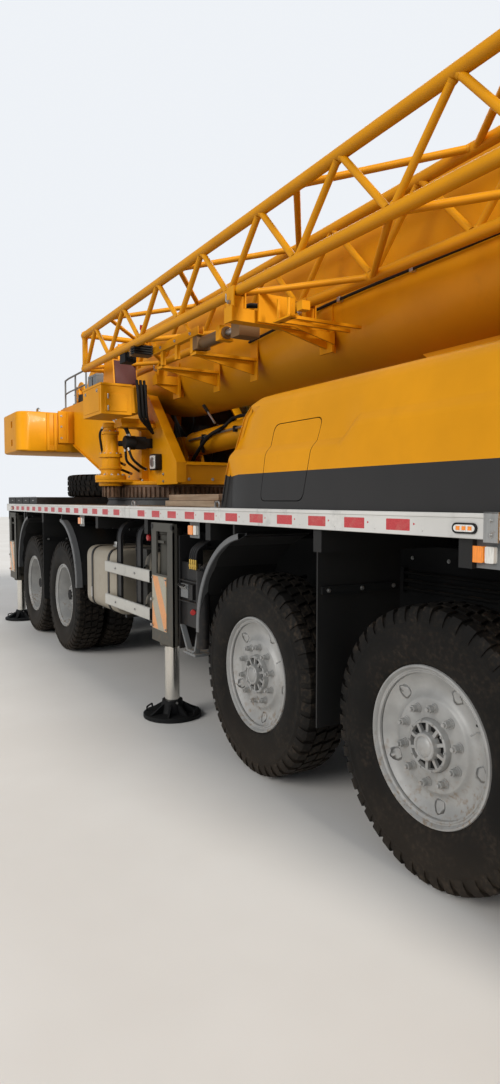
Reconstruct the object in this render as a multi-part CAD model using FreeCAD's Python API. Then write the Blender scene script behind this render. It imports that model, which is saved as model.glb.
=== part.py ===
import FreeCAD, Part
import math
import os

V = FreeCAD.Vector

# Four-axle truck crane with its boom stowed forward and its jacks down.
# +X is forward, +Y is the left side, +Z is up, millimetres.
# The origin is on the ground, at the middle of the whole machine.

HALF_WIDTH = 1380

# Wheels and axles
AXLE_X = (2305, 835, -3370, -4720)
AXLE_NAMES = ("1", "2", "3", "4")
SIDES = (("right", -1), ("left", 1))
TYRE_RADIUS = 618
TYRE_WIDTH = 314
WHEEL_Y = HALF_WIDTH - 208
TWIN_PITCH = 345
RIM_RADIUS = 345
RIM_WALL = 22
ROUND_SIDES = 16
BAR_SIDES = 10
SHAFT_SIDES = 8
SPINDLE_RADIUS = 60
KINGPIN_Y = WHEEL_Y - 172
KINGPIN_RADIUS = 40
PIN_CLEARANCE = 0.4
AXLE_Z = TYRE_RADIUS

# Carrier
FRONT_X = 4790
REAR_X = -5980
FRAME_HALF = 420
FRAME_BOTTOM = 900
FRAME_TOP = 1420
DECK_TOP = 1635
DECK_PLATE = 35
STRIP_HEIGHT = 95
DECK_FRONT = 2745
NOSE_X = 2790
NOSE_TOP = 950
NOSE_BOTTOM = 720
NOSE_FRONT = 4640
MEMBER_X = (-5945, -5000, -4045, -2000, -760, 330, 1570, 2560)
FLAP_X = (1570, -4045)
GUARD_INNER = 800
REST_X = (2750, 2842)
TOW_BORE = 26
TOW_X = REAR_X + 70
LOCKER_FRONT = -4350
LOCKER_HEIGHT = 90
SPARE_X = -5150
SPARE_Y = -100
TANK_X = (-2425, -1560)
TANK_INSET = 50
TANK_WIDTH = 630
AIR_X = -1000

# Cabin of the carrier
CAB_REAR = 2850
CAB_HALF = HALF_WIDTH - 130
CAB_ROOF = 2480
CAB_WALL = 40
DOOR_X = (3250, 4200)
DOOR_Z = (1010, 2330)
DOOR_GAP = 6
HINGE_PIN = 10
HINGE_OUT = 22
HINGE_BARREL = 18
DOOR_HINGES = (1150, 2150)

# Engine hood on the deck
HOOD_FRONT = 2740
HOOD_TOP = 2300
HOOD_LEDGE = 45
HOOD_HALF = HALF_WIDTH - HOOD_LEDGE
HOOD_WALL = 30
HATCH_WALL = 8
HATCH_GAP = 7
CREASE = (1945, 2045)
CREASE_STEP_X = 1800
HATCH = ((998, 1680), (1432, 1680), (1556, 2118), (1092, 2118))
HATCH_PIVOT = (1485, 1825)
HATCH_TILT = 15.8
HATCH_HINGES = (1747, 1903)

# Outriggers: the first column is the box's front face, the second its rear
OUTRIGGER_X = (("front", -195), ("rear", -5430))
BOX_WALL = 12
BEAM_WIDTH = 180
BEAM_HEIGHT = 330
BEAM_CLEAR = 5
BOX_BOTTOM = 640
BOX_END = HALF_WIDTH - 240
BEAM_TAIL = HALF_WIDTH - 270
JACK_Y = HALF_WIDTH - 125
JACK_HOUSING = 95
JACK_BORE = 66
JACK_ROD = 58
JACK_LOW = 560
JACK_HIGH = 1480
PAD_RADIUS = 240
PAD_THICK = 45
PAD_NECK = 140
JACK_SIDES = 10

# Slewing ring and upper structure
SLEW_X = -3145
RING_RADIUS = 820
RING_TEETH = 48
TOOTH_DEPTH = 22
CONE_RADIUS = 930
RING_LOW = 1715
RING_HIGH = 1850
SEAT = 0.3
PLATE_Y = (480, 520)
TURRET_X = (-4100, -1985)
FRONT_RISE = 215
SHOULDER = (-2700, 2805)
BEND_RISE = 210
TAIL_TOP = 3050
TAIL_X = -6250
LUFF_X = -4650
LUFF_Z = 3200
LUFF_PIN = 70
CYLINDER_X = -2850
CYLINDER_Z = 2300
CYLINDER_PIN = 45
BARREL_RADIUS = 132
BARREL_LENGTH = 3850
ROD_RADIUS = 90
EYE_X = 1450
EYE_Z = 2480
EYE_RADIUS = 105
DRIVE_X = -2920
DRIVE_Y = -897
DRIVE_SEAT = 58
VALVE_X = (-2900, -2310)
VALVE_Y = (-1200, -880)
VALVE_Z = (2545, 2840)
WEIGHT_X = (-6630, -5600)
WEIGHT_TOP = TAIL_TOP - 120
WEIGHT_HEIGHT = 560
WEIGHT_HALF = HALF_WIDTH - 80
TAIL_DEPTH = 550
DRUM_X = (TAIL_X + 900, TAIL_X + 270)
DRUM_RISE = 210

# Operator's cabin
OP_X = (-2950, -1350)
OP_Y = (600, HALF_WIDTH)
OP_Z = (2100, 3500)
OP_WALL = 35
OP_DOOR_X = (-2800, -1900)
OP_DOOR_Z = (2165, 3380)
OP_HINGES = (2300, 3200)

# Boom: width and height of the base section, and what each next one loses
BOOM_WIDTH = 800
BOOM_HEIGHT = 1020
BOOM_BOTTOM = 2620
BOOM_WALL = 14
BOOM_BENDS = 8
BOOM_STEP = 70
BOOM_FRONT = 5370
BOOM_CAVITY = -2150
HEAD_STEP = 170
SECTION_COUNT = 5
COLLAR_LENGTH = 140
PAD_LEVEL = 0.66
HEAD_X = 6150
HEAD_Z = 2650
SHEAVE_RADIUS = 150
SHEAVE_SIDES = 12
HOOK_TOP = 2250

# Fly jib folded on the right side of the boom
JIB_X = (-3000, 5920)
JIB_Y = (-1150, -580)
JIB_TOP = (3440, 3560)
JIB_BOTTOM = (3090, 3040)
CHORD_RADIUS = 36
CHORD_SIDES = 8
LACE_RADIUS = 22
LACE_SIDES = 4
END_RADIUS = 30
WELD_GAP = 0.7
JIB_BAYS = 11

# Arms on the boom that carry the jib: rear face, outer end
JIB_ARMS = ((-2300, -650), (300, -1210), (4400, -1210))
ARM_WIDTH = 90
ARM_Z = (2870, 2955)


def box(x0, x1, y0, y1, z0, z1):
    return Part.makeBox(x1 - x0, y1 - y0, z1 - z0, V(x0, y0, z0))


def extrude(points, way):
    wire = Part.makePolygon(points + [points[0]])
    return Part.Face(wire).extrude(way)


def prism_y(points, y0, y1):
    return extrude([V(x, y0, z) for x, z in points], V(0, y1 - y0, 0))


def prism_x(points, x0, x1):
    return extrude([V(x0, y, z) for y, z in points], V(x1 - x0, 0, 0))


def prism_z(points, z0, z1):
    return extrude([V(x, y, z0) for x, y in points], V(0, 0, z1 - z0))


def tube_bar(start, end, radius, sides=6, phase=0.5):
    """A bar with a many-sided section between two points."""
    way = end - start
    side = way.cross(V(0, 0, 1))
    if side.Length < 1:
        side = way.cross(V(1, 0, 0))
    side.normalize()
    up = side.cross(way)
    up.normalize()
    points = []
    for i in range(sides):
        turn = 2 * math.pi * (i + phase) / sides
        points.append(start + side * (radius * math.cos(turn)) + up * (radius * math.sin(turn)))
    return extrude(points, way)


def round_bar(start, end, radius, sides=BAR_SIDES):
    return tube_bar(start, end, radius, sides)


def bore_bar(start, end, radius, sides=BAR_SIDES):
    """The hole for a pin that turns in it: its flats face the pin's corners."""
    return tube_bar(start, end, (radius + PIN_CLEARANCE) / math.cos(math.pi / sides), sides, 0)


def post(x, y, z0, z1, radius, sides=BAR_SIDES):
    return tube_bar(V(x, y, z0), V(x, y, z1), radius, sides)


def ring(profile, sides, centre, axis="y"):
    """A closed profile of (along, radius) turned about an axis with flat facets."""
    def place(along, radius, turn):
        a = radius * math.cos(turn)
        b = radius * math.sin(turn)
        if axis == "y":
            return V(centre[0] + a, centre[1] + along, centre[2] + b)
        if axis == "x":
            return V(centre[0] + along, centre[1] + a, centre[2] + b)
        return V(centre[0] + a, centre[1] + b, centre[2] + along)
    faces = []
    count = len(profile)
    for i in range(sides):
        t0 = 2 * math.pi * i / sides - math.pi / 2
        t1 = 2 * math.pi * (i + 1) / sides - math.pi / 2
        for k in range(count):
            a0, r0 = profile[k]
            a1, r1 = profile[(k + 1) % count]
            corners = [place(a0, r0, t0)]
            if r0 > 0:
                corners.append(place(a0, r0, t1))
            if r1 > 0:
                corners.append(place(a1, r1, t1))
            corners.append(place(a1, r1, t0))
            if r0 == 0 and r1 == 0:
                continue
            faces.append(Part.Face(Part.makePolygon(corners + [corners[0]])))
    solid = Part.Solid(Part.Shell(faces))
    if solid.Volume < 0:
        solid.reverse()
    return solid


def round_corners(y0, y1, z0, z1, radius, bends):
    """A rectangle whose corners are bent in short flats."""
    points = []
    centres = ((y1 - radius, z1 - radius), (y0 + radius, z1 - radius),
               (y0 + radius, z0 + radius), (y1 - radius, z0 + radius))
    for quarter, (y, z) in enumerate(centres):
        for i in range(bends + 1):
            turn = math.pi / 2 * (quarter + i / bends)
            points.append((y + radius * math.cos(turn), z + radius * math.sin(turn)))
    return points


def fuse(shapes):
    return shapes[0].multiFuse(shapes[1:]).removeSplitter() if len(shapes) > 1 else shapes[0]


def cut(shape, tools):
    return shape.cut(tools)


def mirror(shape):
    return shape.mirror(V(0, 0, 0), V(0, 1, 0))


def mirror_x(shapes):
    return [shape.mirror(V(0, 0, 0), V(1, 0, 0)) for shape in shapes]


def on_side(shape, side):
    """Shapes are drawn for the right side, where y is negative."""
    return shape if side < 0 else mirror(shape)


def hinge_post(x, wall, out, levels):
    """Pins beside a panel's edge, each held by two lugs; out points away from the wall."""
    y = wall + out * HINGE_OUT
    parts = []
    for z in levels:
        parts.append(post(x, y, z - 50, z + 50, HINGE_PIN, 8))
        y0, y1 = sorted((wall, y + out * 12))
        for z0 in (z - 50, z + 25):
            parts.append(box(x - 2, x + 26, y0, y1, z0, z0 + 25))
    return parts


def hinge_leaf(x, wall, reach, out, levels):
    """Barrels that turn on those pins, with straps that run to the panel."""
    y = wall + out * HINGE_OUT
    parts = []
    bores = []
    for z in levels:
        parts.append(post(x, y, z - 24, z + 24, HINGE_BARREL, 8))
        x0, x1 = sorted((x, x + reach))
        y0, y1 = sorted((wall + out * 5, wall + out * 16))
        parts.append(box(x0, x1, y0, y1, z - 24, z + 24))
        x0, x1 = sorted((x + reach / 3, x + reach))
        y0, y1 = sorted((wall - out, wall + out * 6))
        parts.append(box(x0, x1, y0, y1, z - 24, z + 24))
        bores.append(bore_bar(V(x, y, z - 25), V(x, y, z + 25), HINGE_PIN, 8))
    return parts, bores


# Wheels

def tyre_profile(y):
    """Rows: share of half the width, radius."""
    half = TYRE_WIDTH / 2
    rows = (
        (-0.73, RIM_RADIUS),
        (-1.00, RIM_RADIUS + 105),
        (-0.90, TYRE_RADIUS - 33),
        (-0.64, TYRE_RADIUS),
        (0.64, TYRE_RADIUS),
        (0.90, TYRE_RADIUS - 33),
        (1.00, RIM_RADIUS + 105),
        (0.73, RIM_RADIUS),
    )
    return [(y + share * half, radius) for share, radius in rows]


def inner_tyre_profile(y):
    """The hidden twin, without the step in its shoulders."""
    rows = tyre_profile(y)
    return [rows[0], rows[1], rows[3], rows[4], rows[6], rows[7]]


def front_tyre(x):
    return ring(tyre_profile(-WHEEL_Y), ROUND_SIDES, (x, 0, AXLE_Z))


def front_rim(x):
    """Rows: distance inward from the wheel's middle, radius."""
    bore = SPINDLE_RADIUS + 2
    rows = (
        (115, RIM_RADIUS),
        (-120, RIM_RADIUS),
        (-105, RIM_RADIUS - 27),
        (-60, 240),
        (-90, bore),
        (-40, bore),
        (-40, 240),
        (115, RIM_RADIUS - RIM_WALL),
    )
    profile = [(along - WHEEL_Y, radius) for along, radius in rows]
    return ring(profile, ROUND_SIDES, (x, 0, AXLE_Z))


def twin_tyres(x):
    return Part.makeCompound([
        ring(tyre_profile(-WHEEL_Y), ROUND_SIDES, (x, 0, AXLE_Z)),
        ring(inner_tyre_profile(-WHEEL_Y + TWIN_PITCH), ROUND_SIDES, (x, 0, AXLE_Z)),
    ])


def twin_rims(x):
    """Rows: distance inward from the outer wheel's middle, radius."""
    bore = SPINDLE_RADIUS + 1.6
    middle = TWIN_PITCH / 2
    rows = (
        (-118, RIM_RADIUS),
        (TWIN_PITCH + 118, RIM_RADIUS),
        (TWIN_PITCH + 118, RIM_RADIUS - RIM_WALL),
        (middle + 20, 270),
        (middle + 20, bore),
        (-80, bore),
        (-80, 130),
        (middle - 20, 150),
        (middle - 20, 270),
        (-105, RIM_RADIUS - RIM_WALL),
    )
    profile = [(along - WHEEL_Y, radius) for along, radius in rows]
    return ring(profile, ROUND_SIDES, (x, 0, AXLE_Z))


def knuckle(x):
    """Steering knuckle: swivel body on its pin, with the wheel's spindle."""
    reach = WHEEL_Y + 86
    body = post(x, -KINGPIN_Y, AXLE_Z - 95 + SEAT, AXLE_Z + 95 - SEAT, 72)
    pin = post(x, -KINGPIN_Y, AXLE_Z - 135, AXLE_Z + 135, KINGPIN_RADIUS)
    spindle = round_bar(V(x, -KINGPIN_Y, AXLE_Z), V(x, -reach, AXLE_Z), SPINDLE_RADIUS)
    arm = box(x - 260, x, -KINGPIN_Y, -KINGPIN_Y + 40, AXLE_Z - 85, AXLE_Z - 45)
    return fuse([body, pin, spindle, arm])


def front_axle(x):
    beam = box(x - 70, x + 70, -880, 880, AXLE_Z - 125, AXLE_Z + 125)
    middle = box(x - 150, x + 150, -230, 230, AXLE_Z - 150, AXLE_Z + 130)
    parts = [beam, middle]
    bores = []
    for side in (-1, 1):
        y0 = min(side * 850, side * 1050)
        for z0 in (AXLE_Z - 125, AXLE_Z + 95):
            parts.append(box(x - 60, x + 60, y0, y0 + 200, z0, z0 + 30))
        y0 = min(side * 330, side * 400)
        parts.append(box(x - 110, x + 110, y0, y0 + 70, AXLE_Z + 125, FRAME_BOTTOM))
        parts.append(box(x - 460, x + 460, y0, y0 + 70, AXLE_Z + 170, AXLE_Z + 225))
        y = side * KINGPIN_Y
        bores.append(bore_bar(V(x, y, AXLE_Z - 200), V(x, y, AXLE_Z + 200), KINGPIN_RADIUS))
    return cut(fuse(parts), bores)


def rear_axle(x):
    beam = box(x - 75, x + 75, -640, 640, AXLE_Z - 80, AXLE_Z + 80)
    bowl = round_bar(V(x, -130, AXLE_Z), V(x, 130, AXLE_Z), 230, SHAFT_SIDES)
    parts = [beam, bowl]
    for side in (-1, 1):
        parts.append(tube_bar(V(x, side * 600, AXLE_Z), V(x, side * (WHEEL_Y + 70), AXLE_Z),
                              SPINDLE_RADIUS, SHAFT_SIDES, 0.25))
        y0 = min(side * 330, side * 400)
        parts.append(box(x - 110, x + 110, y0, y0 + 70, AXLE_Z + 70, FRAME_BOTTOM))
    return fuse(parts)


def drive_train():
    """Axles, shafts, transfer case and the engine's plain block."""
    shaft = 55
    rear = fuse([
        rear_axle(AXLE_X[2]),
        rear_axle(AXLE_X[3]),
        round_bar(V(AXLE_X[3], 0, AXLE_Z), V(AXLE_X[2], 0, AXLE_Z), shaft, SHAFT_SIDES),
        round_bar(V(AXLE_X[2], 0, AXLE_Z), V(-60, 0, 560), shaft, SHAFT_SIDES),
        box(-60, 240, -200, 200, 490, FRAME_BOTTOM),
    ])
    engine = box(1060, 2200, -380, 380, FRAME_TOP, 2140)
    return Part.makeCompound([rear, front_axle(AXLE_X[0]), front_axle(AXLE_X[1]), engine])


# Carrier

def outrigger_length():
    return 3 * BOX_WALL + 2 * (BEAM_WIDTH + 2 * BEAM_CLEAR)


def box_height():
    return 2 * BOX_WALL + 2 * BEAM_CLEAR + BEAM_HEIGHT


def outrigger_envelope(front):
    return box(front - outrigger_length(), front, -BOX_END, BOX_END,
               BOX_BOTTOM, BOX_BOTTOM + box_height())


def chassis_frame():
    outline = [
        (REAR_X, FRAME_TOP), (NOSE_X, FRAME_TOP), (NOSE_X, NOSE_TOP),
        (NOSE_FRONT, NOSE_TOP), (NOSE_FRONT, NOSE_BOTTOM), (NOSE_X + 330, NOSE_BOTTOM),
        (NOSE_X + 80, FRAME_BOTTOM), (REAR_X, FRAME_BOTTOM),
    ]
    frame = prism_y(outline, -FRAME_HALF, FRAME_HALF)
    tools = [outrigger_envelope(front) for name, front in OUTRIGGER_X]
    tools.append(box(REAR_X - 1, REAR_X + 300, -250, 250, FRAME_BOTTOM - 1, FRAME_TOP + 1))
    frame = cut(frame, tools)
    ears = [box(REAR_X + 10, REAR_X + 301, -90, 90, z, z + 40) for z in (1080, 1220)]
    bore = Part.makeCylinder(TOW_BORE, 300, V(TOW_X, 0, 1060))
    return cut(fuse([frame] + ears), [bore])


def deck():
    """Deck plate with skirts and cross-members, rear locker, mudguards and the boom's rest."""
    low = DECK_TOP - STRIP_HEIGHT
    under = DECK_TOP - DECK_PLATE
    inside = HALF_WIDTH - 20
    plate = box(REAR_X, DECK_FRONT, -HALF_WIDTH, HALF_WIDTH, low, DECK_TOP)
    hollow = box(REAR_X + 12, DECK_FRONT + 1, -inside, inside, low - 1, under)
    parts = [cut(plate, [hollow])]
    for x in MEMBER_X:
        parts.append(box(x - 35, x + 35, -inside, inside, FRAME_TOP, under))
    hole = post(SLEW_X, 0, FRAME_TOP - 50, DECK_TOP + 50, CONE_RADIUS + 40, ROUND_SIDES)
    engine_hole = box(950, 2250, -FRAME_HALF - 10, FRAME_HALF + 10, FRAME_TOP - 1, DECK_TOP + 1)
    guards = []
    for side in (-1, 1):
        y0, y1 = sorted((side * GUARD_INNER, side * inside))
        for x in FLAP_X:
            guards.append(box(x - 5, x + 5, y0, y1, 500, FRAME_TOP - SEAT))
        for x, way in ((AXLE_X[1], -1), (AXLE_X[2], 1), (AXLE_X[3], -1)):
            guards.append(arc_guard(x, way, y0, y1))
    tray = cut(fuse(parts), [hole, engine_hole])
    locker = box(REAR_X + 10, LOCKER_FRONT, -inside, inside, DECK_TOP + SEAT,
                 DECK_TOP + LOCKER_HEIGHT)
    return Part.makeCompound([tray, boom_rest(), locker] + [cut(guard, [hole]) for guard in guards])


def boom_rest():
    """Trestle behind the carrier's cabin, just under the stowed boom."""
    x0, x1 = REST_X
    top = BOOM_BOTTOM - 6
    return prism_y([(x0, FRAME_TOP), (x0 + 25, FRAME_TOP), (x1, top - 114), (x1, top), (x0, top)],
                   -230, 230)


def arc_guard(x, way, y0, y1):
    """A quarter of a rolled mudguard hung from the deck beside a wheel."""
    radius = 680
    z = 800
    thick = 10
    bends = 4
    outer = []
    inner = []
    for i in range(bends + 1):
        turn = math.radians(80 * i / bends)
        outer.append((x + way * (radius + thick) * math.cos(turn),
                      z + (radius + thick) * math.sin(turn)))
        inner.append((x + way * radius * math.cos(turn), z + radius * math.sin(turn)))
    guard = prism_y(outer + inner[::-1], y0, y1)
    hanger_x = x + way * 150
    hanger = box(hanger_x - 10, hanger_x + 10, y0, y1, z + radius - 25, DECK_TOP - DECK_PLATE - SEAT)
    return fuse([guard, hanger])


def cab_outline(inset):
    return [
        (CAB_REAR + inset, NOSE_TOP + 200 + inset / 2),
        (CAB_REAR + 160 + inset / 2, NOSE_TOP + inset), (4720 - inset, NOSE_TOP + inset),
        (4770 - inset, 1500), (4640 - inset, CAB_ROOF - 90),
        (4560 - inset, CAB_ROOF - inset), (CAB_REAR + inset, CAB_ROOF - inset),
    ]


def driver_cab():
    shell = prism_y(cab_outline(0), -CAB_HALF, CAB_HALF)
    room = prism_y(cab_outline(CAB_WALL), -CAB_HALF + CAB_WALL, CAB_HALF - CAB_WALL)
    tools = [room, box(4600, 4900, -1080, 1080, 1560, 2310)]
    for side in (-1, 1):
        y0 = min(side * (CAB_HALF - CAB_WALL - 1), side * (CAB_HALF + 1))
        tools.append(box(DOOR_X[0], DOOR_X[1], y0, y0 + CAB_WALL + 2, DOOR_Z[0], DOOR_Z[1]))
        tools.append(box(2990, 3150, y0, y0 + CAB_WALL + 2, 1650, 2250))
    body = cut(shell, tools)
    seats = []
    floor = NOSE_TOP + CAB_WALL
    for y in (-800, 350):
        seats.append(box(3180, 3700, y, y + 450, floor, 1450))
        seats.append(box(3060, 3180, y, y + 450, floor, 2100))
    dash = box(4300, 4640, -CAB_HALF + 60, CAB_HALF - 60, floor, 1500)
    pins = []
    for side in (-1, 1):
        pins += hinge_post(DOOR_X[1] + 4, side * CAB_HALF, side, DOOR_HINGES)
    return fuse([body, dash] + seats + pins)


def cab_glass():
    """Windscreen and rear quarter panes of the carrier's cabin."""
    slope = [(4725, 1560), (4745, 1560), (4635, 2310), (4615, 2310)]
    screen = prism_y(slope, -1080, 1080)
    panes = [screen]
    for side in (-1, 1):
        y0 = min(side * (CAB_HALF - 24), side * (CAB_HALF - 16))
        panes.append(box(2990, 3150, y0, y0 + 8, 1650, 2250))
    return Part.makeCompound(panes)


def driver_door():
    """Door leaf of the right side, with its window hole and pane."""
    y1 = -CAB_HALF + CAB_WALL
    leaf = box(DOOR_X[0] + DOOR_GAP, DOOR_X[1] - DOOR_GAP, -CAB_HALF, y1,
               DOOR_Z[0] + DOOR_GAP, DOOR_Z[1] - DOOR_GAP)
    window = box(DOOR_X[0] + 90, DOOR_X[1] - 90, -CAB_HALF - 1, y1 + 1, 1620, DOOR_Z[1] - 90)
    pane = box(DOOR_X[0] + 90, DOOR_X[1] - 90, -CAB_HALF + 15, -CAB_HALF + 23,
               1620, DOOR_Z[1] - 90)
    straps, bores = hinge_leaf(DOOR_X[1] + 4, -CAB_HALF, -60, -1, DOOR_HINGES)
    return cut(fuse([cut(leaf, [window]), pane] + straps), bores)


def front_bumper():
    body = prism_x([(-CAB_HALF, 560), (CAB_HALF, 560), (CAB_HALF, NOSE_TOP - 10),
                    (-CAB_HALF, NOSE_TOP - 10)], NOSE_FRONT, FRONT_X)
    pockets = []
    for side in (-1, 1):
        y0 = min(side * 780, side * 1130)
        pockets.append(box(FRONT_X - 40, FRONT_X + 1, y0, y0 + 350, 680, 850))
    lug = prism_y([(FRONT_X - 1, 590), (FRONT_X + 60, 590), (FRONT_X + 95, 625),
                   (FRONT_X + 95, 675), (FRONT_X + 60, 710), (FRONT_X - 1, 710)], -20, 20)
    bore = Part.makeCylinder(TOW_BORE, 60, V(FRONT_X + 50, -30, 650), V(0, 1, 0))
    return cut(fuse([cut(body, pockets), lug]), [bore])


def hood_section(inset, crease):
    """Side walls upright to the crease, then leaning in under a rounded roof."""
    half = HOOD_HALF - inset
    top = HOOD_TOP - inset
    right = [(half, DECK_TOP), (half, crease), (half - 33, crease + 42), (half - 53, top - 110),
             (half - 97, top - 20), (half - 190, top)]
    return right + [(-y, z) for y, z in right[::-1]]


def hood_side(inset):
    """Rows: place and height of the rear edge, from the deck to the roof."""
    rows = ((482, DECK_TOP), (548, 1843), (692, 2190 - inset), (744, 2244 - inset),
            (812, 2280 - inset), (950, HOOD_TOP - inset))
    front = HOOD_FRONT - inset
    return [(front, HOOD_TOP - inset), (front, DECK_TOP)] + [(x + inset, z) for x, z in rows]


def hood_body(inset):
    rear = prism_x(hood_section(inset, CREASE[0]), 400, CREASE_STEP_X)
    front = prism_x(hood_section(inset, CREASE[1]), CREASE_STEP_X, HOOD_FRONT)
    return fuse([rear, front]).common(prism_y(hood_side(inset), -HOOD_HALF - 1, HOOD_HALF + 1))


def hatch_block(gap):
    """A prism through the right side wall with the hatch's slanted outline."""
    (x0, z0), (x1, z1), (x2, z2), (x3, z3) = HATCH
    outline = [(x0 + gap, z0 + gap), (x1 - gap, z1 + gap), (x2 - gap, z2 - gap), (x3 + gap, z3 - gap)]
    return prism_y(outline, -HOOD_HALF - 1, -HOOD_HALF + 110)


def tilt(shape):
    """Leans a hinge piece drawn upright into line with the hatch's front edge."""
    x, z = HATCH_PIVOT
    return shape.rotated(V(x, 0, z), V(0, 1, 0), HATCH_TILT)


def engine_hood():
    body = cut(hood_body(0), [hood_body(HOOD_WALL), hatch_block(0)])
    pins = hinge_post(HATCH_PIVOT[0], -HOOD_HALF, -1, HATCH_HINGES)
    return fuse([body] + [tilt(pin) for pin in pins])


def hood_hatch():
    leaf = hood_body(0).cut(hood_body(HATCH_WALL)).common(hatch_block(HATCH_GAP))
    straps, bores = hinge_leaf(HATCH_PIVOT[0], -HOOD_HALF, -60, -1, HATCH_HINGES)
    return cut(fuse([leaf] + [tilt(strap) for strap in straps]), [tilt(bore) for bore in bores])


def tanks():
    """Fuel tank on the right with its brackets, air tanks beside it, tool box on the left."""
    rear, front = TANK_X
    outer = HALF_WIDTH - TANK_INSET
    inner = outer - TANK_WIDTH
    tank = prism_x(round_corners(-outer, -inner, 640, 1240, 110, 3), rear, front)
    cap = post(rear + 175, -outer + 210, 1225, 1285, 45)
    arms = [box(x, x + 60, -inner - 20, -FRAME_HALF, 920, 1010) for x in (rear + 75, front - 140)]
    air = []
    for z in (800, 1130):
        air.append(round_bar(V(AIR_X, -outer + 80, z), V(AIR_X, -FRAME_HALF - 60, z), 120))
    air.append(box(AIR_X - 60, AIR_X + 60, -FRAME_HALF - 80, -FRAME_HALF, 920, 1380))
    air.append(box(AIR_X - 40, AIR_X + 40, -FRAME_HALF - 140, -FRAME_HALF - 60, 760, 1200))
    left_box = box(rear, AIR_X, inner, outer - 20, 660, 1240)
    left_arms = [box(x, x + 60, FRAME_HALF, inner + 1, 920, 1010) for x in (rear + 75, AIR_X - 200)]
    return Part.makeCompound([fuse([tank, cap] + arms), fuse(air), fuse([left_box] + left_arms)])


def side_guards():
    """Two guard rails on each side, on posts under the deck."""
    parts = []
    for side in (-1, 1):
        rails = []
        outer = side * HALF_WIDTH
        inner = side * (HALF_WIDTH - 30)
        y0 = min(outer, inner)
        for z in (1035, 735):
            rails.append(box(-1720, -655, y0, y0 + 30, z, z + 100))
        p0 = min(side * (HALF_WIDTH - 30), side * (HALF_WIDTH - 60))
        for x in (-1500, -900):
            rails.append(box(x, x + 40, p0, p0 + 30, 720, DECK_TOP - DECK_PLATE))
        parts.append(fuse(rails))
    return Part.makeCompound(parts)


def outrigger_boxes():
    parts = []
    for name, front in OUTRIGGER_X:
        body = outrigger_envelope(front)
        cells = []
        for lane in (0, 1):
            x1 = front - BOX_WALL - lane * (BOX_WALL + BEAM_WIDTH + 2 * BEAM_CLEAR)
            cells.append(box(x1 - BEAM_WIDTH - 2 * BEAM_CLEAR, x1, -BOX_END - 1, BOX_END + 1,
                             BOX_BOTTOM + BOX_WALL, BOX_BOTTOM + box_height() - BOX_WALL))
        parts.append(cut(body, cells))
    return Part.makeCompound(parts)


def beam_x(front, side):
    """Middle of a beam's lane: the right beam is in the rear lane."""
    lane = 1 if side < 0 else 0
    pitch = BOX_WALL + BEAM_WIDTH + 2 * BEAM_CLEAR
    return front - BOX_WALL - BEAM_CLEAR - BEAM_WIDTH / 2 - lane * pitch


def outrigger_beam(front, side):
    """Sliding beam of one side with its jack housing and end plate."""
    x = beam_x(front, side)
    z0 = BOX_BOTTOM + BOX_WALL + BEAM_CLEAR
    half = BEAM_WIDTH / 2
    beam = box(x - half, x + half, -JACK_Y, BEAM_TAIL, z0, z0 + BEAM_HEIGHT)
    pad = BEAM_CLEAR - SEAT
    slider = box(x - half, x + half, BEAM_TAIL - 150, BEAM_TAIL, z0 - pad, z0 + BEAM_HEIGHT + pad)
    centre = (x, -JACK_Y, 0)
    housing = ring([(JACK_LOW, 0), (JACK_LOW, JACK_HOUSING), (JACK_HIGH, JACK_HOUSING),
                    (JACK_HIGH, 0)], JACK_SIDES, centre, "z")
    bore = ring([(JACK_LOW + 50, 0), (JACK_LOW + 50, JACK_BORE), (JACK_HIGH - 30, JACK_BORE),
                 (JACK_HIGH - 30, 0)], JACK_SIDES, centre, "z")
    mouth = ring([(JACK_LOW - 1, 0), (JACK_LOW - 1, JACK_ROD + PIN_CLEARANCE),
                  (JACK_LOW + 60, JACK_ROD + PIN_CLEARANCE), (JACK_LOW + 60, 0)],
                 JACK_SIDES, centre, "z")
    plate = box(front - outrigger_length() + 3, front - 3, -HALF_WIDTH, -HALF_WIDTH + 14, 600, 1515)
    slot = box(front - 312, front - 106, -HALF_WIDTH - 1, -HALF_WIDTH + 15, 1125, 1450)
    web = box(x - 12, x + 12, -HALF_WIDTH + 13, -JACK_Y, 620, 1060)
    body = fuse([beam, slider, housing, cut(plate, [slot]), web])
    return on_side(cut(body, [bore, mouth]), side)


def jack(front, side):
    x = beam_x(front, side)
    rows = [(0, 0), (0, PAD_RADIUS), (PAD_THICK - 15, PAD_RADIUS), (PAD_THICK, PAD_RADIUS - 40),
            (PAD_THICK, 110), (PAD_NECK, 80), (PAD_NECK, JACK_ROD), (1000, JACK_ROD), (1000, 0)]
    return on_side(ring(rows, JACK_SIDES, (x, -JACK_Y, 0), "z"), side)


# Slewing ring and upper structure

def slewing_ring():
    cone = ring([(FRAME_TOP, 640), (FRAME_TOP, CONE_RADIUS), (RING_LOW, 790), (RING_LOW, 640)],
                ROUND_SIDES, (SLEW_X, 0, 0), "z")
    points = []
    root = RING_RADIUS - TOOTH_DEPTH
    for i in range(RING_TEETH):
        for share, radius in ((0.0, root), (0.3, root), (0.42, RING_RADIUS), (0.88, RING_RADIUS)):
            turn = 2 * math.pi * (i + share) / RING_TEETH
            points.append((SLEW_X + radius * math.cos(turn), radius * math.sin(turn)))
    gear = prism_z(points, RING_LOW, RING_HIGH)
    well = post(SLEW_X, 0, RING_LOW - 1, RING_HIGH + 1, 640, ROUND_SIDES)
    return fuse([cone, cut(gear, [well])])


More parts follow.
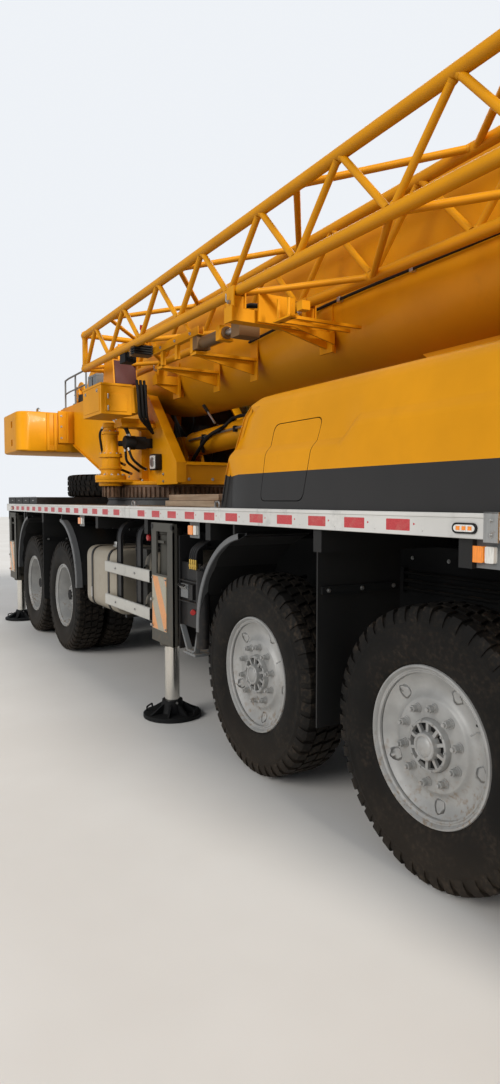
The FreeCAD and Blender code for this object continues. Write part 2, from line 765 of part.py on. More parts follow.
def spare_wheel():
    x, y = SPARE_X, SPARE_Y
    z = DECK_TOP + LOCKER_HEIGHT + SEAT + TYRE_WIDTH / 2
    tyre = ring(tyre_profile(0), ROUND_SIDES, (x, y, z), "z")
    disc = ring([(-115, 0), (-115, RIM_RADIUS), (-60, RIM_RADIUS), (-60, 0)],
                ROUND_SIDES, (x, y, z), "z")
    return fuse([tyre, disc])


def side_plate_outline():
    low = RING_HIGH + SEAT
    rear, front = TURRET_X
    return [
        (front, low), (front, low + FRONT_RISE), SHOULDER, (LUFF_X + 580, LUFF_Z - 115),
        (LUFF_X + 320, LUFF_Z + 130), (LUFF_X + 130, LUFF_Z + 190), (LUFF_X - 130, LUFF_Z + 190),
        (LUFF_X - 250, LUFF_Z + 60), (LUFF_X - 330, TAIL_TOP), (TAIL_X, TAIL_TOP),
        (TAIL_X, WEIGHT_TOP + SEAT), (WEIGHT_X[1], WEIGHT_TOP + SEAT),
        (WEIGHT_X[1], TAIL_TOP - TAIL_DEPTH), (rear - 200, low + BEND_RISE), (rear, low),
    ]


def turret():
    low = RING_HIGH + SEAT
    rear, front = TURRET_X
    inner, outer = PLATE_Y
    tail_low = TAIL_TOP - TAIL_DEPTH
    parts = [post(SLEW_X, 0, low, low + 40, RING_RADIUS - 30, ROUND_SIDES)]
    for side in (-1, 1):
        y0, y1 = sorted((side * inner, side * outer))
        parts.append(prism_y(side_plate_outline(), y0, y1))
    parts.append(box(rear, front, -inner, inner, low, low + 40))
    parts.append(box(front - 40, front, -inner, inner, low, low + FRONT_RISE))
    parts.append(prism_y([(rear, low), (rear + 40, low), (rear + 40, low + BEND_RISE + 20),
                          (WEIGHT_X[1], tail_low + 40), (WEIGHT_X[1], tail_low),
                          (rear - 200, low + BEND_RISE)], -inner, inner))
    parts.append(box(TAIL_X, TAIL_X + 1100, -inner, inner, TAIL_TOP - 30, TAIL_TOP))
    parts.append(box(WEIGHT_X[1], WEIGHT_X[1] + 40, -WEIGHT_HALF + 560, WEIGHT_HALF - 560,
                     tail_low, TAIL_TOP - 100))
    parts.append(round_bar(V(LUFF_X, -outer - 25, LUFF_Z), V(LUFF_X, outer + 25, LUFF_Z), LUFF_PIN))
    parts += cylinder_clevis(low)
    for x in (OP_X[0] + 50, OP_X[0] + 620):
        parts.append(box(x, x + 90, inner, OP_Y[1] - 60, OP_Z[0] - 45, OP_Z[0]))
    parts.append(box(DRIVE_X - 165, DRIVE_X + 165, DRIVE_Y - 130, -inner, low + 30, low + DRIVE_SEAT))
    parts.append(box(VALVE_X[0] + 110, VALVE_X[0] + 350, VALVE_Y[1] - 20, -inner,
                     VALVE_Z[0] - 90, VALVE_Z[0] - 50))
    hole = post(DRIVE_X, DRIVE_Y, low, low + 100, 64)
    return cut(fuse(parts), [hole])


def cylinder_clevis(low):
    """Two plates and the pin that hold the foot of the luffing cylinder."""
    outline = [(CYLINDER_X - 230, low), (CYLINDER_X + 290, low), (CYLINDER_X + 110, CYLINDER_Z),
               (CYLINDER_X + 70, CYLINDER_Z + 90), (CYLINDER_X - 70, CYLINDER_Z + 90),
               (CYLINDER_X - 110, CYLINDER_Z)]
    parts = []
    for side in (-1, 1):
        y0 = min(side * 75, side * 115)
        parts.append(prism_y(outline, y0, y0 + 40))
    parts.append(round_bar(V(CYLINDER_X, -116, CYLINDER_Z), V(CYLINDER_X, 116, CYLINDER_Z),
                           CYLINDER_PIN))
    return parts


def counterweight():
    """A block with rounded upright edges and lifting pockets in its sides."""
    x0, x1 = WEIGHT_X
    low = WEIGHT_TOP - WEIGHT_HEIGHT
    body = prism_z(round_corners(x0, x1, -WEIGHT_HALF, WEIGHT_HALF, 170, 3), low, WEIGHT_TOP)
    pockets = []
    for side in (-1, 1):
        y0 = min(side * (WEIGHT_HALF - 60), side * (WEIGHT_HALF + 1))
        for z in (low + 90, low + 350):
            pockets.append(box(x1 - 420, x1 - 330, y0, y0 + 61, z, z + 90))
    return cut(body, pockets)


def winches():
    parts = [box(TAIL_X, TAIL_X + 1140, -PLATE_Y[0], PLATE_Y[0], TAIL_TOP, TAIL_TOP + 20)]
    z = TAIL_TOP + DRUM_RISE
    for x in DRUM_X:
        rows = [(-290, 0), (-290, 190), (-270, 190), (-270, 135), (270, 135), (270, 190),
                (290, 190), (290, 0)]
        parts.append(ring(rows, BAR_SIDES, (x, 0, z)))
        for side in (-1, 1):
            y0 = min(side * 290, side * 330)
            parts.append(prism_y([(x - 150, TAIL_TOP + 20), (x + 150, TAIL_TOP + 20),
                                  (x + 80, z + 60), (x - 80, z + 60)], y0, y0 + 40))
        parts.append(round_bar(V(x, 330, z), V(x, 460, z), 110, SHAFT_SIDES))
    return fuse(parts)


def slewing_drive():
    """Vertical reducer that stands on the turret's bracket, its pinion at the ring."""
    low = RING_HIGH + SEAT + DRIVE_SEAT
    pinion = math.hypot(DRIVE_X - SLEW_X, DRIVE_Y) - RING_RADIUS - BEAM_CLEAR
    rows = [(1722, 0), (1722, pinion), (1840, pinion), (1840, 60), (low, 60), (low, 165),
            (low + 45, 165), (low + 45, 105), (2150, 105), (2150, 125), (2190, 125),
            (2190, 82), (2520, 82), (2520, 0)]
    return ring(rows, BAR_SIDES, (DRIVE_X, DRIVE_Y, 0), "z")


def valve_box():
    body = box(VALVE_X[0], VALVE_X[1], VALVE_Y[0], VALVE_Y[1], VALVE_Z[0], VALVE_Z[1])
    foot = box(VALVE_X[0] + 130, VALVE_X[0] + 330, VALVE_Y[1] - 20, VALVE_Y[1] + 280,
               VALVE_Z[0] - 50, VALVE_Z[0])
    return fuse([body, foot])


def op_outline(inset):
    x0, x1 = OP_X
    z0, z1 = OP_Z
    return [(x0 + inset, z0 + inset), (x1 - 180 - inset, z0 + inset), (x1 - inset, z0 + 560),
            (x1 - 130 - inset, z1 - 90), (x1 - 260 - inset, z1 - inset), (x0 + inset, z1 - inset)]


def operator_cab():
    y0, y1 = OP_Y
    shell = prism_y(op_outline(0), y0, y1)
    room = prism_y(op_outline(OP_WALL), y0 + OP_WALL, y1 - OP_WALL)
    tools = [room]
    tools.append(box(-1600, OP_X[1] + 1, y0 + 90, y1 - 90, OP_Z[0] + 600, OP_Z[1] - 130))
    tools.append(box(OP_DOOR_X[0], OP_DOOR_X[1], y1 - OP_WALL - 1, y1 + 1,
                     OP_DOOR_Z[0], OP_DOOR_Z[1]))
    tools.append(box(-2780, -1620, y0 - 1, y0 + OP_WALL + 1, 2660, 3350))
    tools.append(box(-2500, -1750, y0 + 120, y1 - 120, OP_Z[1] - OP_WALL - 1, OP_Z[1] + 1))
    body = cut(shell, tools)
    floor = OP_Z[0] + OP_WALL
    seat_x = OP_X[0] + 250
    seat_y = (y0 + y1) / 2 + 15
    seat = box(seat_x, seat_x + 450, seat_y - 225, seat_y + 225, floor, floor + 425)
    back = box(seat_x - 130, seat_x, seat_y - 225, seat_y + 225, floor, floor + 1045)
    lugs = mirror_x(hinge_post(-OP_DOOR_X[0] + 4, y1, 1, OP_HINGES))
    return fuse([body, seat, back] + lugs)


def operator_glass():
    y0, y1 = OP_Y
    x1 = OP_X[1]
    slope = [(x1 - 25, OP_Z[0] + 600), (x1 - 12, OP_Z[0] + 600), (x1 - 122, OP_Z[1] - 130),
             (x1 - 135, OP_Z[1] - 130)]
    front = prism_y(slope, y0 + 90, y1 - 90)
    side = box(-2780, -1620, y0 + 12, y0 + 20, 2660, 3350)
    roof = box(-2500, -1750, y0 + 120, y1 - 120, OP_Z[1] - 20, OP_Z[1] - 12)
    return Part.makeCompound([front, side, roof])


def operator_door():
    y1 = OP_Y[1]
    leaf = box(OP_DOOR_X[0] + DOOR_GAP, OP_DOOR_X[1] - DOOR_GAP, y1 - OP_WALL, y1,
               OP_DOOR_Z[0] + DOOR_GAP, OP_DOOR_Z[1] - DOOR_GAP)
    window = box(OP_DOOR_X[0] + 80, OP_DOOR_X[1] - 80, y1 - OP_WALL - 1, y1 + 1, 2560, 3300)
    pane = box(OP_DOOR_X[0] + 80, OP_DOOR_X[1] - 80, y1 - 24, y1 - 16, 2560, 3300)
    straps, bores = hinge_leaf(OP_DOOR_X[0] - 4, y1, 60, 1, OP_HINGES)
    return cut(fuse([cut(leaf, [window]), pane] + straps), bores)


def luffing_way():
    way = V(EYE_X - CYLINDER_X, 0, EYE_Z - CYLINDER_Z)
    length = way.Length
    way.normalize()
    return way, length


def luffing_barrel():
    way, length = luffing_way()
    start = V(CYLINDER_X, 0, CYLINDER_Z)
    eye = round_bar(start + V(0, -65, 0), start + V(0, 65, 0), EYE_RADIUS)
    neck = round_bar(start, start + way * 230, 70)
    barrel = round_bar(start + way * 200, start + way * BARREL_LENGTH, BARREL_RADIUS)
    body = fuse([neck, barrel])
    body = fuse([body, eye])
    pin_hole = bore_bar(start + V(0, -80, 0), start + V(0, 80, 0), CYLINDER_PIN)
    bore = round_bar(start + way * 260, start + way * (BARREL_LENGTH - 80), ROD_RADIUS + 15)
    gland = round_bar(start + way * (BARREL_LENGTH - 90), start + way * (BARREL_LENGTH + 1),
                      ROD_RADIUS + PIN_CLEARANCE)
    return cut(body, [pin_hole, bore, gland])


def luffing_rod():
    way, length = luffing_way()
    start = V(CYLINDER_X, 0, CYLINDER_Z)
    end = V(EYE_X, 0, EYE_Z)
    rod = round_bar(start + way * 300, end - way * 60, ROD_RADIUS)
    eye = round_bar(end + V(0, -88, 0), end + V(0, 88, 0), EYE_RADIUS)
    return fuse([rod, eye])


# Boom

def boom_size(n):
    """Width, height and underside of section n, where 0 is the base."""
    return (BOOM_WIDTH - n * BOOM_STEP, BOOM_HEIGHT - n * BOOM_STEP,
            BOOM_BOTTOM + n * BOOM_STEP / 2)


def boom_section(width, height, bottom, x0, x1):
    """Closed profile: flat top and sides over an underside bent in short flats."""
    half = width / 2
    top = bottom + height
    knee = bottom + half
    corner = 60
    outline = [(half, top - corner), (half - corner, top), (-half + corner, top),
               (-half, top - corner)]
    for i in range(BOOM_BENDS + 1):
        turn = math.pi * (1 + i / BOOM_BENDS)
        outline.append((half * math.cos(turn), knee + half * math.sin(turn)))
    return prism_x(outline, x0, x1)


def section_tube(n, x0, x1):
    width, height, bottom = boom_size(n)
    outer = boom_section(width, height, bottom, x0, x1)
    wall = BOOM_WALL
    return outer, boom_section(width - 2 * wall, height - 2 * wall, bottom + wall,
                               x0 - 1, x1 + 1)


def collar(n, x0, x1):
    """Stiff mouth of section n, and the side pads in it that guide the next section."""
    width, height, bottom = boom_size(n)
    next_width, next_height, next_bottom = boom_size(n + 1)
    proud = 14
    outer = boom_section(width + 2 * proud, height + 2 * proud, bottom - proud, x0, x1)
    pads = []
    for side in (-1, 1):
        y0, y1 = sorted((side * (next_width / 2 + SEAT), side * (width / 2 - 2)))
        middle = next_bottom + next_height * PAD_LEVEL
        pads.append(box(x0, x1, y0, y1, middle - 80, middle + 80))
    return outer, pads


def boom_base():
    """Tube with its foot, and the mouth, cylinder ears and jib arms set against it."""
    rear = LUFF_X + 500
    mouth = BOOM_FRONT - COLLAR_LENGTH
    outer, unused = section_tube(0, rear, mouth - SEAT)
    unused, cavity = section_tube(0, BOOM_CAVITY, BOOM_FRONT)
    low = BOOM_BOTTOM - 200
    tail_cut = prism_y([(-2250, BOOM_BOTTOM), (-3000, 2900), (rear, 3020), (rear - 100, low),
                        (-2250, low)], -600, 600)
    foot = prism_y([(-3900, 3560), (-4150, 3560), (-4560, LUFF_Z + 150), (-4700, LUFF_Z + 150),
                    (-4800, LUFF_Z + 40), (-4800, LUFF_Z - 80), (-4700, LUFF_Z - 150),
                    (-3900, 3020)], -330, 330)
    bush = round_bar(V(LUFF_X, -470, LUFF_Z), V(LUFF_X, 470, LUFF_Z), 135)
    bore = bore_bar(V(LUFF_X, -500, LUFF_Z), V(LUFF_X, 500, LUFF_Z), LUFF_PIN)
    tube = cut(fuse([cut(outer, [tail_cut]), foot, bush]), [cavity, bore])
    rim, pads = collar(0, mouth, BOOM_FRONT)
    ring_piece = fuse([cut(rim, [cavity])] + pads)
    skin = boom_section(BOOM_WIDTH + 2 * SEAT, BOOM_HEIGHT + 2 * SEAT, BOOM_BOTTOM - SEAT,
                        rear, mouth)
    fittings = [cut(piece, [skin]) for piece in cylinder_ears() + jib_arms()]
    return Part.makeCompound([tube, ring_piece] + fittings)


def cylinder_ears():
    """Two plates under the boom with the rod's eye between them."""
    outline = [(EYE_X - 420, BOOM_BOTTOM + 40), (EYE_X - 120, EYE_Z - 60), (EYE_X, EYE_Z - 115),
               (EYE_X + 120, EYE_Z - 60), (EYE_X + 420, BOOM_BOTTOM + 40)]
    ears = []
    for side in (-1, 1):
        y0 = min(side * 98, side * 133)
        ears.append(prism_y(outline, y0, y0 + 35))
    return ears


def jib_arms():
    """Beams on the boom's right side, each with its gusset and a stool under each chord."""
    low, high = ARM_Z
    wall = -BOOM_WIDTH / 2
    pieces = []
    for x, end in JIB_ARMS:
        x1 = x + ARM_WIDTH
        pieces.append(box(x, x1, end, wall + 50, low, high))
        gusset = [(max(end, wall - 420), low - SEAT), (wall + 80, low - SEAT), (wall + 80, low - 120)]
        pieces.append(prism_x(gusset, x + 30, x1 - 30))
        under = jib_level(JIB_BOTTOM, x1) - CHORD_RADIUS * math.cos(math.pi / CHORD_SIDES) - SEAT
        for y in JIB_Y:
            if y > end:
                pieces.append(box(x, x1, y - 45, y + 45, high + SEAT, under))
    return pieces


def boom_slider(n):
    """Telescoping section n, with the collar that guides the next one."""
    x0 = BOOM_CAVITY + 20 + n * 10
    x1 = BOOM_FRONT + n * HEAD_STEP
    outer, cavity = section_tube(n, x0, x1)
    width, height, bottom = boom_size(n)
    if n == SECTION_COUNT - 1:
        body = cut(outer, [cavity])
        return fuse([body, boom_head(x1)] + tail_pads(n, x0))
    rim, pads = collar(n, x1 - COLLAR_LENGTH, x1)
    body = cut(fuse([outer, rim]), [cavity])
    return fuse([body] + pads + tail_pads(n, x0))


def tail_pads(n, x0):
    """Pads at the rear end of section n, against the inside of the one around it."""
    width, height, bottom = boom_size(n)
    outside = boom_size(n - 1)[0] / 2 - BOOM_WALL - SEAT
    pads = []
    for side in (-1, 1):
        y0 = min(side * outside, side * (width / 2 - 1))
        y1 = max(side * outside, side * (width / 2 - 1))
        middle = bottom + height * PAD_LEVEL
        pads.append(box(x0, x0 + 200, y0, y1, middle - 80, middle + 80))
    return pads


def boom_head(x1):
    """Head of the last section, with its sheaves below and above."""
    width, height, bottom = boom_size(SECTION_COUNT - 1)
    half = width / 2
    top = bottom + height
    parts = []
    outline = [(x1 - 60, top), (HEAD_X + 60, top - 40), (HEAD_X + 230, top - 240),
               (HEAD_X + 260, HEAD_Z + 20), (HEAD_X + 200, HEAD_Z - 60),
               (HEAD_X + 60, HEAD_Z - 60), (HEAD_X - 120, bottom - 10), (x1 - 60, bottom + 60)]
    for side in (-1, 1):
        y0 = min(side * half, side * (half - 40))
        parts.append(prism_y(outline, y0, y0 + 40))
    wide = half - 20
    rows = [(-wide, 0), (-wide, SHEAVE_RADIUS), (wide, SHEAVE_RADIUS), (wide, 0)]
    for x, z in ((HEAD_X + 150, HEAD_Z), (HEAD_X + 60, top - 200)):
        parts.append(ring(rows, SHEAVE_SIDES, (x, 0, z)))
    return fuse(parts)


def hook_block():
    """Rope falls, block cheeks and hook, hung from the front of the head's sheaves."""
    rope = 9
    x = HEAD_X + 150 + SHEAVE_RADIUS + rope + SEAT
    falls = []
    for y in (-90, -30, 30, 90):
        falls.append(tube_bar(V(x, y, HOOK_TOP - 60), V(x, y, HEAD_Z), rope, 6))
    cheeks = prism_y([(x - 60, HOOK_TOP), (x + 60, HOOK_TOP), (x + 170, HOOK_TOP - 200),
                      (x + 140, HOOK_TOP - 420), (x + 60, HOOK_TOP - 520),
                      (x - 60, HOOK_TOP - 520), (x - 140, HOOK_TOP - 420),
                      (x - 170, HOOK_TOP - 200)], -130, 130)
    shank = post(x, 0, HOOK_TOP - 640, HOOK_TOP - 500, 45, 8)
    centre_z = HOOK_TOP - 740
    outer = []
    inner = []
    for i in range(10):
        turn = math.radians(110 + 30 * i)
        grow = 1 - 0.03 * i
        outer.append((x + 150 * grow * math.cos(turn), centre_z + 150 * grow * math.sin(turn)))
        inner.append((x + 70 * math.cos(turn), centre_z + 70 * math.sin(turn)))
    hook = prism_y(outer + inner[::-1], -38, 38)
    return fuse([cheeks, shank, hook] + falls)


# Fly jib

def jib_level(pair, x):
    share = (x - JIB_X[0]) / (JIB_X[1] - JIB_X[0])
    return pair[0] + share * (pair[1] - pair[0])


def lace_bar(start, end, radius, sides, along):
    """A bar welded between two parallel tubes: its ends are cut along their flats."""
    way = end - start
    reach = abs(way.z if along == "z" else way.y)
    trim = (CHORD_RADIUS * math.cos(math.pi / CHORD_SIDES) + WELD_GAP) / reach
    start = start + way * trim
    way = way * (1 - 2 * trim)
    side = way.cross(V(0, 0, 1))
    if side.Length < 1:
        side = V(0, 1, 0)
    side.normalize()
    up = side.cross(way)
    up.normalize()
    points = []
    for i in range(sides):
        turn = 2 * math.pi * (i + 0.5) / sides
        point = side * (radius * math.cos(turn)) + up * (radius * math.sin(turn))
        slip = point.z / way.z if along == "z" else point.y / way.y
        points.append(start + point - way * slip)
    return extrude(points, way)


def jib():
    """Four chords with zigzag lacing on all four sides, ends squared by frames."""
    count = 2 * JIB_BAYS
    stations = [JIB_X[0] + i * (JIB_X[1] - JIB_X[0]) / count for i in range(count + 1)]

    def point(row, side, x):
        return V(x, JIB_Y[side], jib_level(JIB_TOP if row else JIB_BOTTOM, x))

    bars = []
    for row in (0, 1):
        for side in (0, 1):
            bars.append(tube_bar(point(row, side, stations[0]), point(row, side, stations[count]),
                                 CHORD_RADIUS, CHORD_SIDES))
    for x in (stations[0] + CHORD_RADIUS, stations[count] - CHORD_RADIUS):
        for side in (0, 1):
            bars.append(lace_bar(point(0, side, x), point(1, side, x), END_RADIUS, CHORD_SIDES, "z"))
        for row in (0, 1):
            bars.append(lace_bar(point(row, 0, x), point(row, 1, x), END_RADIUS, CHORD_SIDES, "y"))
    inset = CHORD_RADIUS + END_RADIUS + LACE_RADIUS
    stations[0] += inset
    stations[count] -= inset
    for i in range(count):
        first = i % 2
        for side in (0, 1):
            bars.append(lace_bar(point(first, side, stations[i]),
                                 point(1 - first, side, stations[i + 1]),
                                 LACE_RADIUS, LACE_SIDES, "z"))
    for i in range(0, count, 2):
        for row in (0, 1):
            a = (i // 2 + row) % 2
            bars.append(lace_bar(point(row, a, stations[i]), point(row, 1 - a, stations[i + 2]),
                                 LACE_RADIUS, LACE_SIDES, "y"))
    return Part.makeCompound(bars)


def all_parts():
    parts = {
        "chassis_frame": chassis_frame(),
        "deck": deck(),
        "driver_cab": driver_cab(),
        "driver_glass": cab_glass(),
        "front_bumper": front_bumper(),
        "engine_hood": engine_hood(),
        "hood_hatch": hood_hatch(),
        "drive_train": drive_train(),
        "tanks": tanks(),
        "side_guards": side_guards(),
        "outrigger_boxes": outrigger_boxes(),
        "slewing_ring": slewing_ring(),
        "spare_wheel": spare_wheel(),
        "turret": turret(),
        "counterweight": counterweight(),
        "winches": winches(),
        "slewing_drive": slewing_drive(),
        "valve_box": valve_box(),
        "operator_cab": operator_cab(),
        "operator_glass": operator_glass(),
        "operator_door": operator_door(),
        "luffing_barrel": luffing_barrel(),
        "luffing_rod": luffing_rod(),
        "boom_base": boom_base(),
        "fly_jib": jib(),
        "hook_block": hook_block(),
    }
    for n in range(1, SECTION_COUNT):
        parts["boom_section_%d" % (n + 1)] = boom_slider(n)
    for side_name, side in SIDES:
        parts["driver_door_" + side_name] = on_side(driver_door(), side)
        for k, x in enumerate(AXLE_X):
            tag = AXLE_NAMES[k] + "_" + side_name
            if k < 2:
                parts["tyre_" + tag] = on_side(front_tyre(x), side)
                parts["rim_" + tag] = on_side(front_rim(x), side)
                parts["knuckle_" + tag] = on_side(knuckle(x), side)
            else:
                parts["tyre_" + tag] = on_side(twin_tyres(x), side)
                parts["rim_" + tag] = on_side(twin_rims(x), side)
        for name, front in OUTRIGGER_X:
            parts["beam_%s_%s" % (name, side_name)] = outrigger_beam(front, side)
            parts["jack_%s_%s" % (name, side_name)] = jack(front, side)
    return parts


def main():
    os.makedirs("parts", exist_ok=True)
    for name, shape in all_parts().items():
        shape.exportStep("parts/%s.step" % name)


main()
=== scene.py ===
import math
import random

import bpy
from bpy.props import FloatProperty, FloatVectorProperty, IntProperty, PointerProperty
from mathutils import Matrix, Vector


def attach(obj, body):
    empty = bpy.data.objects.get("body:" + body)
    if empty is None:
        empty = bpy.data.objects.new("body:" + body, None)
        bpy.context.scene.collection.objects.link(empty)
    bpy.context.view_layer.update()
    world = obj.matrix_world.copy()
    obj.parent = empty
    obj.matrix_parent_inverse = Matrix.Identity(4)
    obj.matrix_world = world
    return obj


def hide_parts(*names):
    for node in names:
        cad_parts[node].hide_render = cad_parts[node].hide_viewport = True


bl_info = {
    "name": "Truck crane",
    "version": (1, 0, 0),
    "blender": (4, 5, 0),
    "location": "View3D > Sidebar > Crane",
    "description": "Dresses a four-axle truck crane: wheels, hood, deck, outriggers, upper works, boom and jib",
    "category": "Object",
}

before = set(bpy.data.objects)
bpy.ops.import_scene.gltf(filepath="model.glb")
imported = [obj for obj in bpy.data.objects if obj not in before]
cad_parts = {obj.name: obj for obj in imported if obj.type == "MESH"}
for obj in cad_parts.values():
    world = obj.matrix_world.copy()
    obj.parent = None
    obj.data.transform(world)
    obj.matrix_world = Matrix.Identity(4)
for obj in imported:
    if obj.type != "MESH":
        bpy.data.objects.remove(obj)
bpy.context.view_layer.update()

AXLE_X = (2.305, 0.835, -3.370, -4.720)
AXLE_Z = 0.618
WHEEL_Y = 1.172
TWIN_PITCH = 0.345
SIDES = (("right", -1), ("left", 1))
DECK_TOP = 1.635
HALF_WIDTH = 1.380
REAR_X = -5.980
DECK_FRONT = 2.745
SLEW_X = -3.145


# Settings

class CraneColours(bpy.types.PropertyGroup):
    """Colours of the crane's paints."""
    yellow: FloatVectorProperty(name="Yellow", description="Main paint of hood, boom and upper works",
                                subtype="COLOR", size=3, min=0, max=1, default=(0.80, 0.335, 0.004))
    black: FloatVectorProperty(name="Black band", description="Lower band of the hood",
                               subtype="COLOR", size=3, min=0, max=1, default=(0.034, 0.033, 0.033))
    frame_grey: FloatVectorProperty(name="Frame grey", description="Chassis and brackets",
                                    subtype="COLOR", size=3, min=0, max=1, default=(0.011, 0.0115, 0.012))
    wheel_grey: FloatVectorProperty(name="Wheel grey", description="Discs and rims of the wheels",
                                    subtype="COLOR", size=3, min=0, max=1, default=(0.38, 0.38, 0.37))
    white: FloatVectorProperty(name="Strip white", description="Marking strip and guard rails",
                               subtype="COLOR", size=3, min=0, max=1, default=(0.72, 0.71, 0.68))
    red: FloatVectorProperty(name="Strip red", description="Red fields of the marking strip",
                             subtype="COLOR", size=3, min=0, max=1, default=(0.50, 0.012, 0.020))
    dust: FloatVectorProperty(name="Dust", description="Dry earth on the lower parts",
                              subtype="COLOR", size=3, min=0, max=1, default=(0.36, 0.25, 0.15))


class CraneSizes(bpy.types.PropertyGroup):
    """Sizes that a user would change."""
    nut_circle: FloatProperty(name="Nut circle", description="Radius of the circle of wheel nuts",
                              unit="LENGTH", default=0.1675, min=0.1, max=0.2)
    nuts: IntProperty(name="Wheel nuts", description="Nuts on each wheel", default=10, min=5, max=12)
    lugs: IntProperty(name="Tread pitches", description="Tread blocks round each tyre",
                      default=46, min=20, max=80)
    stripe: FloatProperty(name="Stripe length", description="Length of a red field on the strip",
                          unit="LENGTH", default=0.15, min=0.05, max=0.5)
    rope: FloatProperty(name="Rope diameter", description="Hoist rope on drums and hook",
                        unit="LENGTH", default=0.018, min=0.01, max=0.03)


# Finishes

class Wire:
    """A socket of a material's nodes that takes part in sums and products."""

    def __init__(self, finish, socket):
        self.finish = finish
        self.socket = socket

    def _with(self, operation, *values):
        return self.finish.node("ShaderNodeMath", {"operation": operation},
                                dict(enumerate(values))).out(0)

    def __add__(self, other):
        return self._with("ADD", self, other)

    def __radd__(self, other):
        return self._with("ADD", other, self)

    def __sub__(self, other):
        return self._with("SUBTRACT", self, other)

    def __rsub__(self, other):
        return self._with("SUBTRACT", other, self)

    def __mul__(self, other):
        return self._with("MULTIPLY", self, other)

    def __rmul__(self, other):
        return self._with("MULTIPLY", other, self)

    def __truediv__(self, other):
        return self._with("DIVIDE", self, other)

    def __pow__(self, other):
        return self._with("POWER", self, other)

    def __gt__(self, other):
        return self._with("GREATER_THAN", self, other)

    def __lt__(self, other):
        return self._with("LESS_THAN", self, other)

    def modulo(self, step):
        return self._with("FLOORED_MODULO", self, step)

    def ramp(self, low, high):
        """0 at low and under, 1 at high and over, with a soft change between."""
        settings = {"interpolation_type": "SMOOTHSTEP"}
        return self.finish.node("ShaderNodeMapRange", settings,
                                {0: self, 1: low, 2: high, 3: 0.0, 4: 1.0}).out(0)


class Placed:
    """A node that has been added, with its outputs as wires."""

    def __init__(self, finish, node):
        self.finish = finish
        self.made = node

    def out(self, which):
        return Wire(self.finish, self.made.outputs[which])


class Finish:
    """A material under construction."""

    def __init__(self, name):
        self.material = bpy.data.materials.new(name)
        self.material.use_nodes = True
        self.tree = self.material.node_tree
        self.tree.nodes.clear()
        self.end = self.tree.nodes.new("ShaderNodeOutputMaterial")
        self.place = self.node("ShaderNodeTexCoord").out("Object")

    def node(self, kind, settings=None, values=None):
        made = self.tree.nodes.new(kind)
        for key, value in (settings or {}).items():
            if key == "stops":
                ramp = made.color_ramp
                while len(ramp.elements) < len(value):
                    ramp.elements.new(0.5)
                for element, (where, colour) in zip(ramp.elements, value):
                    element.position = where
                    element.color = (*colour, 1.0)
            else:
                setattr(made, key, value)
        for key, value in (values or {}).items():
            socket = made.inputs[key]
            if isinstance(value, Wire):
                self.tree.links.new(value.socket, socket)
            elif value is not None:
                if hasattr(socket.default_value, "__len__") and len(socket.default_value) == 4 \
                        and len(value) == 3:
                    value = (*value, 1.0)
                socket.default_value = value
        return Placed(self, made)

    def noise(self, scale, detail=3.0, stretch=None, rough=0.55):
        place = self.place
        if stretch:
            place = self.node("ShaderNodeVectorMath", {"operation": "MULTIPLY"},
                              {0: place, 1: stretch}).out(0)
        return self.node("ShaderNodeTexNoise", {"noise_dimensions": "3D"},
                         {"Vector": place, "Scale": scale, "Detail": detail,
                          "Roughness": rough}).out(0)

    def axis(self, letter):
        return self.node("ShaderNodeSeparateXYZ", {}, {0: self.place}).out(letter)

    def facing_up(self):
        normal = self.node("ShaderNodeNewGeometry").out("Normal")
        return self.node("ShaderNodeSeparateXYZ", {}, {0: normal}).out("Z")

    def edges(self, radius=0.006):
        """1 on sharp edges, where paint and dust wear off first."""
        bent = self.node("ShaderNodeBevel", {"samples": 4}, {"Radius": radius}).out(0)
        flat = self.node("ShaderNodeNewGeometry").out("Normal")
        dot = self.node("ShaderNodeVectorMath", {"operation": "DOT_PRODUCT"},
                        {0: bent, 1: flat}).out(1)
        return (1 - dot).ramp(0.02, 0.3)

    def mix(self, share, first, second):
        return self.node("ShaderNodeMix", {"data_type": "RGBA"},
                         {0: share, 6: first, 7: second}).out(2)

    def bump(self, height, strength=0.2, distance=0.002, below=None):
        values = {"Strength": strength, "Distance": distance, "Height": height}
        if below is not None:
            values["Normal"] = below
        return self.node("ShaderNodeBump", {}, values).out(0)

    def shade(self, **values):
        """Joins the surface's values to its shader and ends the material."""
        names = {"colour": "Base Color", "rough": "Roughness", "metal": "Metallic",
                 "coat": "Coat Weight", "alpha": "Alpha", "normal": "Normal",
                 "sheen": "Sheen Weight", "glow": "Emission Color", "glow_strength": "Emission Strength",
                 "clear": "Transmission Weight", "ior": "IOR", "specular": "Specular IOR Level"}
        shader = self.node("ShaderNodeBsdfPrincipled", {},
                           {names[key]: value for key, value in values.items()})
        self.tree.links.new(shader.made.outputs[0], self.end.inputs["Surface"])
        return self.material


def colours():
    return bpy.context.scene.crane_colours


def rgb(value):
    return tuple(value)[:3]


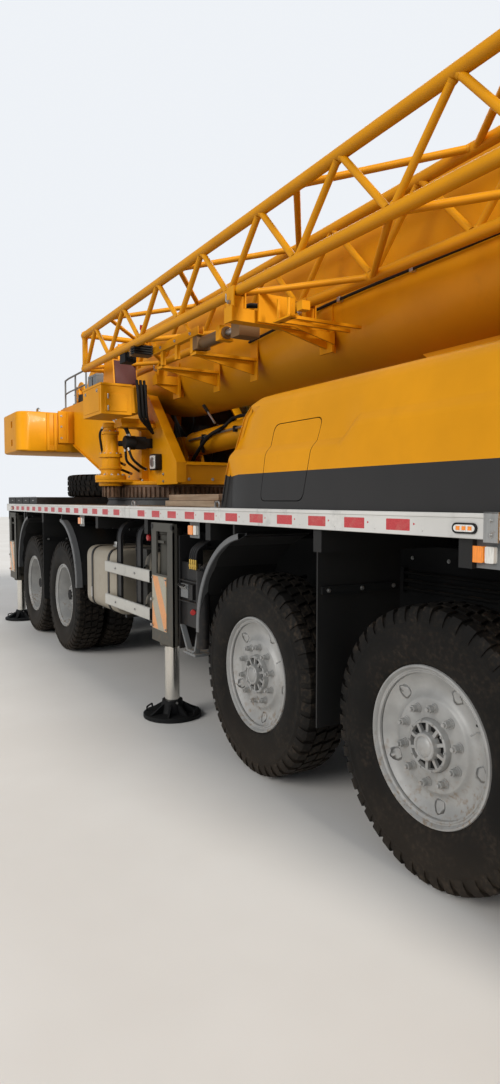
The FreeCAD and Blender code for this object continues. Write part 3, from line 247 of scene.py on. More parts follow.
def painted(name, colour, rough=0.38, dust=0.35, grime=0.15, coat=0.25, wear=0.0, low=1.5, earth=0.65):
    """Sprayed paint with dust that settles on flats and rises from the ground, and painted shade on its undersides."""
    f = Finish(name)
    tone = f.noise(1.7, 4)
    fine = f.noise(26, 5)
    speckle = f.noise(140, 3)
    shade = f.mix(tone.ramp(0.3, 0.75), [c * 0.90 for c in colour], [min(1, c * 1.06) for c in colour])
    streak = f.noise(7, 4, (1.0, 1.0, 0.12))
    dirty = (streak.ramp(0.52, 0.8) * fine.ramp(0.35, 0.7)) * grime
    shade = f.mix(dirty, shade, [c * 0.30 + 0.01 for c in colour])
    flat = f.facing_up().ramp(0.45, 1.0)
    height = 1 - f.axis("Z").ramp(0.1, low)
    settled = (flat * 0.75 + height * earth) * fine.ramp(0.30, 0.72) * dust
    shade = f.mix(settled.ramp(0.0, 1.0), shade, rgb(colours().dust))
    # Painted shade: faces that look down are darkened towards a third of the paint's colour and made rougher.
    below = 1 - f.facing_up().ramp(-0.95, 0.15)
    shade = f.mix(below * 0.62, shade, [c * 0.34 for c in colour])
    if wear:
        chips = f.edges(0.008) * f.noise(60, 3).ramp(0.52, 0.62) * wear
        shade = f.mix(chips, shade, (0.13, 0.10, 0.08))
    roughness = rough + settled * 0.45 + (speckle - 0.5) * 0.08 + dirty * 0.2 + below * 0.2
    peel = f.bump(f.noise(380, 2), 0.06, 0.0006)
    dents = f.bump(f.noise(1.1, 2), 0.10, 0.010, peel)
    return f.shade(colour=shade, rough=roughness, coat=coat, normal=dents, specular=0.18)


def rubber(name, tread=False):
    f = Finish(name)
    fine = f.noise(48, 5)
    cloud = f.noise(4.5, 4)
    base = f.mix(cloud.ramp(0.35, 0.7), (0.0050, 0.0044, 0.0038), (0.009, 0.0078, 0.0066))
    amount = fine.ramp(0.42, 0.8) * cloud.ramp(0.38, 0.62) * (0.55 if tread else 0.30)
    low = 1 - f.axis("Z").ramp(0.0, 0.5)
    base = f.mix(amount * 0.6 + low * 0.12, base, (0.15, 0.11, 0.075))
    grain = f.bump(f.noise(420, 3), 0.25, 0.0006)
    return f.shade(colour=base, rough=0.66 + amount * 0.3, normal=grain, specular=0.18)


def wheel_paint(name):
    f = Finish(name)
    fine = f.noise(38, 5)
    cloud = f.noise(6.5, 4)
    grey = rgb(colours().wheel_grey)
    shade = f.mix(cloud.ramp(0.3, 0.7), [c * 0.86 for c in grey], [min(1, c * 1.12) for c in grey])
    low = 1 - f.axis("Z").ramp(0.25, 0.85)
    mud = (low * 0.8 + 0.15) * fine.ramp(0.38, 0.75) * cloud.ramp(0.25, 0.65)
    shade = f.mix(mud.ramp(0.05, 0.9), shade, (0.25, 0.18, 0.115))
    rust = f.noise(90, 3).ramp(0.70, 0.78) * 0.55
    shade = f.mix(rust, shade, (0.16, 0.075, 0.035))
    return f.shade(colour=shade, rough=0.46 + mud * 0.35, metal=0.25,
                   normal=f.bump(f.noise(300, 3), 0.12, 0.0006))


def bare_steel(name, colour=(0.55, 0.55, 0.56), rough=0.28, rust=0.2):
    f = Finish(name)
    brushed = f.noise(60, 3, (1, 1, 0.06))
    spots = f.noise(45, 4).ramp(0.58, 0.70) * rust
    shade = f.mix(brushed.ramp(0.3, 0.7), [c * 0.85 for c in colour], colour)
    shade = f.mix(spots, shade, (0.20, 0.10, 0.05))
    return f.shade(colour=shade, rough=rough + spots * 0.4 + (brushed - 0.5) * 0.12,
                   metal=0.92 - spots * 0.7)


def greased_gear(name):
    """Cast gear teeth under brown, dusty grease."""
    f = Finish(name)
    cloud = f.noise(9, 5)
    fine = f.noise(75, 4)
    shade = f.mix(cloud.ramp(0.3, 0.7), (0.085, 0.045, 0.025), (0.22, 0.135, 0.085))
    shade = f.mix(fine.ramp(0.55, 0.75) * 0.6, shade, (0.33, 0.24, 0.17))
    return f.shade(colour=shade, rough=0.42 + fine * 0.3, metal=0.25,
                   normal=f.bump(fine, 0.35, 0.002))


def timber(name):
    f = Finish(name)
    grain = f.noise(16, 6, (0.06, 1.0, 1.0), 0.65)
    shade = f.mix(grain.ramp(0.3, 0.7), (0.27, 0.17, 0.10), (0.52, 0.39, 0.27))
    shade = f.mix(f.noise(3, 3).ramp(0.5, 0.8) * 0.5, shade, (0.24, 0.18, 0.13))
    return f.shade(colour=shade, rough=0.82, normal=f.bump(grain, 0.5, 0.003))


def glazing(name, tint, alpha=0.35):
    f = Finish(name)
    smear = f.noise(6, 4).ramp(0.45, 0.75)
    shade = f.mix(smear * 0.3, tint, (0.55, 0.50, 0.42))
    return f.shade(colour=shade, rough=0.05 + smear * 0.12, alpha=alpha + smear * 0.12,
                   specular=0.6, coat=0.4)


def lens(name, colour, glow=0.08):
    f = Finish(name)
    ribs = f.noise(220, 1, (1, 1, 0.1))
    shade = f.mix(ribs.ramp(0.3, 0.7), [c * 0.75 for c in colour], colour)
    return f.shade(colour=shade, rough=0.22, coat=0.8, glow=tuple(colour) + (1.0,), glow_strength=glow,
                   normal=f.bump(ribs, 0.3, 0.001))


def tape(name, colour):
    """Reflecting foil with its fine honeycomb."""
    f = Finish(name)
    cells = f.node("ShaderNodeTexVoronoi", {"feature": "DISTANCE_TO_EDGE"},
                   {"Vector": f.place, "Scale": 210.0}).out(0)
    scuff = f.noise(14, 5).ramp(0.5, 0.8)
    shade = f.mix(cells.ramp(0.0, 0.12), [min(1, c * 1.25 + 0.05) for c in colour], colour)
    shade = f.mix(scuff * 0.28, shade, (0.45, 0.36, 0.27))
    return f.shade(colour=shade, rough=0.34 + scuff * 0.3, coat=0.5)


def deck_plate(name):
    """Painted steel deck with raised tread bars under dry dust, and painted shade below its top."""
    f = Finish(name)
    x, y = f.axis("X"), f.axis("Y")
    a = ((x + y) * 22).modulo(1.0)
    b = ((x - y) * 22).modulo(1.0)
    bars = (a.ramp(0.30, 0.36) - a.ramp(0.58, 0.64)) * (b.ramp(0.10, 0.16) - b.ramp(0.86, 0.92))
    fine = f.noise(30, 5)
    up = f.facing_up().ramp(0.6, 0.95)
    shade = f.mix(fine.ramp(0.3, 0.7), (0.018, 0.018, 0.019), (0.034, 0.034, 0.033))
    # above is 1 on the deck's top; below it the colour is pushed to near black as painted shade under the deck, and no
    # dust settles there.
    above = f.axis("Z").ramp(1.58, 1.62)
    dust = up * (0.40 + f.noise(3, 4).ramp(0.35, 0.75) * 0.5) * (1 - bars * 0.55) * above
    shade = f.mix(1 - above, f.mix(dust, shade, (0.33, 0.24, 0.155)), (0.010, 0.010, 0.010))
    return f.shade(colour=shade, rough=0.58 + dust * 0.3, metal=0.15,
                   normal=f.bump(bars * up, 0.6, 0.003))


def ground(name):
    f = Finish(name)
    patch = f.noise(0.6, 4)
    grit = f.noise(60, 4)
    shade = f.mix(patch.ramp(0.3, 0.7), (0.74, 0.72, 0.69), (0.79, 0.775, 0.75))
    return f.shade(colour=shade, rough=0.92, specular=0.15, normal=f.bump(grit, 0.10, 0.002))


PALETTE = {}


def finish(key):
    """The named finish, made on first use."""
    if key not in PALETTE:
        c = colours()
        yellow = rgb(c.yellow)
        makers = {
            "yellow": lambda: painted("crane_yellow_paint", yellow, 0.40, 0.05, 0.14, 0.04),
            "yellow_low": lambda: painted("crane_yellow_panels", yellow, 0.40, 0.05, 0.08, 0.05, low=0.6),
            "worn_yellow": lambda: painted("worn_yellow_paint", yellow, 0.42, 0.5, 0.55, 0.1, 0.8),
            "band": lambda: painted("hood_band_black", rgb(c.black), 0.42, 0.30, 0.1, 0.2, low=0.8),
            "frame": lambda: painted("frame_black_paint", rgb(c.frame_grey), 0.55, 0.08, 0.2, 0.0, earth=0.2),
            "plate": lambda: painted("outrigger_plate_paint", (0.085, 0.083, 0.072), 0.5, 0.6, 0.4, 0.05, 0.6),
            "deck": lambda: deck_plate("deck_plate_paint"),
            # Near-black for parts under the deck and in recesses: their own dark paint, darkened further as painted
            # shade.
            "hidden": lambda: painted("underside_paint_and_shade", (0.012, 0.012, 0.012), 0.6, 0.15, 0.2, 0.0, earth=0.2),
            "trim": lambda: painted("black_trim_plastic", (0.016, 0.016, 0.017), 0.45, 0.35, 0.1, 0.1),
            "white": lambda: painted("strip_white_paint", rgb(c.white), 0.38, 0.35, 0.45, 0.2),
            "red": lambda: tape("strip_red_foil", rgb(c.red)),
            "orange": lambda: tape("chevron_orange_foil", (0.66, 0.24, 0.04)),
            "silver": lambda: tape("chevron_silver_foil", (0.30, 0.27, 0.19)),
            "rubber": lambda: rubber("tyre_rubber"),
            "tread": lambda: rubber("tyre_tread_rubber", True),
            "wheel": lambda: wheel_paint("wheel_grey_paint"),
            "steel": lambda: bare_steel("zinc_plated_steel", (0.50, 0.50, 0.49), 0.36, 0.4),
            "rod": lambda: bare_steel("polished_rod", (0.70, 0.68, 0.63), 0.14, 0.05),
            "rope": lambda: bare_steel("hoist_rope_steel", (0.20, 0.19, 0.18), 0.45, 0.3),
            "gear": lambda: greased_gear("greased_gear_teeth"),
            "timber": lambda: timber("timber_planks"),
            "glass": lambda: glazing("cabin_glass", (0.045, 0.075, 0.075), 0.62),
            "pale_glass": lambda: glazing("operator_glass_tint", (0.20, 0.36, 0.34), 0.48),
            "amber": lambda: lens("amber_lens", (0.95, 0.27, 0.01), 0.15),
            "lamp": lambda: lens("lamp_glass", (0.78, 0.77, 0.72), 0.10),
            "red_lens": lambda: lens("tail_lamp_red", (0.50, 0.01, 0.01), 0.05),
            "tank": lambda: painted("fuel_tank_paint", (0.36, 0.32, 0.255), 0.40, 0.6, 0.35, 0.1),
            "grey": lambda: painted("bracket_grey_paint", (0.19, 0.20, 0.205), 0.5, 0.5, 0.3, 0.05, 0.4),
            "cone": lambda: painted("ring_seat_paint", (0.075, 0.076, 0.078), 0.5, 0.5, 0.3, 0.05),
            "hose": lambda: painted("hose_rubber", (0.014, 0.014, 0.014), 0.55, 0.35, 0.1, 0.0),
            "red_knob": lambda: painted("red_knob_plastic", (0.42, 0.018, 0.018), 0.35, 0.2, 0.1, 0.3),
            "maroon": lambda: painted("oil_stained_cover", (0.085, 0.014, 0.012), 0.35, 0.2, 0.2, 0.3),
            "seat": lambda: rubber("seat_cover_vinyl"),
            "worn_brown": lambda: painted("oiled_brown_cast", (0.20, 0.115, 0.050), 0.5, 0.4, 0.5, 0.05),
            "brass": lambda: bare_steel("brass_couplings", (0.62, 0.42, 0.10), 0.35, 0.1),
            "silver_paint": lambda: painted("guard_rail_silver", (0.52, 0.51, 0.47), 0.34, 0.35, 0.35, 0.1),
            "dark_grey": lambda: painted("tool_box_paint", (0.06, 0.06, 0.058), 0.5, 0.4, 0.3, 0.0),
            "rim_edge": lambda: painted("mudguard_edge_grey", (0.16, 0.165, 0.17), 0.45, 0.4, 0.3, 0.0),
            "drum": lambda: bare_steel("drum_steel", (0.22, 0.20, 0.18), 0.5, 0.6),
        }
        PALETTE[key] = makers[key]()
    return PALETTE[key]


# Shapes

def frame_of(axis):
    """Two directions square to an axis, and the axis."""
    w = Vector(axis).normalized()
    u = w.orthogonal() if abs(w.z) > 0.999 else w.cross(Vector((0, 0, 1)))
    u.normalize()
    return u, w.cross(u).normalized(), w


class Form:
    """Corners and faces of one piece, each face with the finish it wears."""

    def __init__(self):
        self.corners = []
        self.faces = []
        self.wears = []

    def add(self, corners, faces, wear=0):
        start = len(self.corners)
        self.corners += [Vector(c) for c in corners]
        self.faces += [[start + i for i in face] for face in faces]
        self.wears += [wear] * len(faces)
        return self

    def join(self, other, *matrices):
        for matrix in matrices or (Matrix(),):
            start = len(self.corners)
            flip = matrix.determinant() < 0
            self.corners += [matrix @ c for c in other.corners]
            for face, wear in zip(other.faces, other.wears):
                placed = [start + i for i in face]
                self.faces.append(placed[::-1] if flip else placed)
                self.wears.append(wear)
        return self

    def block(self, low, high, wear=0):
        (x0, y0, z0), (x1, y1, z1) = low, high
        x0, x1 = min(x0, x1), max(x0, x1)
        y0, y1 = min(y0, y1), max(y0, y1)
        z0, z1 = min(z0, z1), max(z0, z1)
        corners = [(x, y, z) for x in (x0, x1) for y in (y0, y1) for z in (z0, z1)]
        faces = [(0, 1, 3, 2), (4, 6, 7, 5), (0, 4, 5, 1), (2, 3, 7, 6), (0, 2, 6, 4), (1, 5, 7, 3)]
        return self.add(corners, faces, wear)

    def prism(self, outline, axis, low, high, wear=0):
        """An outline of two coordinates, pushed along the third."""
        place = {"x": lambda a, b, h: (h, a, b), "y": lambda a, b, h: (a, h, b),
                 "z": lambda a, b, h: (a, b, h)}[axis]
        n = len(outline)
        area = sum(outline[i][0] * outline[(i + 1) % n][1] - outline[(i + 1) % n][0] * outline[i][1]
                   for i in range(n))
        turned = (area < 0) != (axis == "y")
        ring = outline[::-1] if turned else outline
        corners = [place(a, b, low) for a, b in ring] + [place(a, b, high) for a, b in ring]
        faces = [list(range(n))[::-1], list(range(n, 2 * n))]
        faces += [(i, (i + 1) % n, n + (i + 1) % n, n + i) for i in range(n)]
        return self.add(corners, faces, wear)

    def lathe(self, profile, centre, axis=(0, 1, 0), sides=48, wear=0, wears=None, closed=True):
        """A profile of (along, radius) turned about an axis."""
        u, v, w = frame_of(axis)
        centre = Vector(centre)
        n = len(profile)
        corners = []
        for i in range(sides):
            turn = 2 * math.pi * i / sides
            out = u * math.cos(turn) + v * math.sin(turn)
            corners += [centre + w * along + out * radius for along, radius in profile]
        start = len(self.corners)
        self.corners += corners
        for k in range(n if closed else n - 1):
            a, b = k, (k + 1) % n
            for i in range(sides):
                j = (i + 1) % sides
                self.faces.append([start + i * n + a, start + i * n + b, start + j * n + b, start + j * n + a])
                self.wears.append(wears[k] if wears else wear)
        return self

    def loft(self, rings, wear=0, wears=None, closed=False, ends=False):
        """Faces between rings of equal count; wears gives one finish for each step."""
        n = len(rings[0])
        start = len(self.corners)
        for ring in rings:
            self.corners += [Vector(c) for c in ring]
        for i in range(len(rings) - 1):
            for k in range(n if closed else n - 1):
                m = (k + 1) % n
                a, b = start + i * n, start + (i + 1) * n
                self.faces.append([a + k, a + m, b + m, b + k])
                self.wears.append(wears[i] if wears else wear)
        if ends:
            self.faces.append([start + k for k in range(n)][::-1])
            self.faces.append([start + (len(rings) - 1) * n + k for k in range(n)])
            self.wears += [wears[0] if wears else wear, wears[-1] if wears else wear]
        return self

    def rod(self, start, end, radius, sides=12, wear=0, radius_end=None):
        start, end = Vector(start), Vector(end)
        length = (end - start).length
        far = radius if radius_end is None else radius_end
        return self.lathe([(0, 0.0), (0, radius), (length, far), (length, 0.0)], start,
                          end - start, sides, wear, closed=False)

    def tube(self, points, radius, sides=10, wear=0, bend=0.0):
        """A round tube along points; bend rounds the corners of the route."""
        route = [Vector(p) for p in points]
        if bend:
            route = rounded(route, bend)
        n = len(route)
        u = None
        rings = []
        for i, point in enumerate(route):
            way = (route[min(i + 1, n - 1)] - route[max(i - 1, 0)]).normalized()
            if u is None:
                u = frame_of(way)[0]
            u = (u - way * u.dot(way)).normalized()
            v = way.cross(u)
            rings.append([point + (u * math.cos(t) + v * math.sin(t)) * radius
                          for t in (2 * math.pi * k / sides for k in range(sides))])
        corners = [c for ring in rings for c in ring]
        faces = []
        for i in range(n - 1):
            for k in range(sides):
                m = (k + 1) % sides
                faces.append((i * sides + k, i * sides + m, (i + 1) * sides + m, (i + 1) * sides + k))
        faces.append(list(range(sides))[::-1])
        faces.append([(n - 1) * sides + k for k in range(sides)])
        return self.add(corners, faces, wear)

    def bolt(self, place, out, size=0.012, wear=0, sides=6):
        """A hexagon head on its washer."""
        place, out = Vector(place), Vector(out).normalized()
        self.rod(place, place + out * size * 0.18, size * 1.05, 12, wear)
        return self.rod(place + out * size * 0.15, place + out * size * 0.85, size * 0.62, sides, wear)

    def make(self, name, finishes, body, slot, bevel=0.0, angle=35, replaces=()):
        mesh = bpy.data.meshes.new(name)
        mesh.from_pydata(self.corners, [], self.faces)
        for key in finishes:
            mesh.materials.append(finish(key))
        mesh.polygons.foreach_set("material_index", self.wears)
        mesh.polygons.foreach_set("use_smooth", [True] * len(mesh.polygons))
        mesh.set_sharp_from_angle(angle=math.radians(angle))
        mesh.validate()
        piece = bpy.data.objects.new(name, mesh)
        bpy.context.scene.collection.objects.link(piece)
        if bevel:
            soft = piece.modifiers.new("edge_rounding", "BEVEL")
            soft.width = bevel
            soft.segments = 2
            soft.limit_method = "ANGLE"
            soft.angle_limit = math.radians(32)
        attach(piece, body)
        if replaces:
            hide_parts(*replaces)
        return piece


def rounded(points, radius, steps=5):
    """A route whose corners are bent to a radius."""
    result = [points[0]]
    for before, corner, after in zip(points, points[1:], points[2:]):
        a = (before - corner)
        b = (after - corner)
        reach = min(radius, a.length * 0.45, b.length * 0.45)
        start = corner + a.normalized() * reach
        end = corner + b.normalized() * reach
        for i in range(steps + 1):
            t = i / steps
            result.append(start * (1 - t) ** 2 + corner * 2 * t * (1 - t) + end * t * t)
    result.append(points[-1])
    return result


def round_outline(points, radius, steps=4):
    """A closed outline of two coordinates with its corners rounded."""
    n = len(points)
    result = []
    for i in range(n):
        before, corner, after = (Vector(points[(i + d) % n]) for d in (-1, 0, 1))
        a, b = before - corner, after - corner
        reach = min(radius, a.length * 0.45, b.length * 0.45)
        start = corner + a.normalized() * reach
        end = corner + b.normalized() * reach
        for k in range(steps + 1):
            t = k / steps
            p = start * (1 - t) ** 2 + corner * 2 * t * (1 - t) + end * t * t
            result.append((p.x, p.y))
    return result


def carve(piece, cutter, keep=False):
    """Cuts one form out of a made piece, or keeps only what lies inside it."""
    cutter.hide_render = True
    knife = piece.modifiers.new("opening", "BOOLEAN")
    knife.operation = "INTERSECT" if keep else "DIFFERENCE"
    knife.solver = "EXACT"
    knife.object = cutter
    bpy.context.view_layer.update()
    graph = bpy.context.evaluated_depsgraph_get()
    mesh = bpy.data.meshes.new_from_object(piece.evaluated_get(graph))
    piece.modifiers.clear()
    piece.data = mesh
    mesh.set_sharp_from_angle(angle=math.radians(30))
    bpy.data.objects.remove(cutter)


def loose_cutter(form):
    mesh = bpy.data.meshes.new("cutter")
    mesh.from_pydata(form.corners, [], form.faces)
    cutter = bpy.data.objects.new("cutter", mesh)
    bpy.context.scene.collection.objects.link(cutter)
    return cutter


def wear_node(node, *keys):
    """Gives a CAD node its finish."""
    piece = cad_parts[node]
    piece.data.materials.clear()
    for key in keys:
        piece.data.materials.append(finish(key))


def wheel_place(x, side):
    """Puts a form drawn for a right-hand wheel at the origin in its place; the left is turned round."""
    turn = Matrix.Rotation(math.pi, 4, "Z") if side > 0 else Matrix()
    return Matrix.Translation((x, side * WHEEL_Y, AXLE_Z)) @ turn


# Wheels

def tyre_form(lugs, y=0.0, detail=True):
    """Radial truck tyre with rounded sidewalls, shoulder lugs and four rows of blocks."""
    half = 0.157
    form = Form()
    side = [(0.70, 0.3452), (0.79, 0.351), (0.86, 0.364), (0.89, 0.372), (0.93, 0.388), (0.985, 0.425),
            (1.0, 0.455), (0.995, 0.485), (0.975, 0.515), (0.985, 0.520), (0.980, 0.528), (0.950, 0.540),
            (0.915, 0.562), (0.885, 0.578), (0.80, 0.596), (0.62, 0.603)]
    profile = [(-u * half + y, r) for u, r in side] + [(u * half + y, r) for u, r in side[::-1]]
    sides = 92
    form.lathe(profile, (0, 0, 0), (0, 1, 0), sides, 0)
    if not detail:
        return form
    step = 2 * math.pi / lugs

    def spot(u, r, turn):
        return Vector((r * math.cos(turn), y + u * half, r * math.sin(turn)))

    def block(rows, a0, a1, skew=0.0):
        """Rows of (share of the width, radius) from one side to the other, over an angle."""
        n = len(rows)
        corners = []
        for k, (u, r) in enumerate(rows):
            slip = skew * k / max(1, n - 1)
            for turn in (a0 + slip, a1 + slip):
                corners.append(spot(u, r, turn))
                corners.append(spot(u * 0.985, r - 0.020, turn))
        faces = []
        for k in range(n - 1):
            a = k * 4
            faces.append((a, a + 4, a + 6, a + 2))
            faces.append((a, a + 1, a + 5, a + 4))
            faces.append((a + 2, a + 6, a + 7, a + 3))
        end = (n - 1) * 4
        faces.append((0, 2, 3, 1))
        faces.append((end, end + 1, end + 3, end + 2))
        form.add(corners, faces, 1)

    shoulder = [(0.50, 0.6165), (0.68, 0.6155), (0.84, 0.609), (0.915, 0.592), (0.965, 0.560)]
    for i in range(lugs):
        a = i * step
        block(shoulder, a, a + 0.62 * step)
        block([(-u, r) for u, r in shoulder], a + 0.5 * step, a + 1.12 * step)
        block([(0.05, 0.6175), (0.25, 0.6175), (0.43, 0.617)], a + 0.1 * step, a + 0.82 * step, 0.25 * step)
        block([(-0.43, 0.617), (-0.25, 0.6175), (-0.05, 0.6175)], a, a + 0.72 * step, 0.25 * step)
    return form


def side_ring(form, r0, wear=0):
    """Two-part outer ring of the rim, from the tyre's bead to the gutter."""
    rows = [(-0.100, r0 - 0.012), (-0.112, r0 + 0.002), (-0.124, r0 + 0.006), (-0.134, r0 + 0.002),
            (-0.136, r0 - 0.006), (-0.128, r0 - 0.012), (-0.119, r0 - 0.016), (-0.117, r0 - 0.022),
            (-0.121, r0 - 0.026), (-0.118, r0 - 0.032), (-0.108, r0 - 0.034)]
    form.lathe(rows, (0, 0, 0), (0, 1, 0), 96, wear, closed=False)


def nuts(form, y, circle, count, wear, cap=True):
    for i in range(count):
        turn = 2 * math.pi * (i + 0.35) / count
        place = Vector((circle * math.cos(turn), y, circle * math.sin(turn)))
        out = Vector((0, -1, 0))
        form.rod(place, place + out * 0.005, 0.0225, 18, wear)
        form.rod(place + out * 0.005, place + out * 0.014, 0.0195, 18, wear, 0.0175)
        form.rod(place + out * 0.014, place + out * 0.038, 0.0165, 6, wear)
        form.rod(place + out * 0.036, place + out * 0.050, 0.0095, 10, wear)


def front_wheel_forms(sizes):
    """Disc, hub and nuts of a steered wheel, seen from its flat outer face."""
    disc = Form()
    rows = [(0.110, 0.338), (-0.100, 0.333), (-0.104, 0.314), (-0.099, 0.305), (-0.090, 0.295),
            (-0.078, 0.270), (-0.074, 0.250), (-0.077, 0.232), (-0.088, 0.216), (-0.097, 0.209),
            (-0.100, 0.203), (-0.100, 0.118), (-0.080, 0.116), (-0.080, 0.200), (-0.058, 0.240),
            (-0.060, 0.300), (-0.085, 0.318), (0.110, 0.322)]
    disc.lathe(rows, (0, 0, 0), (0, 1, 0), 96, 0)
    side_ring(disc, 0.349)
    holes = Form()
    for i in range(5):
        turn = math.radians(62 + 72 * i)
        for_place = Vector((0.268 * math.cos(turn), 0, 0.268 * math.sin(turn)))
        holes.rod(for_place + Vector((0, -0.15, 0)), for_place + Vector((0, -0.02, 0)), 0.030, 24)
    trim = Form()
    nuts(trim, -0.100, sizes.nut_circle, sizes.nuts, 0)
    hub = [(-0.060, 0.118), (-0.118, 0.116), (-0.127, 0.112), (-0.130, 0.106), (-0.128, 0.101),
           (-0.110, 0.098), (-0.110, 0.066), (-0.134, 0.062), (-0.146, 0.060), (-0.150, 0.056),
           (-0.150, 0.046), (-0.146, 0.043), (-0.150, 0.038), (-0.154, 0.030), (-0.154, 0.0)]
    trim.lathe(hub, (0, 0, 0), (0, 1, 0), 60, 0, wears=[0] * 5 + [1] + [0] * 9, closed=False)
    for i in range(10):
        turn = 2 * math.pi * (i + 0.5) / 10
        spoke = Form().block((0.062, -0.127, -0.0075), (0.102, -0.108, 0.0075), 0)
        trim.join(spoke, Matrix.Rotation(turn, 4, "Y"))
    for i in range(10):
        turn = 2 * math.pi * i / 10
        c = Vector((0.108 * math.cos(turn), -0.129, 0.108 * math.sin(turn)))
        trim.bolt(c, (0, -1, 0), 0.0075, 0)
    trim.tube([(0.255, -0.085, 0.13), (0.250, -0.104, 0.125), (0.235, -0.118, 0.112)], 0.004, 8, 0)
    trim.tube([(0.257, -0.075, 0.16), (0.25, -0.10, 0.155)], 0.006, 8, 2)
    return disc, holes, trim


def rear_wheel_forms(sizes):
    """Deep dish of the outer twin wheel, with hub and nuts at its bottom."""
    disc = Form()
    middle = TWIN_PITCH / 2
    rows = [(-0.104, 0.338), (-0.106, 0.318), (-0.096, 0.312), (0.020, 0.306), (0.070, 0.286),
            (0.115, 0.262), (0.136, 0.236), (0.140, 0.205), (0.132, 0.196), (0.130, 0.140),
            (middle, 0.140), (middle, 0.275), (0.10, 0.325), (-0.095, 0.340)]
    disc.lathe(rows, (0, 0, 0), (0, 1, 0), 96, 0)
    side_ring(disc, 0.349)
    back = [(TWIN_PITCH + 0.118, 0.345), (TWIN_PITCH + 0.118, 0.322), (middle + 0.02, 0.30),
            (middle + 0.02, 0.14), (middle, 0.14), (middle, 0.30), (0.10, 0.343)]
    disc.lathe(back, (0, 0, 0), (0, 1, 0), 64, 0)
    holes = Form()
    for i in range(5):
        turn = math.radians(20 + 72 * i)
        place = Vector((0.262 * math.cos(turn), 0, 0.262 * math.sin(turn)))
        holes.rod(place + Vector((0, 0.02, 0)), place + Vector((0, 0.24, 0)), 0.030, 24)
    trim = Form()
    nuts(trim, 0.131, sizes.nut_circle, sizes.nuts, 0)
    hub = [(0.14, 0.140), (0.045, 0.132), (0.030, 0.128), (0.024, 0.120), (0.024, 0.112),
           (-0.030, 0.108), (-0.044, 0.104), (-0.048, 0.096), (-0.048, 0.060), (-0.060, 0.056),
           (-0.064, 0.050), (-0.064, 0.0)]
    trim.lathe(hub, (0, 0, 0), (0, 1, 0), 60, 0, closed=False)
    for i in range(12):
        turn = 2 * math.pi * i / 12
        c = Vector((0.082 * math.cos(turn), -0.048, 0.082 * math.sin(turn)))
        trim.bolt(c, (0, -1, 0), 0.010, 0)
    return disc, holes, trim


class CRANE_OT_wheels(bpy.types.Operator):
    """Tyres with tread, rims with hand holes, hubs and nuts"""
    bl_idname = "crane.wheels"
    bl_label = "Wheels"

    def execute(self, context):
        sizes = context.scene.crane_sizes
        single = tyre_form(sizes.lugs)
        twin = tyre_form(sizes.lugs)
        twin.join(tyre_form(sizes.lugs, 0.0, True), Matrix.Translation((0, TWIN_PITCH, 0)))
        for k, x in enumerate(AXLE_X):
            for side_name, side in SIDES:
                tag = "%d_%s" % (k + 1, side_name)
                body = "wheel_" + tag
                place = wheel_place(x, side)
                spin = Matrix.Rotation(math.radians(17 * k + 5 * side), 4, "Y")
                Form().join(twin if k > 1 else single, place @ spin).make(
                    "road_tyre_" + tag, ["rubber", "tread"], body, "tyre_black", angle=28,
                    replaces=("tyre_" + tag,))
                disc, holes, trim = rear_wheel_forms(sizes) if k > 1 else front_wheel_forms(sizes)
                rim = Form().join(disc, place).make(
                    "wheel_disc_" + tag, ["wheel"], body, "rim_grey", angle=30,
                    replaces=("rim_" + tag,))
                carve(rim, loose_cutter(Form().join(holes, place)))
                Form().join(trim, place).make(
                    "wheel_hub_" + tag, ["wheel", "hidden", "trim"], body, "rim_grey", angle=30)
        for k in (1, 2):
            for side_name, side in SIDES:
                wear_node("knuckle_%d_%s" % (k, side_name), "frame")
        return {"FINISHED"}


# Engine hood

HOOD_FRONT = 2.740
HOOD_LEVELS = (
    # half width, height at the rear, height at the front, rear end
    (1.335, 1.637, 1.637, 0.482),
    (1.335, 1.843, 1.843, 0.548),
    (1.335, 1.946, 2.046, 0.590),
    (1.304, 1.986, 2.090, 0.607),
    (1.282, 2.190, 2.190, 0.692),
    (1.268, 2.244, 2.244, 0.744),
    (1.238, 2.280, 2.280, 0.812),
    (1.190, 2.297, 2.297, 0.900),
    (1.110, 2.300, 2.300, 0.990),
)
HATCH = ((0.998, 1.680), (1.432, 1.680), (1.556, 2.118), (1.092, 2.118))
HATCH_SLOPE = 0.116 / 0.438


def step_up(x):
    """Share of the crease's rise at a place along the hood."""
    t = min(1.0, max(0.0, (x - 1.725) / 0.165))
    return t * t * (3 - 2 * t)


def hood_shell(inset=0.0):
    """Levels from the deck to the roof, each a path from one front corner round the rear to the other."""
    along = [HOOD_FRONT, 2.60, 2.40, 2.20, 2.05, 1.97, 1.93] + [1.91 - 0.018 * i for i in range(12)] \
        + [1.66, 1.50, 1.35, 1.20]
    form = Form()
    rings = []
    for half, low, high, rear in HOOD_LEVELS:
        corner = 0.045
        xs = along + [rear + corner + 0.25 * (1.20 - rear - corner) * k for k in (3, 2, 1)]
        path = [(x, -half) for x in xs]
        for k in range(7):
            turn = math.pi / 2 * k / 6
            path.append((rear + corner - corner * math.sin(turn), -half + corner - corner * math.cos(turn)))
        path += [(x, -y) for x, y in path[::-1]]
        rings.append([(x, y, low + (high - low) * step_up(x)) for x, y in path])
    form.loft(rings, wears=[0, 1, 1, 1, 1, 1, 1, 1])
    top = rings[-1]
    base = len(form.corners) - len(top)
    n = len(top)
    for i in range(n // 2 - 1):
        form.faces.append([base + i, base + i + 1, base + n - 2 - i, base + n - 1 - i])
        form.wears.append(1)
    rows = len(rings)
    form.faces.append([k * n for k in range(rows)] + [k * n + n - 1 for k in range(rows)][::-1])
    form.wears.append(1)
    return form


def hatch_outline(gap):
    (x0, z0), (x1, z1), (x2, z2), (x3, z3) = HATCH
    corners = [(x0 + gap, z0 + gap), (x1 - gap, z1 + gap), (x2 - gap, z2 - gap), (x3 + gap, z3 - gap)]
    return round_outline(corners, 0.050, 5)


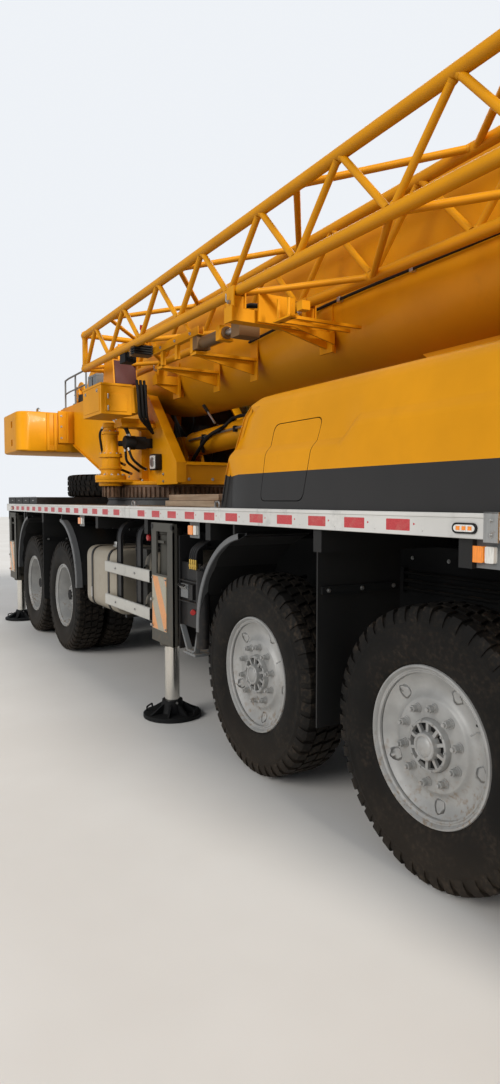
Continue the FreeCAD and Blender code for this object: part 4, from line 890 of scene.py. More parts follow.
def thick_shell(name, body, slot, replaced):
    piece = hood_shell().make(name, ["band", "yellow_low"], body, slot, 0.012, 34, replaces=replaced)
    piece.modifiers[0].angle_limit = math.radians(14)
    piece.modifiers[0].segments = 3
    piece.modifiers[0].use_clamp_overlap = False
    wall = piece.modifiers.new("wall", "SOLIDIFY")
    wall.thickness = 0.025
    wall.offset = -1
    return piece


def hood_hinge(form, z, wear):
    """Two leaves, a knuckled barrel along the hatch's slanted edge, and four screws."""
    x = 1.436 + (z - 1.680) * HATCH_SLOPE + 0.004
    y = -1.3352
    slope = HATCH_SLOPE
    for x0, x1 in ((x - 0.036, x - 0.006), (x + 0.006, x + 0.036)):
        form.prism([(x0 - slope * 0.034, z - 0.034), (x1 - slope * 0.034, z - 0.034),
                    (x1 + slope * 0.034, z + 0.034), (x0 + slope * 0.034, z + 0.034)],
                   "y", y - 0.004, y, wear)
    for k in range(3):
        a = -0.036 + 0.0245 * k
        b = a + 0.0225
        form.rod((x + slope * a, y - 0.009, z + a), (x + slope * b, y - 0.009, z + b), 0.0085, 16, wear)
    for dx in (-0.022, 0.022):
        for dz in (-0.020, 0.020):
            form.bolt((x + dx + slope * dz, y - 0.004, z + dz), (0, -1, 0), 0.008, wear)


class CRANE_OT_hood(bpy.types.Operator):
    """Engine hood with its stepped crease, black band, side hatch, latch and hinges"""
    bl_idname = "crane.hood"
    bl_label = "Engine hood"

    def execute(self, context):
        shell = thick_shell("engine_hood_shell", "carrier", "crane_yellow", ("engine_hood",))
        hole = Form().prism(hatch_outline(0.0), "y", -1.42, -1.20)
        carve(shell, loose_cutter(hole))
        leaf = thick_shell("hood_hatch_leaf", "hood_hatch", "crane_yellow", ("hood_hatch",))
        carve(leaf, loose_cutter(Form().prism(hatch_outline(0.0045), "y", -1.42, -1.20)), keep=True)
        latch = Form()
        latch.prism(round_outline([(1.060, 1.876), (1.212, 1.876), (1.214, 1.916), (1.063, 1.916)], 0.008),
                    "y", -1.3375, -1.330, 0)
        latch.prism(round_outline([(1.070, 1.883), (1.150, 1.883), (1.151, 1.909), (1.071, 1.909)], 0.006),
                    "y", -1.3405, -1.336, 1)
        latch.rod((1.184, -1.337, 1.896), (1.184, -1.342, 1.896), 0.011, 20, 2)
        latch.block((1.180, -1.3425, 1.889), (1.188, -1.341, 1.903), 1)
        latch.make("hatch_latch", ["trim", "grey", "steel"], "hood_hatch", "black_paint", 0.001)
        hinges = Form()
        hood_hinge(hinges, 1.902, 0)
        hood_hinge(hinges, 1.752, 1)
        hinges.make("hatch_hinges", ["yellow", "band"], "carrier", "crane_yellow", 0.0008)
        seal = Form()
        for side in (-1, 1):
            seal.block((0.50, side * 1.334, 1.636), (HOOD_FRONT - 0.01, side * 1.322, 1.648), 0)
        lining = hood_lining()
        seal.join(lining)
        seal.make("hood_seal", ["trim", "hidden"], "carrier", "black_paint", 0.002)
        return {"FINISHED"}


def hood_lining():
    """Dark engine block with ribs and pipes that shows when the hatch is open."""
    form = Form()
    form.block((1.06, -0.38, 1.45), (2.20, 0.38, 2.10), 1)
    for i in range(8):
        x = 1.12 + 0.13 * i
        form.block((x, -0.43, 1.72), (x + 0.05, -0.37, 2.02), 1)
    for z in (1.76, 1.86, 1.96):
        form.tube([(0.98, -0.46, z), (1.6, -0.47, z + 0.02), (2.24, -0.45, z)], 0.018, 8, 0)
    return form


# Deck

STRIP_FRONT = 2.745
STRIP_FACE = HALF_WIDTH + 0.006


def strip_form(side, sizes):
    """Folded edge strip with a groove, a top lip, rivets, red fields and their small marks."""
    form = Form()
    face = side * STRIP_FACE
    out = side
    z0, z1 = DECK_TOP - 0.097, DECK_TOP + 0.002
    groove = z1 - 0.021
    profile = [(face - out * 0.020, z0), (face, z0), (face + out * 0.0015, z0 + 0.003), (face, z0 + 0.006),
               (face, groove - 0.004), (face - out * 0.003, groove - 0.001), (face - out * 0.003, groove + 0.001),
               (face, groove + 0.004), (face, z1 - 0.006), (face - out * 0.004, z1),
               (face - out * 0.060, z1), (face - out * 0.060, z1 - 0.003), (face - out * 0.020, z1 - 0.003)]
    for x0, x1 in ((REAR_X, -1.068), (-1.062, STRIP_FRONT)):
        rings = [[(x, y, z) for y, z in profile] for x in (x0, x1)]
        form.loft(rings[::-1] if side > 0 else rings, 0, closed=True, ends=True)
    field_low, field_high = z0 + 0.018, groove - 0.010
    fields = [2.274 - 0.3 * k for k in range(11)] + [-1.326 - 0.3 * k + 0.022 for k in range(15)]
    for x in fields:
        y = face + out * 0.0006
        outline = round_outline([(x - sizes.stripe, field_low), (x, field_low), (x, field_high),
                                 (x - sizes.stripe, field_high)], 0.003, 2)
        form.prism(outline, "y", min(y, face - out * 0.002), max(y, face - out * 0.002), 1)
        spot = x + 0.020
        form.prism([(spot, field_low + 0.024), (spot + 0.013, field_low + 0.030), (spot, field_low + 0.036)],
                   "y", min(y, face - out * 0.002), max(y, face - out * 0.002), 1)
        form.rod((x + 0.075, face - out * 0.002, field_low + 0.004), (x + 0.075, face + out * 0.003, field_low + 0.004),
                 0.005, 10, 0, 0.003)
    return form


def oval_marker(form, x, z, face, out):
    """Long marker lamp in a black bezel."""
    outline = []
    for cx, a0 in ((0.042, -90), (-0.042, 90)):
        for i in range(9):
            turn = math.radians(a0 + 180 * i / 8)
            outline.append((x + cx + 0.021 * math.cos(turn), z + 0.021 * math.sin(turn)))
    form.prism(outline, "y", min(face, face + out * 0.007), max(face, face + out * 0.007), 2)
    inner = [(x + (a - x) * 0.86, z + (b - z) * 0.66) for a, b in outline]
    form.prism(inner, "y", min(face, face + out * 0.0085), max(face, face + out * 0.0085), 3)
    for dx in (-0.030, 0.0, 0.030):
        form.block((x + dx - 0.010, face, z - 0.008), (x + dx + 0.010, face + out * 0.0095, z + 0.008), 4)


def side_lamp(form, x, side):
    """Amber lamp on a folded bracket under the strip."""
    y = side * 1.335
    top = DECK_TOP - 0.097
    form.block((x - 0.075, y - side * 0.004, top - 0.115), (x + 0.075, y, top), 5)
    form.block((x - 0.075, y - side * 0.060, top - 0.004), (x + 0.075, y, top), 5)
    lens_outline = round_outline([(x - 0.060, top - 0.092), (x + 0.012, top - 0.092), (x + 0.012, top - 0.028),
                                  (x - 0.060, top - 0.028)], 0.010)
    form.prism(lens_outline, "y", *sorted((y, y + side * 0.024)), 6)
    form.prism(round_outline([(x + 0.016, top - 0.092), (x + 0.060, top - 0.092), (x + 0.060, top - 0.028),
                              (x + 0.016, top - 0.028)], 0.008), "y", *sorted((y, y + side * 0.020)), 7)


def frame_details():
    """Flanges and bolts of the chassis rails, air and hydraulic lines, deck seams and lashing rings."""
    form = Form()
    for side in (-1, 1):
        y = side * 0.420
        for x0, x1 in ((-4.98, -0.98), (0.22, 2.76)):
            for z in (0.905, 1.400):
                form.block((x0, y, z), (x1, y + side * 0.045, z + 0.012), 0)
            for k in range(int((x1 - x0) / 0.30)):
                form.bolt((x0 + 0.15 + 0.30 * k, y, 1.33), (0, side, 0), 0.012, 1)
        for k, z in enumerate((1.24, 1.19, 1.14)):
            form.tube([Vector((2.70, y + side * 0.02, z)), Vector((0.30, y + side * 0.02, z))], 0.011, 8, 2)
            form.tube([Vector((-1.05, y + side * 0.02, z)), Vector((-4.95, y + side * 0.02, z))], 0.011, 8, 2)
        for x in (2.4, 1.2, 0.45, -1.5, -2.8, -4.2):
            form.block((x, y, 1.12), (x + 0.03, y + side * 0.036, 1.27), 4)
    for x in (-2.02, -0.25, 0.40):
        form.block((x, -1.36, DECK_TOP), (x + 0.004, 1.36, DECK_TOP + 0.0015), 4)
    for x in (-1.40, 0.20):
        for side in (-1, 1):
            c = Vector((x, side * 1.22, DECK_TOP))
            form.block(c + Vector((-0.05, -0.03, 0)), c + Vector((0.05, 0.03, 0.006)), 1)
            form.tube([c + Vector((-0.03, 0, 0.004)), c + Vector((-0.03, 0, 0.040)), c + Vector((0.03, 0, 0.040)),
                       c + Vector((0.03, 0, 0.004))], 0.008, 8, 1, 0.02)
    for side in (-1, 1):
        y = side * 1.355
        form.block((-5.96, y, 1.7265), (-4.36, y + side * 0.006, 1.7305), 1)
        for k in range(4):
            x = -5.86 + 0.40 * k
            form.block((x, side * 1.3605, 1.650), (x + 0.36, side * 1.3655, 1.716), 3)
            form.rod((x + 0.15, side * 1.3655, 1.684), (x + 0.21, side * 1.3655, 1.684), 0.006, 8, 1)
    for x in (2.752, 2.838):
        for y in (-0.17, 0.17):
            form.bolt((x + (0.004 if x > 2.8 else -0.002), y, 2.42), (1 if x > 2.8 else -1, 0, 0), 0.016, 1)
    return form


class CRANE_OT_deck(bpy.types.Operator):
    """Marking strip with red fields, marker lamps, tread plates, planks and rear lamps"""
    bl_idname = "crane.deck"
    bl_label = "Deck"

    def execute(self, context):
        sizes = context.scene.crane_sizes
        strips = Form()
        for side_name, side in SIDES:
            strips.join(strip_form(side, sizes))
            face = side * STRIP_FACE
            for x in (2.580, -5.62):
                oval_marker(strips, x, 1.578, face, side)
            for x in (2.635, 0.075, -2.55):
                side_lamp(strips, x, side)
            clamp = Form()
            clamp.block((2.676, face, 1.528), (STRIP_FRONT, face + side * 0.008, 1.641), 8)
            clamp.block((2.676, face - side * 0.08, 1.637), (STRIP_FRONT, face + side * 0.008, 1.642), 8)
            clamp.bolt((2.71, face + side * 0.008, 1.61), (0, side, 0), 0.011, 8)
            clamp.bolt((2.71, face + side * 0.008, 1.555), (0, side, 0), 0.011, 8)
            strips.join(clamp)
        strips.make("edge_strips", ["white", "red", "trim", "lamp", "amber", "grey", "amber", "lamp", "steel"],
                    "carrier", "rail_white", 0.0006)
        frame_details().make("frame_details", ["frame", "steel", "hose", "deck", "trim"], "carrier", "frame_grey",
                             0.0015)
        planks = Form()
        rng = random.Random(4)
        for i in range(6):
            y = -1.10 + 0.155 * i
            z = DECK_TOP + 0.002
            x1 = -0.82 + rng.random() * 0.05
            form = Form().block((0.0, -0.072, 0), (0.88, 0.072, 0.046), 0)
            turn = Matrix.Translation((x1, y, z)) @ Matrix.Rotation(rng.uniform(-0.012, 0.012), 4, "Z")
            planks.join(form, turn)
            if i % 2 == 0:
                planks.join(form, Matrix.Translation((x1 + 0.03, y + 0.02, z + 0.047))
                            @ Matrix.Rotation(rng.uniform(-0.05, 0.05), 4, "Z"))
        planks.make("timber_planks", ["timber"], "carrier", "deck_grey", 0.004)
        return {"FINISHED"}


# Boom

BOOM_WIDTH = 0.800
BOOM_HEIGHT = 1.020
BOOM_BOTTOM = 2.620
BOOM_STEP = 0.070
BOOM_FRONT = 5.370
BOOM_TAIL = -4.150
BOOM_CAVITY = -2.150
HEAD_STEP = 0.170
COLLAR = 0.140
HEAD_X = 6.150
HEAD_Z = 2.650
SHEAVE = 0.150
EYE = (1.450, 2.480)
LUFF = (-4.650, 3.200)


def boom_size(n):
    """Width, height and underside of section n, where 0 is the base."""
    return BOOM_WIDTH - n * BOOM_STEP, BOOM_HEIGHT - n * BOOM_STEP, BOOM_BOTTOM + n * BOOM_STEP / 2


def boom_ring(n, x, grow=0.0, depth=1.0):
    """Outline of a section: rounded roof edges, upright sides and a round belly, as (x, y, z)."""
    width, height, bottom = boom_size(n)
    half = width / 2 + grow
    top = bottom + height + grow
    knee = bottom + width / 2
    corner = 0.055
    points = []
    for cy, start in ((half - corner, 0), (-half + corner, 90)):
        for k in range(7):
            turn = math.radians(start + 15 * k)
            points.append((x, cy + corner * math.cos(turn), top - corner + corner * math.sin(turn)))
    for k in range(33):
        turn = math.pi * (1 + k / 32)
        points.append((x, half * math.cos(turn), knee + (half * math.sin(turn)) * depth))
    return points


def boom_tube(form, n, x0, x1, wall=0.014, wear=0):
    """A hollow length of section n with open ends."""
    outer = [boom_ring(n, x) for x in (x0, x1)]
    inner = [boom_ring(n, x, -wall) for x in (x1, x0)]
    form.loft(outer + inner + outer[:1], wear, closed=True)


def boom_collar(form, n, x0, x1, wear=0):
    """Stiff mouth with a rounded lip and a raised band."""
    steps = ((x0, 0.0), (x0 + 0.006, 0.012), (x0 + 0.012, 0.014), (x1 - 0.030, 0.014), (x1 - 0.024, 0.020),
             (x1 - 0.004, 0.020), (x1, 0.016), (x1, -0.020), (x0, -0.020))
    rings = [boom_ring(n, x, grow) for x, grow in steps]
    form.loft(rings + rings[:1], wear, closed=True)


def mouth_details(form, n, x1):
    """Adjusting screws of the wear pads round the mouth, and a pad keeper on the roof."""
    width, height, bottom = boom_size(n)
    half = width / 2 + 0.014
    top = bottom + height + 0.014
    for side in (-1, 1):
        for z in (bottom + height * 0.60, bottom + height * 0.72):
            form.bolt((x1 - 0.085, side * half, z), (0, side, 0), 0.016, 1)
        form.block((x1 - 0.115, side * half, bottom + height * 0.57),
                   (x1 - 0.055, side * (half + 0.006), bottom + height * 0.75), 0)
        y = side * width * 0.24
        x = x1 - 0.082 - (COLLAR if n == 0 else 0)
        roof = top - (0.014 if n == 0 else 0)
        form.block((x - 0.036, y - 0.060, roof), (x + 0.036, y + 0.060, roof + 0.004), 0)
        for dy in (-0.035, 0.035):
            form.bolt((x, y + dy, roof + 0.004), (0, 0, 1), 0.0115, 1)


def base_form():
    """Base section: belly that rises into a rounded tail, hollow front, weld seams and foot."""
    form = Form()
    mouth = BOOM_FRONT - COLLAR
    tail = []
    for k in range(15):
        turn = math.pi / 2 * k / 14
        tail.append((-2.550 - 1.150 * math.sin(turn), max(math.cos(turn), 0.02)))
    tail.append((BOOM_TAIL, 0.02))
    rings = [boom_ring(0, mouth), boom_ring(0, -2.0)] + [boom_ring(0, x, 0, depth) for x, depth in tail]
    inner = [boom_ring(0, BOOM_CAVITY, -0.014), boom_ring(0, mouth, -0.014)]
    form.loft(inner + rings, 0, closed=True)
    form.faces.append(list(range(len(inner[0]))))
    form.wears.append(0)
    count = len(rings[0])
    last = len(form.corners) - count
    form.faces.append([last + k for k in range(count)])
    form.wears.append(0)
    for side in (-1, 1):
        form.rod((-4.10, side * 0.4005, 3.134), (mouth, side * 0.4005, 3.134), 0.0045, 6, 0)
        for x in (-1.2, 2.2, 4.0):
            form.rod((x, side * 0.400, 3.16), (x, side * 0.400, 3.56), 0.003, 6, 0)
    foot = [(-3.90, 3.56), (-4.15, 3.56), (-4.56, 3.35), (-4.62, 3.345)]
    for k in range(9):
        turn = math.radians(90 + 22.5 * k)
        foot.append((-4.68 + 0.145 * math.cos(turn), 3.20 + 0.148 * math.sin(turn)))
    foot += [(-4.60, 3.055), (-3.90, 3.02)]
    for y0, y1 in ((-0.330, -0.290), (0.290, 0.330)):
        form.prism(foot, "y", y0, y1, 0)
    form.block((-4.56, -0.29, 3.10), (-3.95, 0.29, 3.14), 0)
    form.prism([(-4.52, 3.335), (-4.14, 3.535), (-4.16, 3.555), (-4.54, 3.355)], "y", -0.29, 0.29, 0)
    form.lathe([(-0.470, 0.071), (-0.470, 0.128), (-0.462, 0.135), (0.462, 0.135), (0.470, 0.128), (0.470, 0.071)],
               (LUFF[0], 0, LUFF[1]), (0, 1, 0), 40, 0)
    return form


def ear_form():
    """Rod ears under the boom on a long doubler plate, with bosses and a bright lower flange."""
    form = Form()
    x, z = EYE
    for side in (-1, 1):
        y0, y1 = sorted((side * 0.098, side * 0.133))
        outline = [(x - 0.42, 2.645)]
        for k in range(9):
            turn = math.radians(218 + 13 * k)
            outline.append((x + 0.118 * math.cos(turn), z + 0.118 * math.sin(turn)))
        outline += [(x + 0.42, 2.645)]
        form.prism(outline, "y", y0, y1, 0)
        form.lathe([(-0.012, 0.0), (-0.012, 0.085), (0.0, 0.090), (0.0, 0.0)], (x, side * 0.133, z),
                   (0, side, 0), 28, 0, closed=False)
        form.lathe([(0.0, 0.0), (0.0, 0.062), (0.014, 0.062), (0.018, 0.056), (0.018, 0.0)], (x, side * 0.136, z),
                   (0, side, 0), 24, 1, closed=False)
        form.block((x - 0.030, side * 0.134, z - 0.092), (x + 0.030, side * 0.146, z - 0.066), 1)
        form.bolt((x - 0.02, side * 0.146, z - 0.079), (0, side, 0), 0.012, 1)
        form.bolt((x + 0.02, side * 0.146, z - 0.079), (0, side, 0), 0.012, 1)
    return form


class CRANE_OT_boom(bpy.types.Operator):
    """Boom base with rounded belly and tail, telescoping sections with their mouths, head and sheaves"""
    bl_idname = "crane.boom"
    bl_label = "Boom"

    def execute(self, context):
        base = base_form()
        boom_collar(base, 0, BOOM_FRONT - COLLAR, BOOM_FRONT)
        mouth_details(base, 0, BOOM_FRONT)
        base.join(ear_form())
        base.join(arm_form())
        base.make("boom_base_tube", ["yellow", "steel"], "boom", "crane_yellow", 0.0, 32, ("boom_base",))
        for n in range(1, 5):
            x0 = BOOM_CAVITY + 0.020 + n * 0.010
            x1 = BOOM_FRONT + n * HEAD_STEP
            form = Form()
            boom_tube(form, n, x0, x1 if n == 4 else x1 - COLLAR)
            width, height, bottom = boom_size(n)
            outside = boom_size(n - 1)[0] / 2 - 0.0143
            for side in (-1, 1):
                form.rod((x0 + 0.02, side * (width / 2 + 0.0004), bottom + height * 0.51),
                         (x1 - COLLAR, side * (width / 2 + 0.0004), bottom + height * 0.51), 0.003, 6, 0)
                middle = bottom + height * 0.66
                form.block((x0 + 0.002, side * (width / 2 - 0.001), middle - 0.078),
                           (x0 + 0.198, side * outside, middle + 0.078), 2)
            if n < 4:
                boom_collar(form, n, x1 - COLLAR, x1)
                mouth_details(form, n, x1)
            else:
                form.join(head_form(x1))
            form.make("boom_tube_%d" % (n + 1), ["yellow", "steel", "trim", "drum"], "section_%d" % (n + 1),
                      "crane_yellow", 0.0, 32, ("boom_section_%d" % (n + 1),))
        return {"FINISHED"}


def sheave_form(form, x, y, z, radius, wear):
    """Grooved rope sheave with a pressed web and hub."""
    rows = [(-0.024, radius), (-0.020, radius + 0.002), (-0.006, radius - 0.020), (0.006, radius - 0.020),
            (0.020, radius + 0.002), (0.024, radius), (0.022, radius - 0.034), (0.008, radius - 0.044),
            (0.008, 0.062), (0.026, 0.056), (0.026, 0.032), (-0.026, 0.032), (-0.026, 0.056), (-0.008, 0.062),
            (-0.008, radius - 0.044), (-0.022, radius - 0.034)]
    form.lathe(rows, (x, y, z), (0, 1, 0), 40, wear)


def head_form(x1):
    """Boom head: cheeks, cross plates, two sheave rows with pins and guards, and rope stops."""
    form = Form()
    width, height, bottom = boom_size(4)
    half = width / 2
    top = bottom + height
    outline = [(x1 - 0.06, top), (HEAD_X + 0.06, top - 0.04), (HEAD_X + 0.23, top - 0.24),
               (HEAD_X + 0.26, HEAD_Z + 0.02), (HEAD_X + 0.20, HEAD_Z - 0.06),
               (HEAD_X + 0.06, HEAD_Z - 0.06), (HEAD_X - 0.12, bottom - 0.01), (x1 - 0.06, bottom + 0.06)]
    for side in (-1, 1):
        form.prism(round_outline(outline, 0.06), "y", *sorted((side * half, side * (half - 0.034))), 0)
        for x, z in ((HEAD_X + 0.15, HEAD_Z), (HEAD_X + 0.06, top - 0.20)):
            form.rod((x, side * half, z), (x, side * (half + 0.012), z), 0.072, 28, 0)
            form.rod((x, side * (half + 0.012), z), (x, side * (half + 0.022), z), 0.044, 20, 1)
            form.block((x - 0.07, side * (half + 0.012), z + 0.03), (x + 0.07, side * (half + 0.020), z + 0.055), 1)
    form.block((x1 - 0.05, -half + 0.03, top - 0.03), (HEAD_X + 0.04, half - 0.03, top - 0.012), 0)
    form.block((x1 - 0.05, -half + 0.03, bottom + 0.02), (HEAD_X - 0.10, half - 0.03, bottom + 0.038), 0)
    for i in range(6):
        y = -0.19 + 0.076 * i
        sheave_form(form, HEAD_X + 0.15, y, HEAD_Z, SHEAVE, 3)
        sheave_form(form, HEAD_X + 0.06, y, top - 0.20, SHEAVE, 3)
    for x, z in ((HEAD_X + 0.15, HEAD_Z), (HEAD_X + 0.06, top - 0.20)):
        form.rod((x, -half + 0.02, z), (x, half - 0.02, z), 0.034, 20, 1)
    form.rod((HEAD_X + 0.245, -half + 0.03, HEAD_Z + 0.11), (HEAD_X + 0.245, half - 0.03, HEAD_Z + 0.11), 0.010, 10, 1)
    form.rod((HEAD_X - 0.02, -half + 0.03, top - 0.05), (HEAD_X - 0.02, half - 0.03, top - 0.05), 0.010, 10, 1)
    return form


# Jib

JIB_X = (-3.000, 5.920)
JIB_Y = (-1.150, -0.580)
JIB_TOP = (3.440, 3.560)
JIB_BOTTOM = (3.090, 3.040)
JIB_BAYS = 11
CHORD = 0.036
LACE = 0.021
JIB_ARMS = ((-2.300, -0.650), (0.300, -1.210), (4.400, -1.210))


def jib_point(row, side, x):
    low, high = JIB_TOP if row else JIB_BOTTOM
    return Vector((x, JIB_Y[side], low + (high - low) * (x - JIB_X[0]) / (JIB_X[1] - JIB_X[0])))


def lace(form, start, end, radius, wear=0):
    """A thin tube between two chords with a small weld collar at each end."""
    way = (end - start).normalized()
    inset = CHORD * 0.75
    form.rod(start + way * inset, end - way * inset, radius, 14, wear)
    for place, out in ((start, way), (end, -way)):
        a = place + out * (CHORD * 0.86)
        form.rod(a, a + out * 0.016, radius + 0.006, 14, wear, radius + 0.001)


def jib_form():
    form = Form()
    count = 2 * JIB_BAYS
    stations = [JIB_X[0] + i * (JIB_X[1] - JIB_X[0]) / count for i in range(count + 1)]
    for row in (0, 1):
        for side in (0, 1):
            a, b = jib_point(row, side, stations[0]), jib_point(row, side, stations[-1])
            way = (b - a).normalized()
            length = (b - a).length
            form.lathe([(0.0, 0.0), (0.0, CHORD * 0.7), (0.008, CHORD), (0.050, CHORD), (0.054, CHORD + 0.005),
                        (0.066, CHORD + 0.005), (0.070, CHORD), (length - 0.070, CHORD), (length - 0.066, CHORD + 0.005),
                        (length - 0.054, CHORD + 0.005), (length - 0.050, CHORD), (length - 0.008, CHORD),
                        (length, CHORD * 0.7), (length, 0.0)], a, way, 24, 0, closed=False)
    for x in (stations[0] + CHORD, stations[-1] - CHORD):
        for side in (0, 1):
            lace(form, jib_point(0, side, x), jib_point(1, side, x), 0.029)
        for row in (0, 1):
            lace(form, jib_point(row, 0, x), jib_point(row, 1, x), 0.029)
    inset = CHORD + 0.030 + LACE
    stations[0] += inset
    stations[-1] -= inset
    for i in range(count):
        first = i % 2
        for side in (0, 1):
            lace(form, jib_point(first, side, stations[i]), jib_point(1 - first, side, stations[i + 1]), LACE)
    for i in range(0, count, 2):
        for row in (0, 1):
            a = (i // 2 + row) % 2
            lace(form, jib_point(row, a, stations[i]), jib_point(row, 1 - a, stations[i + 2]), LACE)
    for row in (0, 1):
        for side in (0, 1):
            for x, way in ((JIB_X[1] - 0.03, 1), (JIB_X[0] + 0.03, -1)):
                p = jib_point(row, side, x)
                for dy in (-0.022, 0.022):
                    outline = [(p.x - 0.02, p.z - 0.032), (p.x - 0.02, p.z + 0.032)]
                    for k in range(7):
                        turn = math.radians(90 - 30 * k)
                        outline.append((p.x + way * (0.005 + 0.028 * math.cos(turn)), p.z + 0.032 * math.sin(turn)))
                    form.prism(outline, "y", p.y + dy - 0.005, p.y + dy + 0.005, 0)
    return form


def arm_form():
    """Jib arms on the boom: hollow beams with end plates, gussets, stools, pins and clamps."""
    form = Form()
    for x, end in JIB_ARMS:
        x1 = x + 0.090
        form.block((x, end, 2.870), (x1, -0.386, 2.955), 0)
        form.block((x - 0.008, end - 0.004, 2.862), (x1 + 0.008, end + 0.008, 2.963), 0)
        form.prism([(max(end, -0.82), 2.870), (-0.33, 2.870), (-0.33, 2.750)], "x", x + 0.035, x1 - 0.035, 0)
        form.block((x - 0.03, -0.412, 2.74), (x1 + 0.03, -0.392, 3.09), 0)
        for side in (0, 1):
            y = JIB_Y[side]
            if y < end:
                continue
            under = jib_point(0, side, x1).z - CHORD
            form.block((x + 0.012, y - 0.040, 2.955), (x1 - 0.012, y + 0.040, under), 0)
            for dy in (-0.048, 0.038):
                form.block((x - 0.004, y + dy, 2.955), (x1 + 0.004, y + dy + 0.010, under + 0.060), 0)
            form.rod((x + 0.045, y - 0.066, under - 0.040), (x + 0.045, y + 0.066, under - 0.040), 0.013, 14, 1)
            form.tube([(x + 0.045, y - 0.066, under - 0.040), (x + 0.045, y - 0.078, under - 0.040),
                       (x + 0.045, y - 0.078, under + 0.01)], 0.005, 8, 1, 0.008)
    return form


def carrier_form():
    """Jib carrier on the boom's right side: channels, slide, cylinder block, lever, pins and side plates."""
    form = Form()
    y = -0.402
    form.block((-1.62, -1.16, 2.985), (-1.50, -0.98, 3.075), 2)
    for k in range(4):
        form.block((-1.56, -1.175, 2.990 + 0.021 * k), (-1.46, -1.00, 3.004 + 0.021 * k), 3)
    form.rod((-1.95, -1.10, 3.02), (-1.70, -1.10, 3.02), 0.030, 16, 3)
    form.rod((-1.99, -1.10, 3.02), (-1.95, -1.10, 3.02), 0.020, 14, 1)
    form.block((-1.90, -1.15, 2.965), (-1.76, -1.04, 3.06), 3)
    form.rod((-1.42, -1.13, 3.06), (-1.40, -1.13, 3.19), 0.009, 10, 4)
    form.rod((-1.40, -1.13, 3.18), (-1.39, -1.13, 3.22), 0.017, 12, 4)
    form.block((-1.48, -0.99, 2.990), (-0.55, -0.95, 2.996), 0)
    form.block((-1.48, -0.995, 2.990), (-0.55, -0.990, 3.055), 0)
    form.block((-1.48, -0.95, 2.990), (-0.55, -0.945, 3.055), 0)
    for x in (-1.32, -1.02, -0.72):
        form.block((x, -0.985, 2.870), (x + 0.05, -0.955, 2.990), 0)
        form.bolt((x + 0.025, -0.995, 3.022), (0, -1, 0), 0.014, 1)
    form.block((-1.40, -0.98, 2.850), (-1.30, -0.40, 2.872), 0)
    form.block((-0.72, -0.98, 2.850), (-0.62, -0.40, 2.872), 0)
    for x in (-1.36, -0.68):
        form.prism([(-0.98, 2.850), (-0.40, 2.850), (-0.40, 2.740)], "x", x, x + 0.014, 0)
        form.block((x - 0.05, y - 0.012, 2.69), (x + 0.064, y, 3.02), 0)
    form.rod((-0.62, -0.93, 2.935), (-0.18, -0.93, 2.935), 0.046, 24, 2)
    form.rod((-0.18, -0.93, 2.935), (0.06, -0.93, 2.935), 0.022, 18, 1)
    form.block((-0.66, -0.99, 2.885), (-0.58, -0.87, 2.985), 2)
    form.block((-0.26, -0.99, 2.880), (-0.20, -0.87, 2.990), 0)
    form.block((-0.02, -0.99, 2.855), (0.10, -0.82, 2.975), 2)
    for k in range(3):
        form.rod((0.00 + 0.035 * k, -0.95, 2.975), (0.00 + 0.035 * k, -0.95, 3.020), 0.010, 10, 1)
        form.tube([Vector((0.035 * k, -0.95, 3.02)), Vector((0.02 + 0.035 * k, -0.92, 3.08)),
                   Vector((0.16 + 0.02 * k, -0.80, 3.06)), Vector((0.20, -0.44, 2.98))], 0.011, 8, 3, 0.08)
    form.block((0.420, -1.03, 2.870), (0.436, -0.74, 3.060), 0)
    form.prism([(-0.74, 2.870), (-0.40, 2.870), (-0.40, 2.790)], "x", 0.420, 0.436, 0)
    for x, z in ((0.60, 2.985), (0.72, 2.965)):
        form.rod((x, -0.98, 2.845), (x, -0.98, z), 0.011, 10, 0)
    form.block((0.56, -1.00, 2.838), (0.76, -0.94, 2.850), 0)
    for x in (0.60, 0.72):
        form.block((x - 0.012, -0.97, 2.838), (x + 0.012, -0.40, 2.858), 0)
    form.block((0.84, -1.00, 2.850), (0.90, -0.94, 2.905), 0)
    for x0, x1 in ((-4.013, -3.72), (-3.28, -2.932)):
        form.block((x0, y - 0.012, 3.330), (x1, y, 3.590), 0)
        form.block((x0 + 0.02, y - 0.10, 3.350), (x0 + 0.035, y - 0.012, 3.570), 0)
        form.block((x1 - 0.035, y - 0.10, 3.350), (x1 - 0.020, y - 0.012, 3.570), 0)
        form.rod((x0 + 0.01, y - 0.065, 3.46), (x1 - 0.01, y - 0.065, 3.46), 0.018, 14, 1)
    hose = [Vector((-0.72, -0.43, 3.02)), Vector((-0.30, -0.425, 3.05)), Vector((0.60, -0.424, 3.085)),
            Vector((2.40, -0.424, 3.10)), Vector((4.90, -0.424, 3.12))]
    form.tube(hose, 0.011, 8, 3, 0.3)
    for k in range(7):
        x = 0.50 + 0.72 * k
        form.block((x, -0.436, 3.065 + 0.008 * k), (x + 0.03, y, 3.100 + 0.008 * k), 1)
    return form


class CRANE_OT_jib(bpy.types.Operator):
    """Folded lattice jib with round chords, laces, weld collars, end lugs and its carrier"""
    bl_idname = "crane.jib"
    bl_label = "Fly jib"

    def execute(self, context):
        jib_form().make("lattice_jib", ["yellow"], "boom", "crane_yellow", 0.0, 40, ("fly_jib",))
        carrier_form().make("jib_carrier", ["yellow", "steel", "worn_brown", "hose", "red_knob"], "boom",
                            "crane_yellow", 0.002)
        return {"FINISHED"}


# Upper works

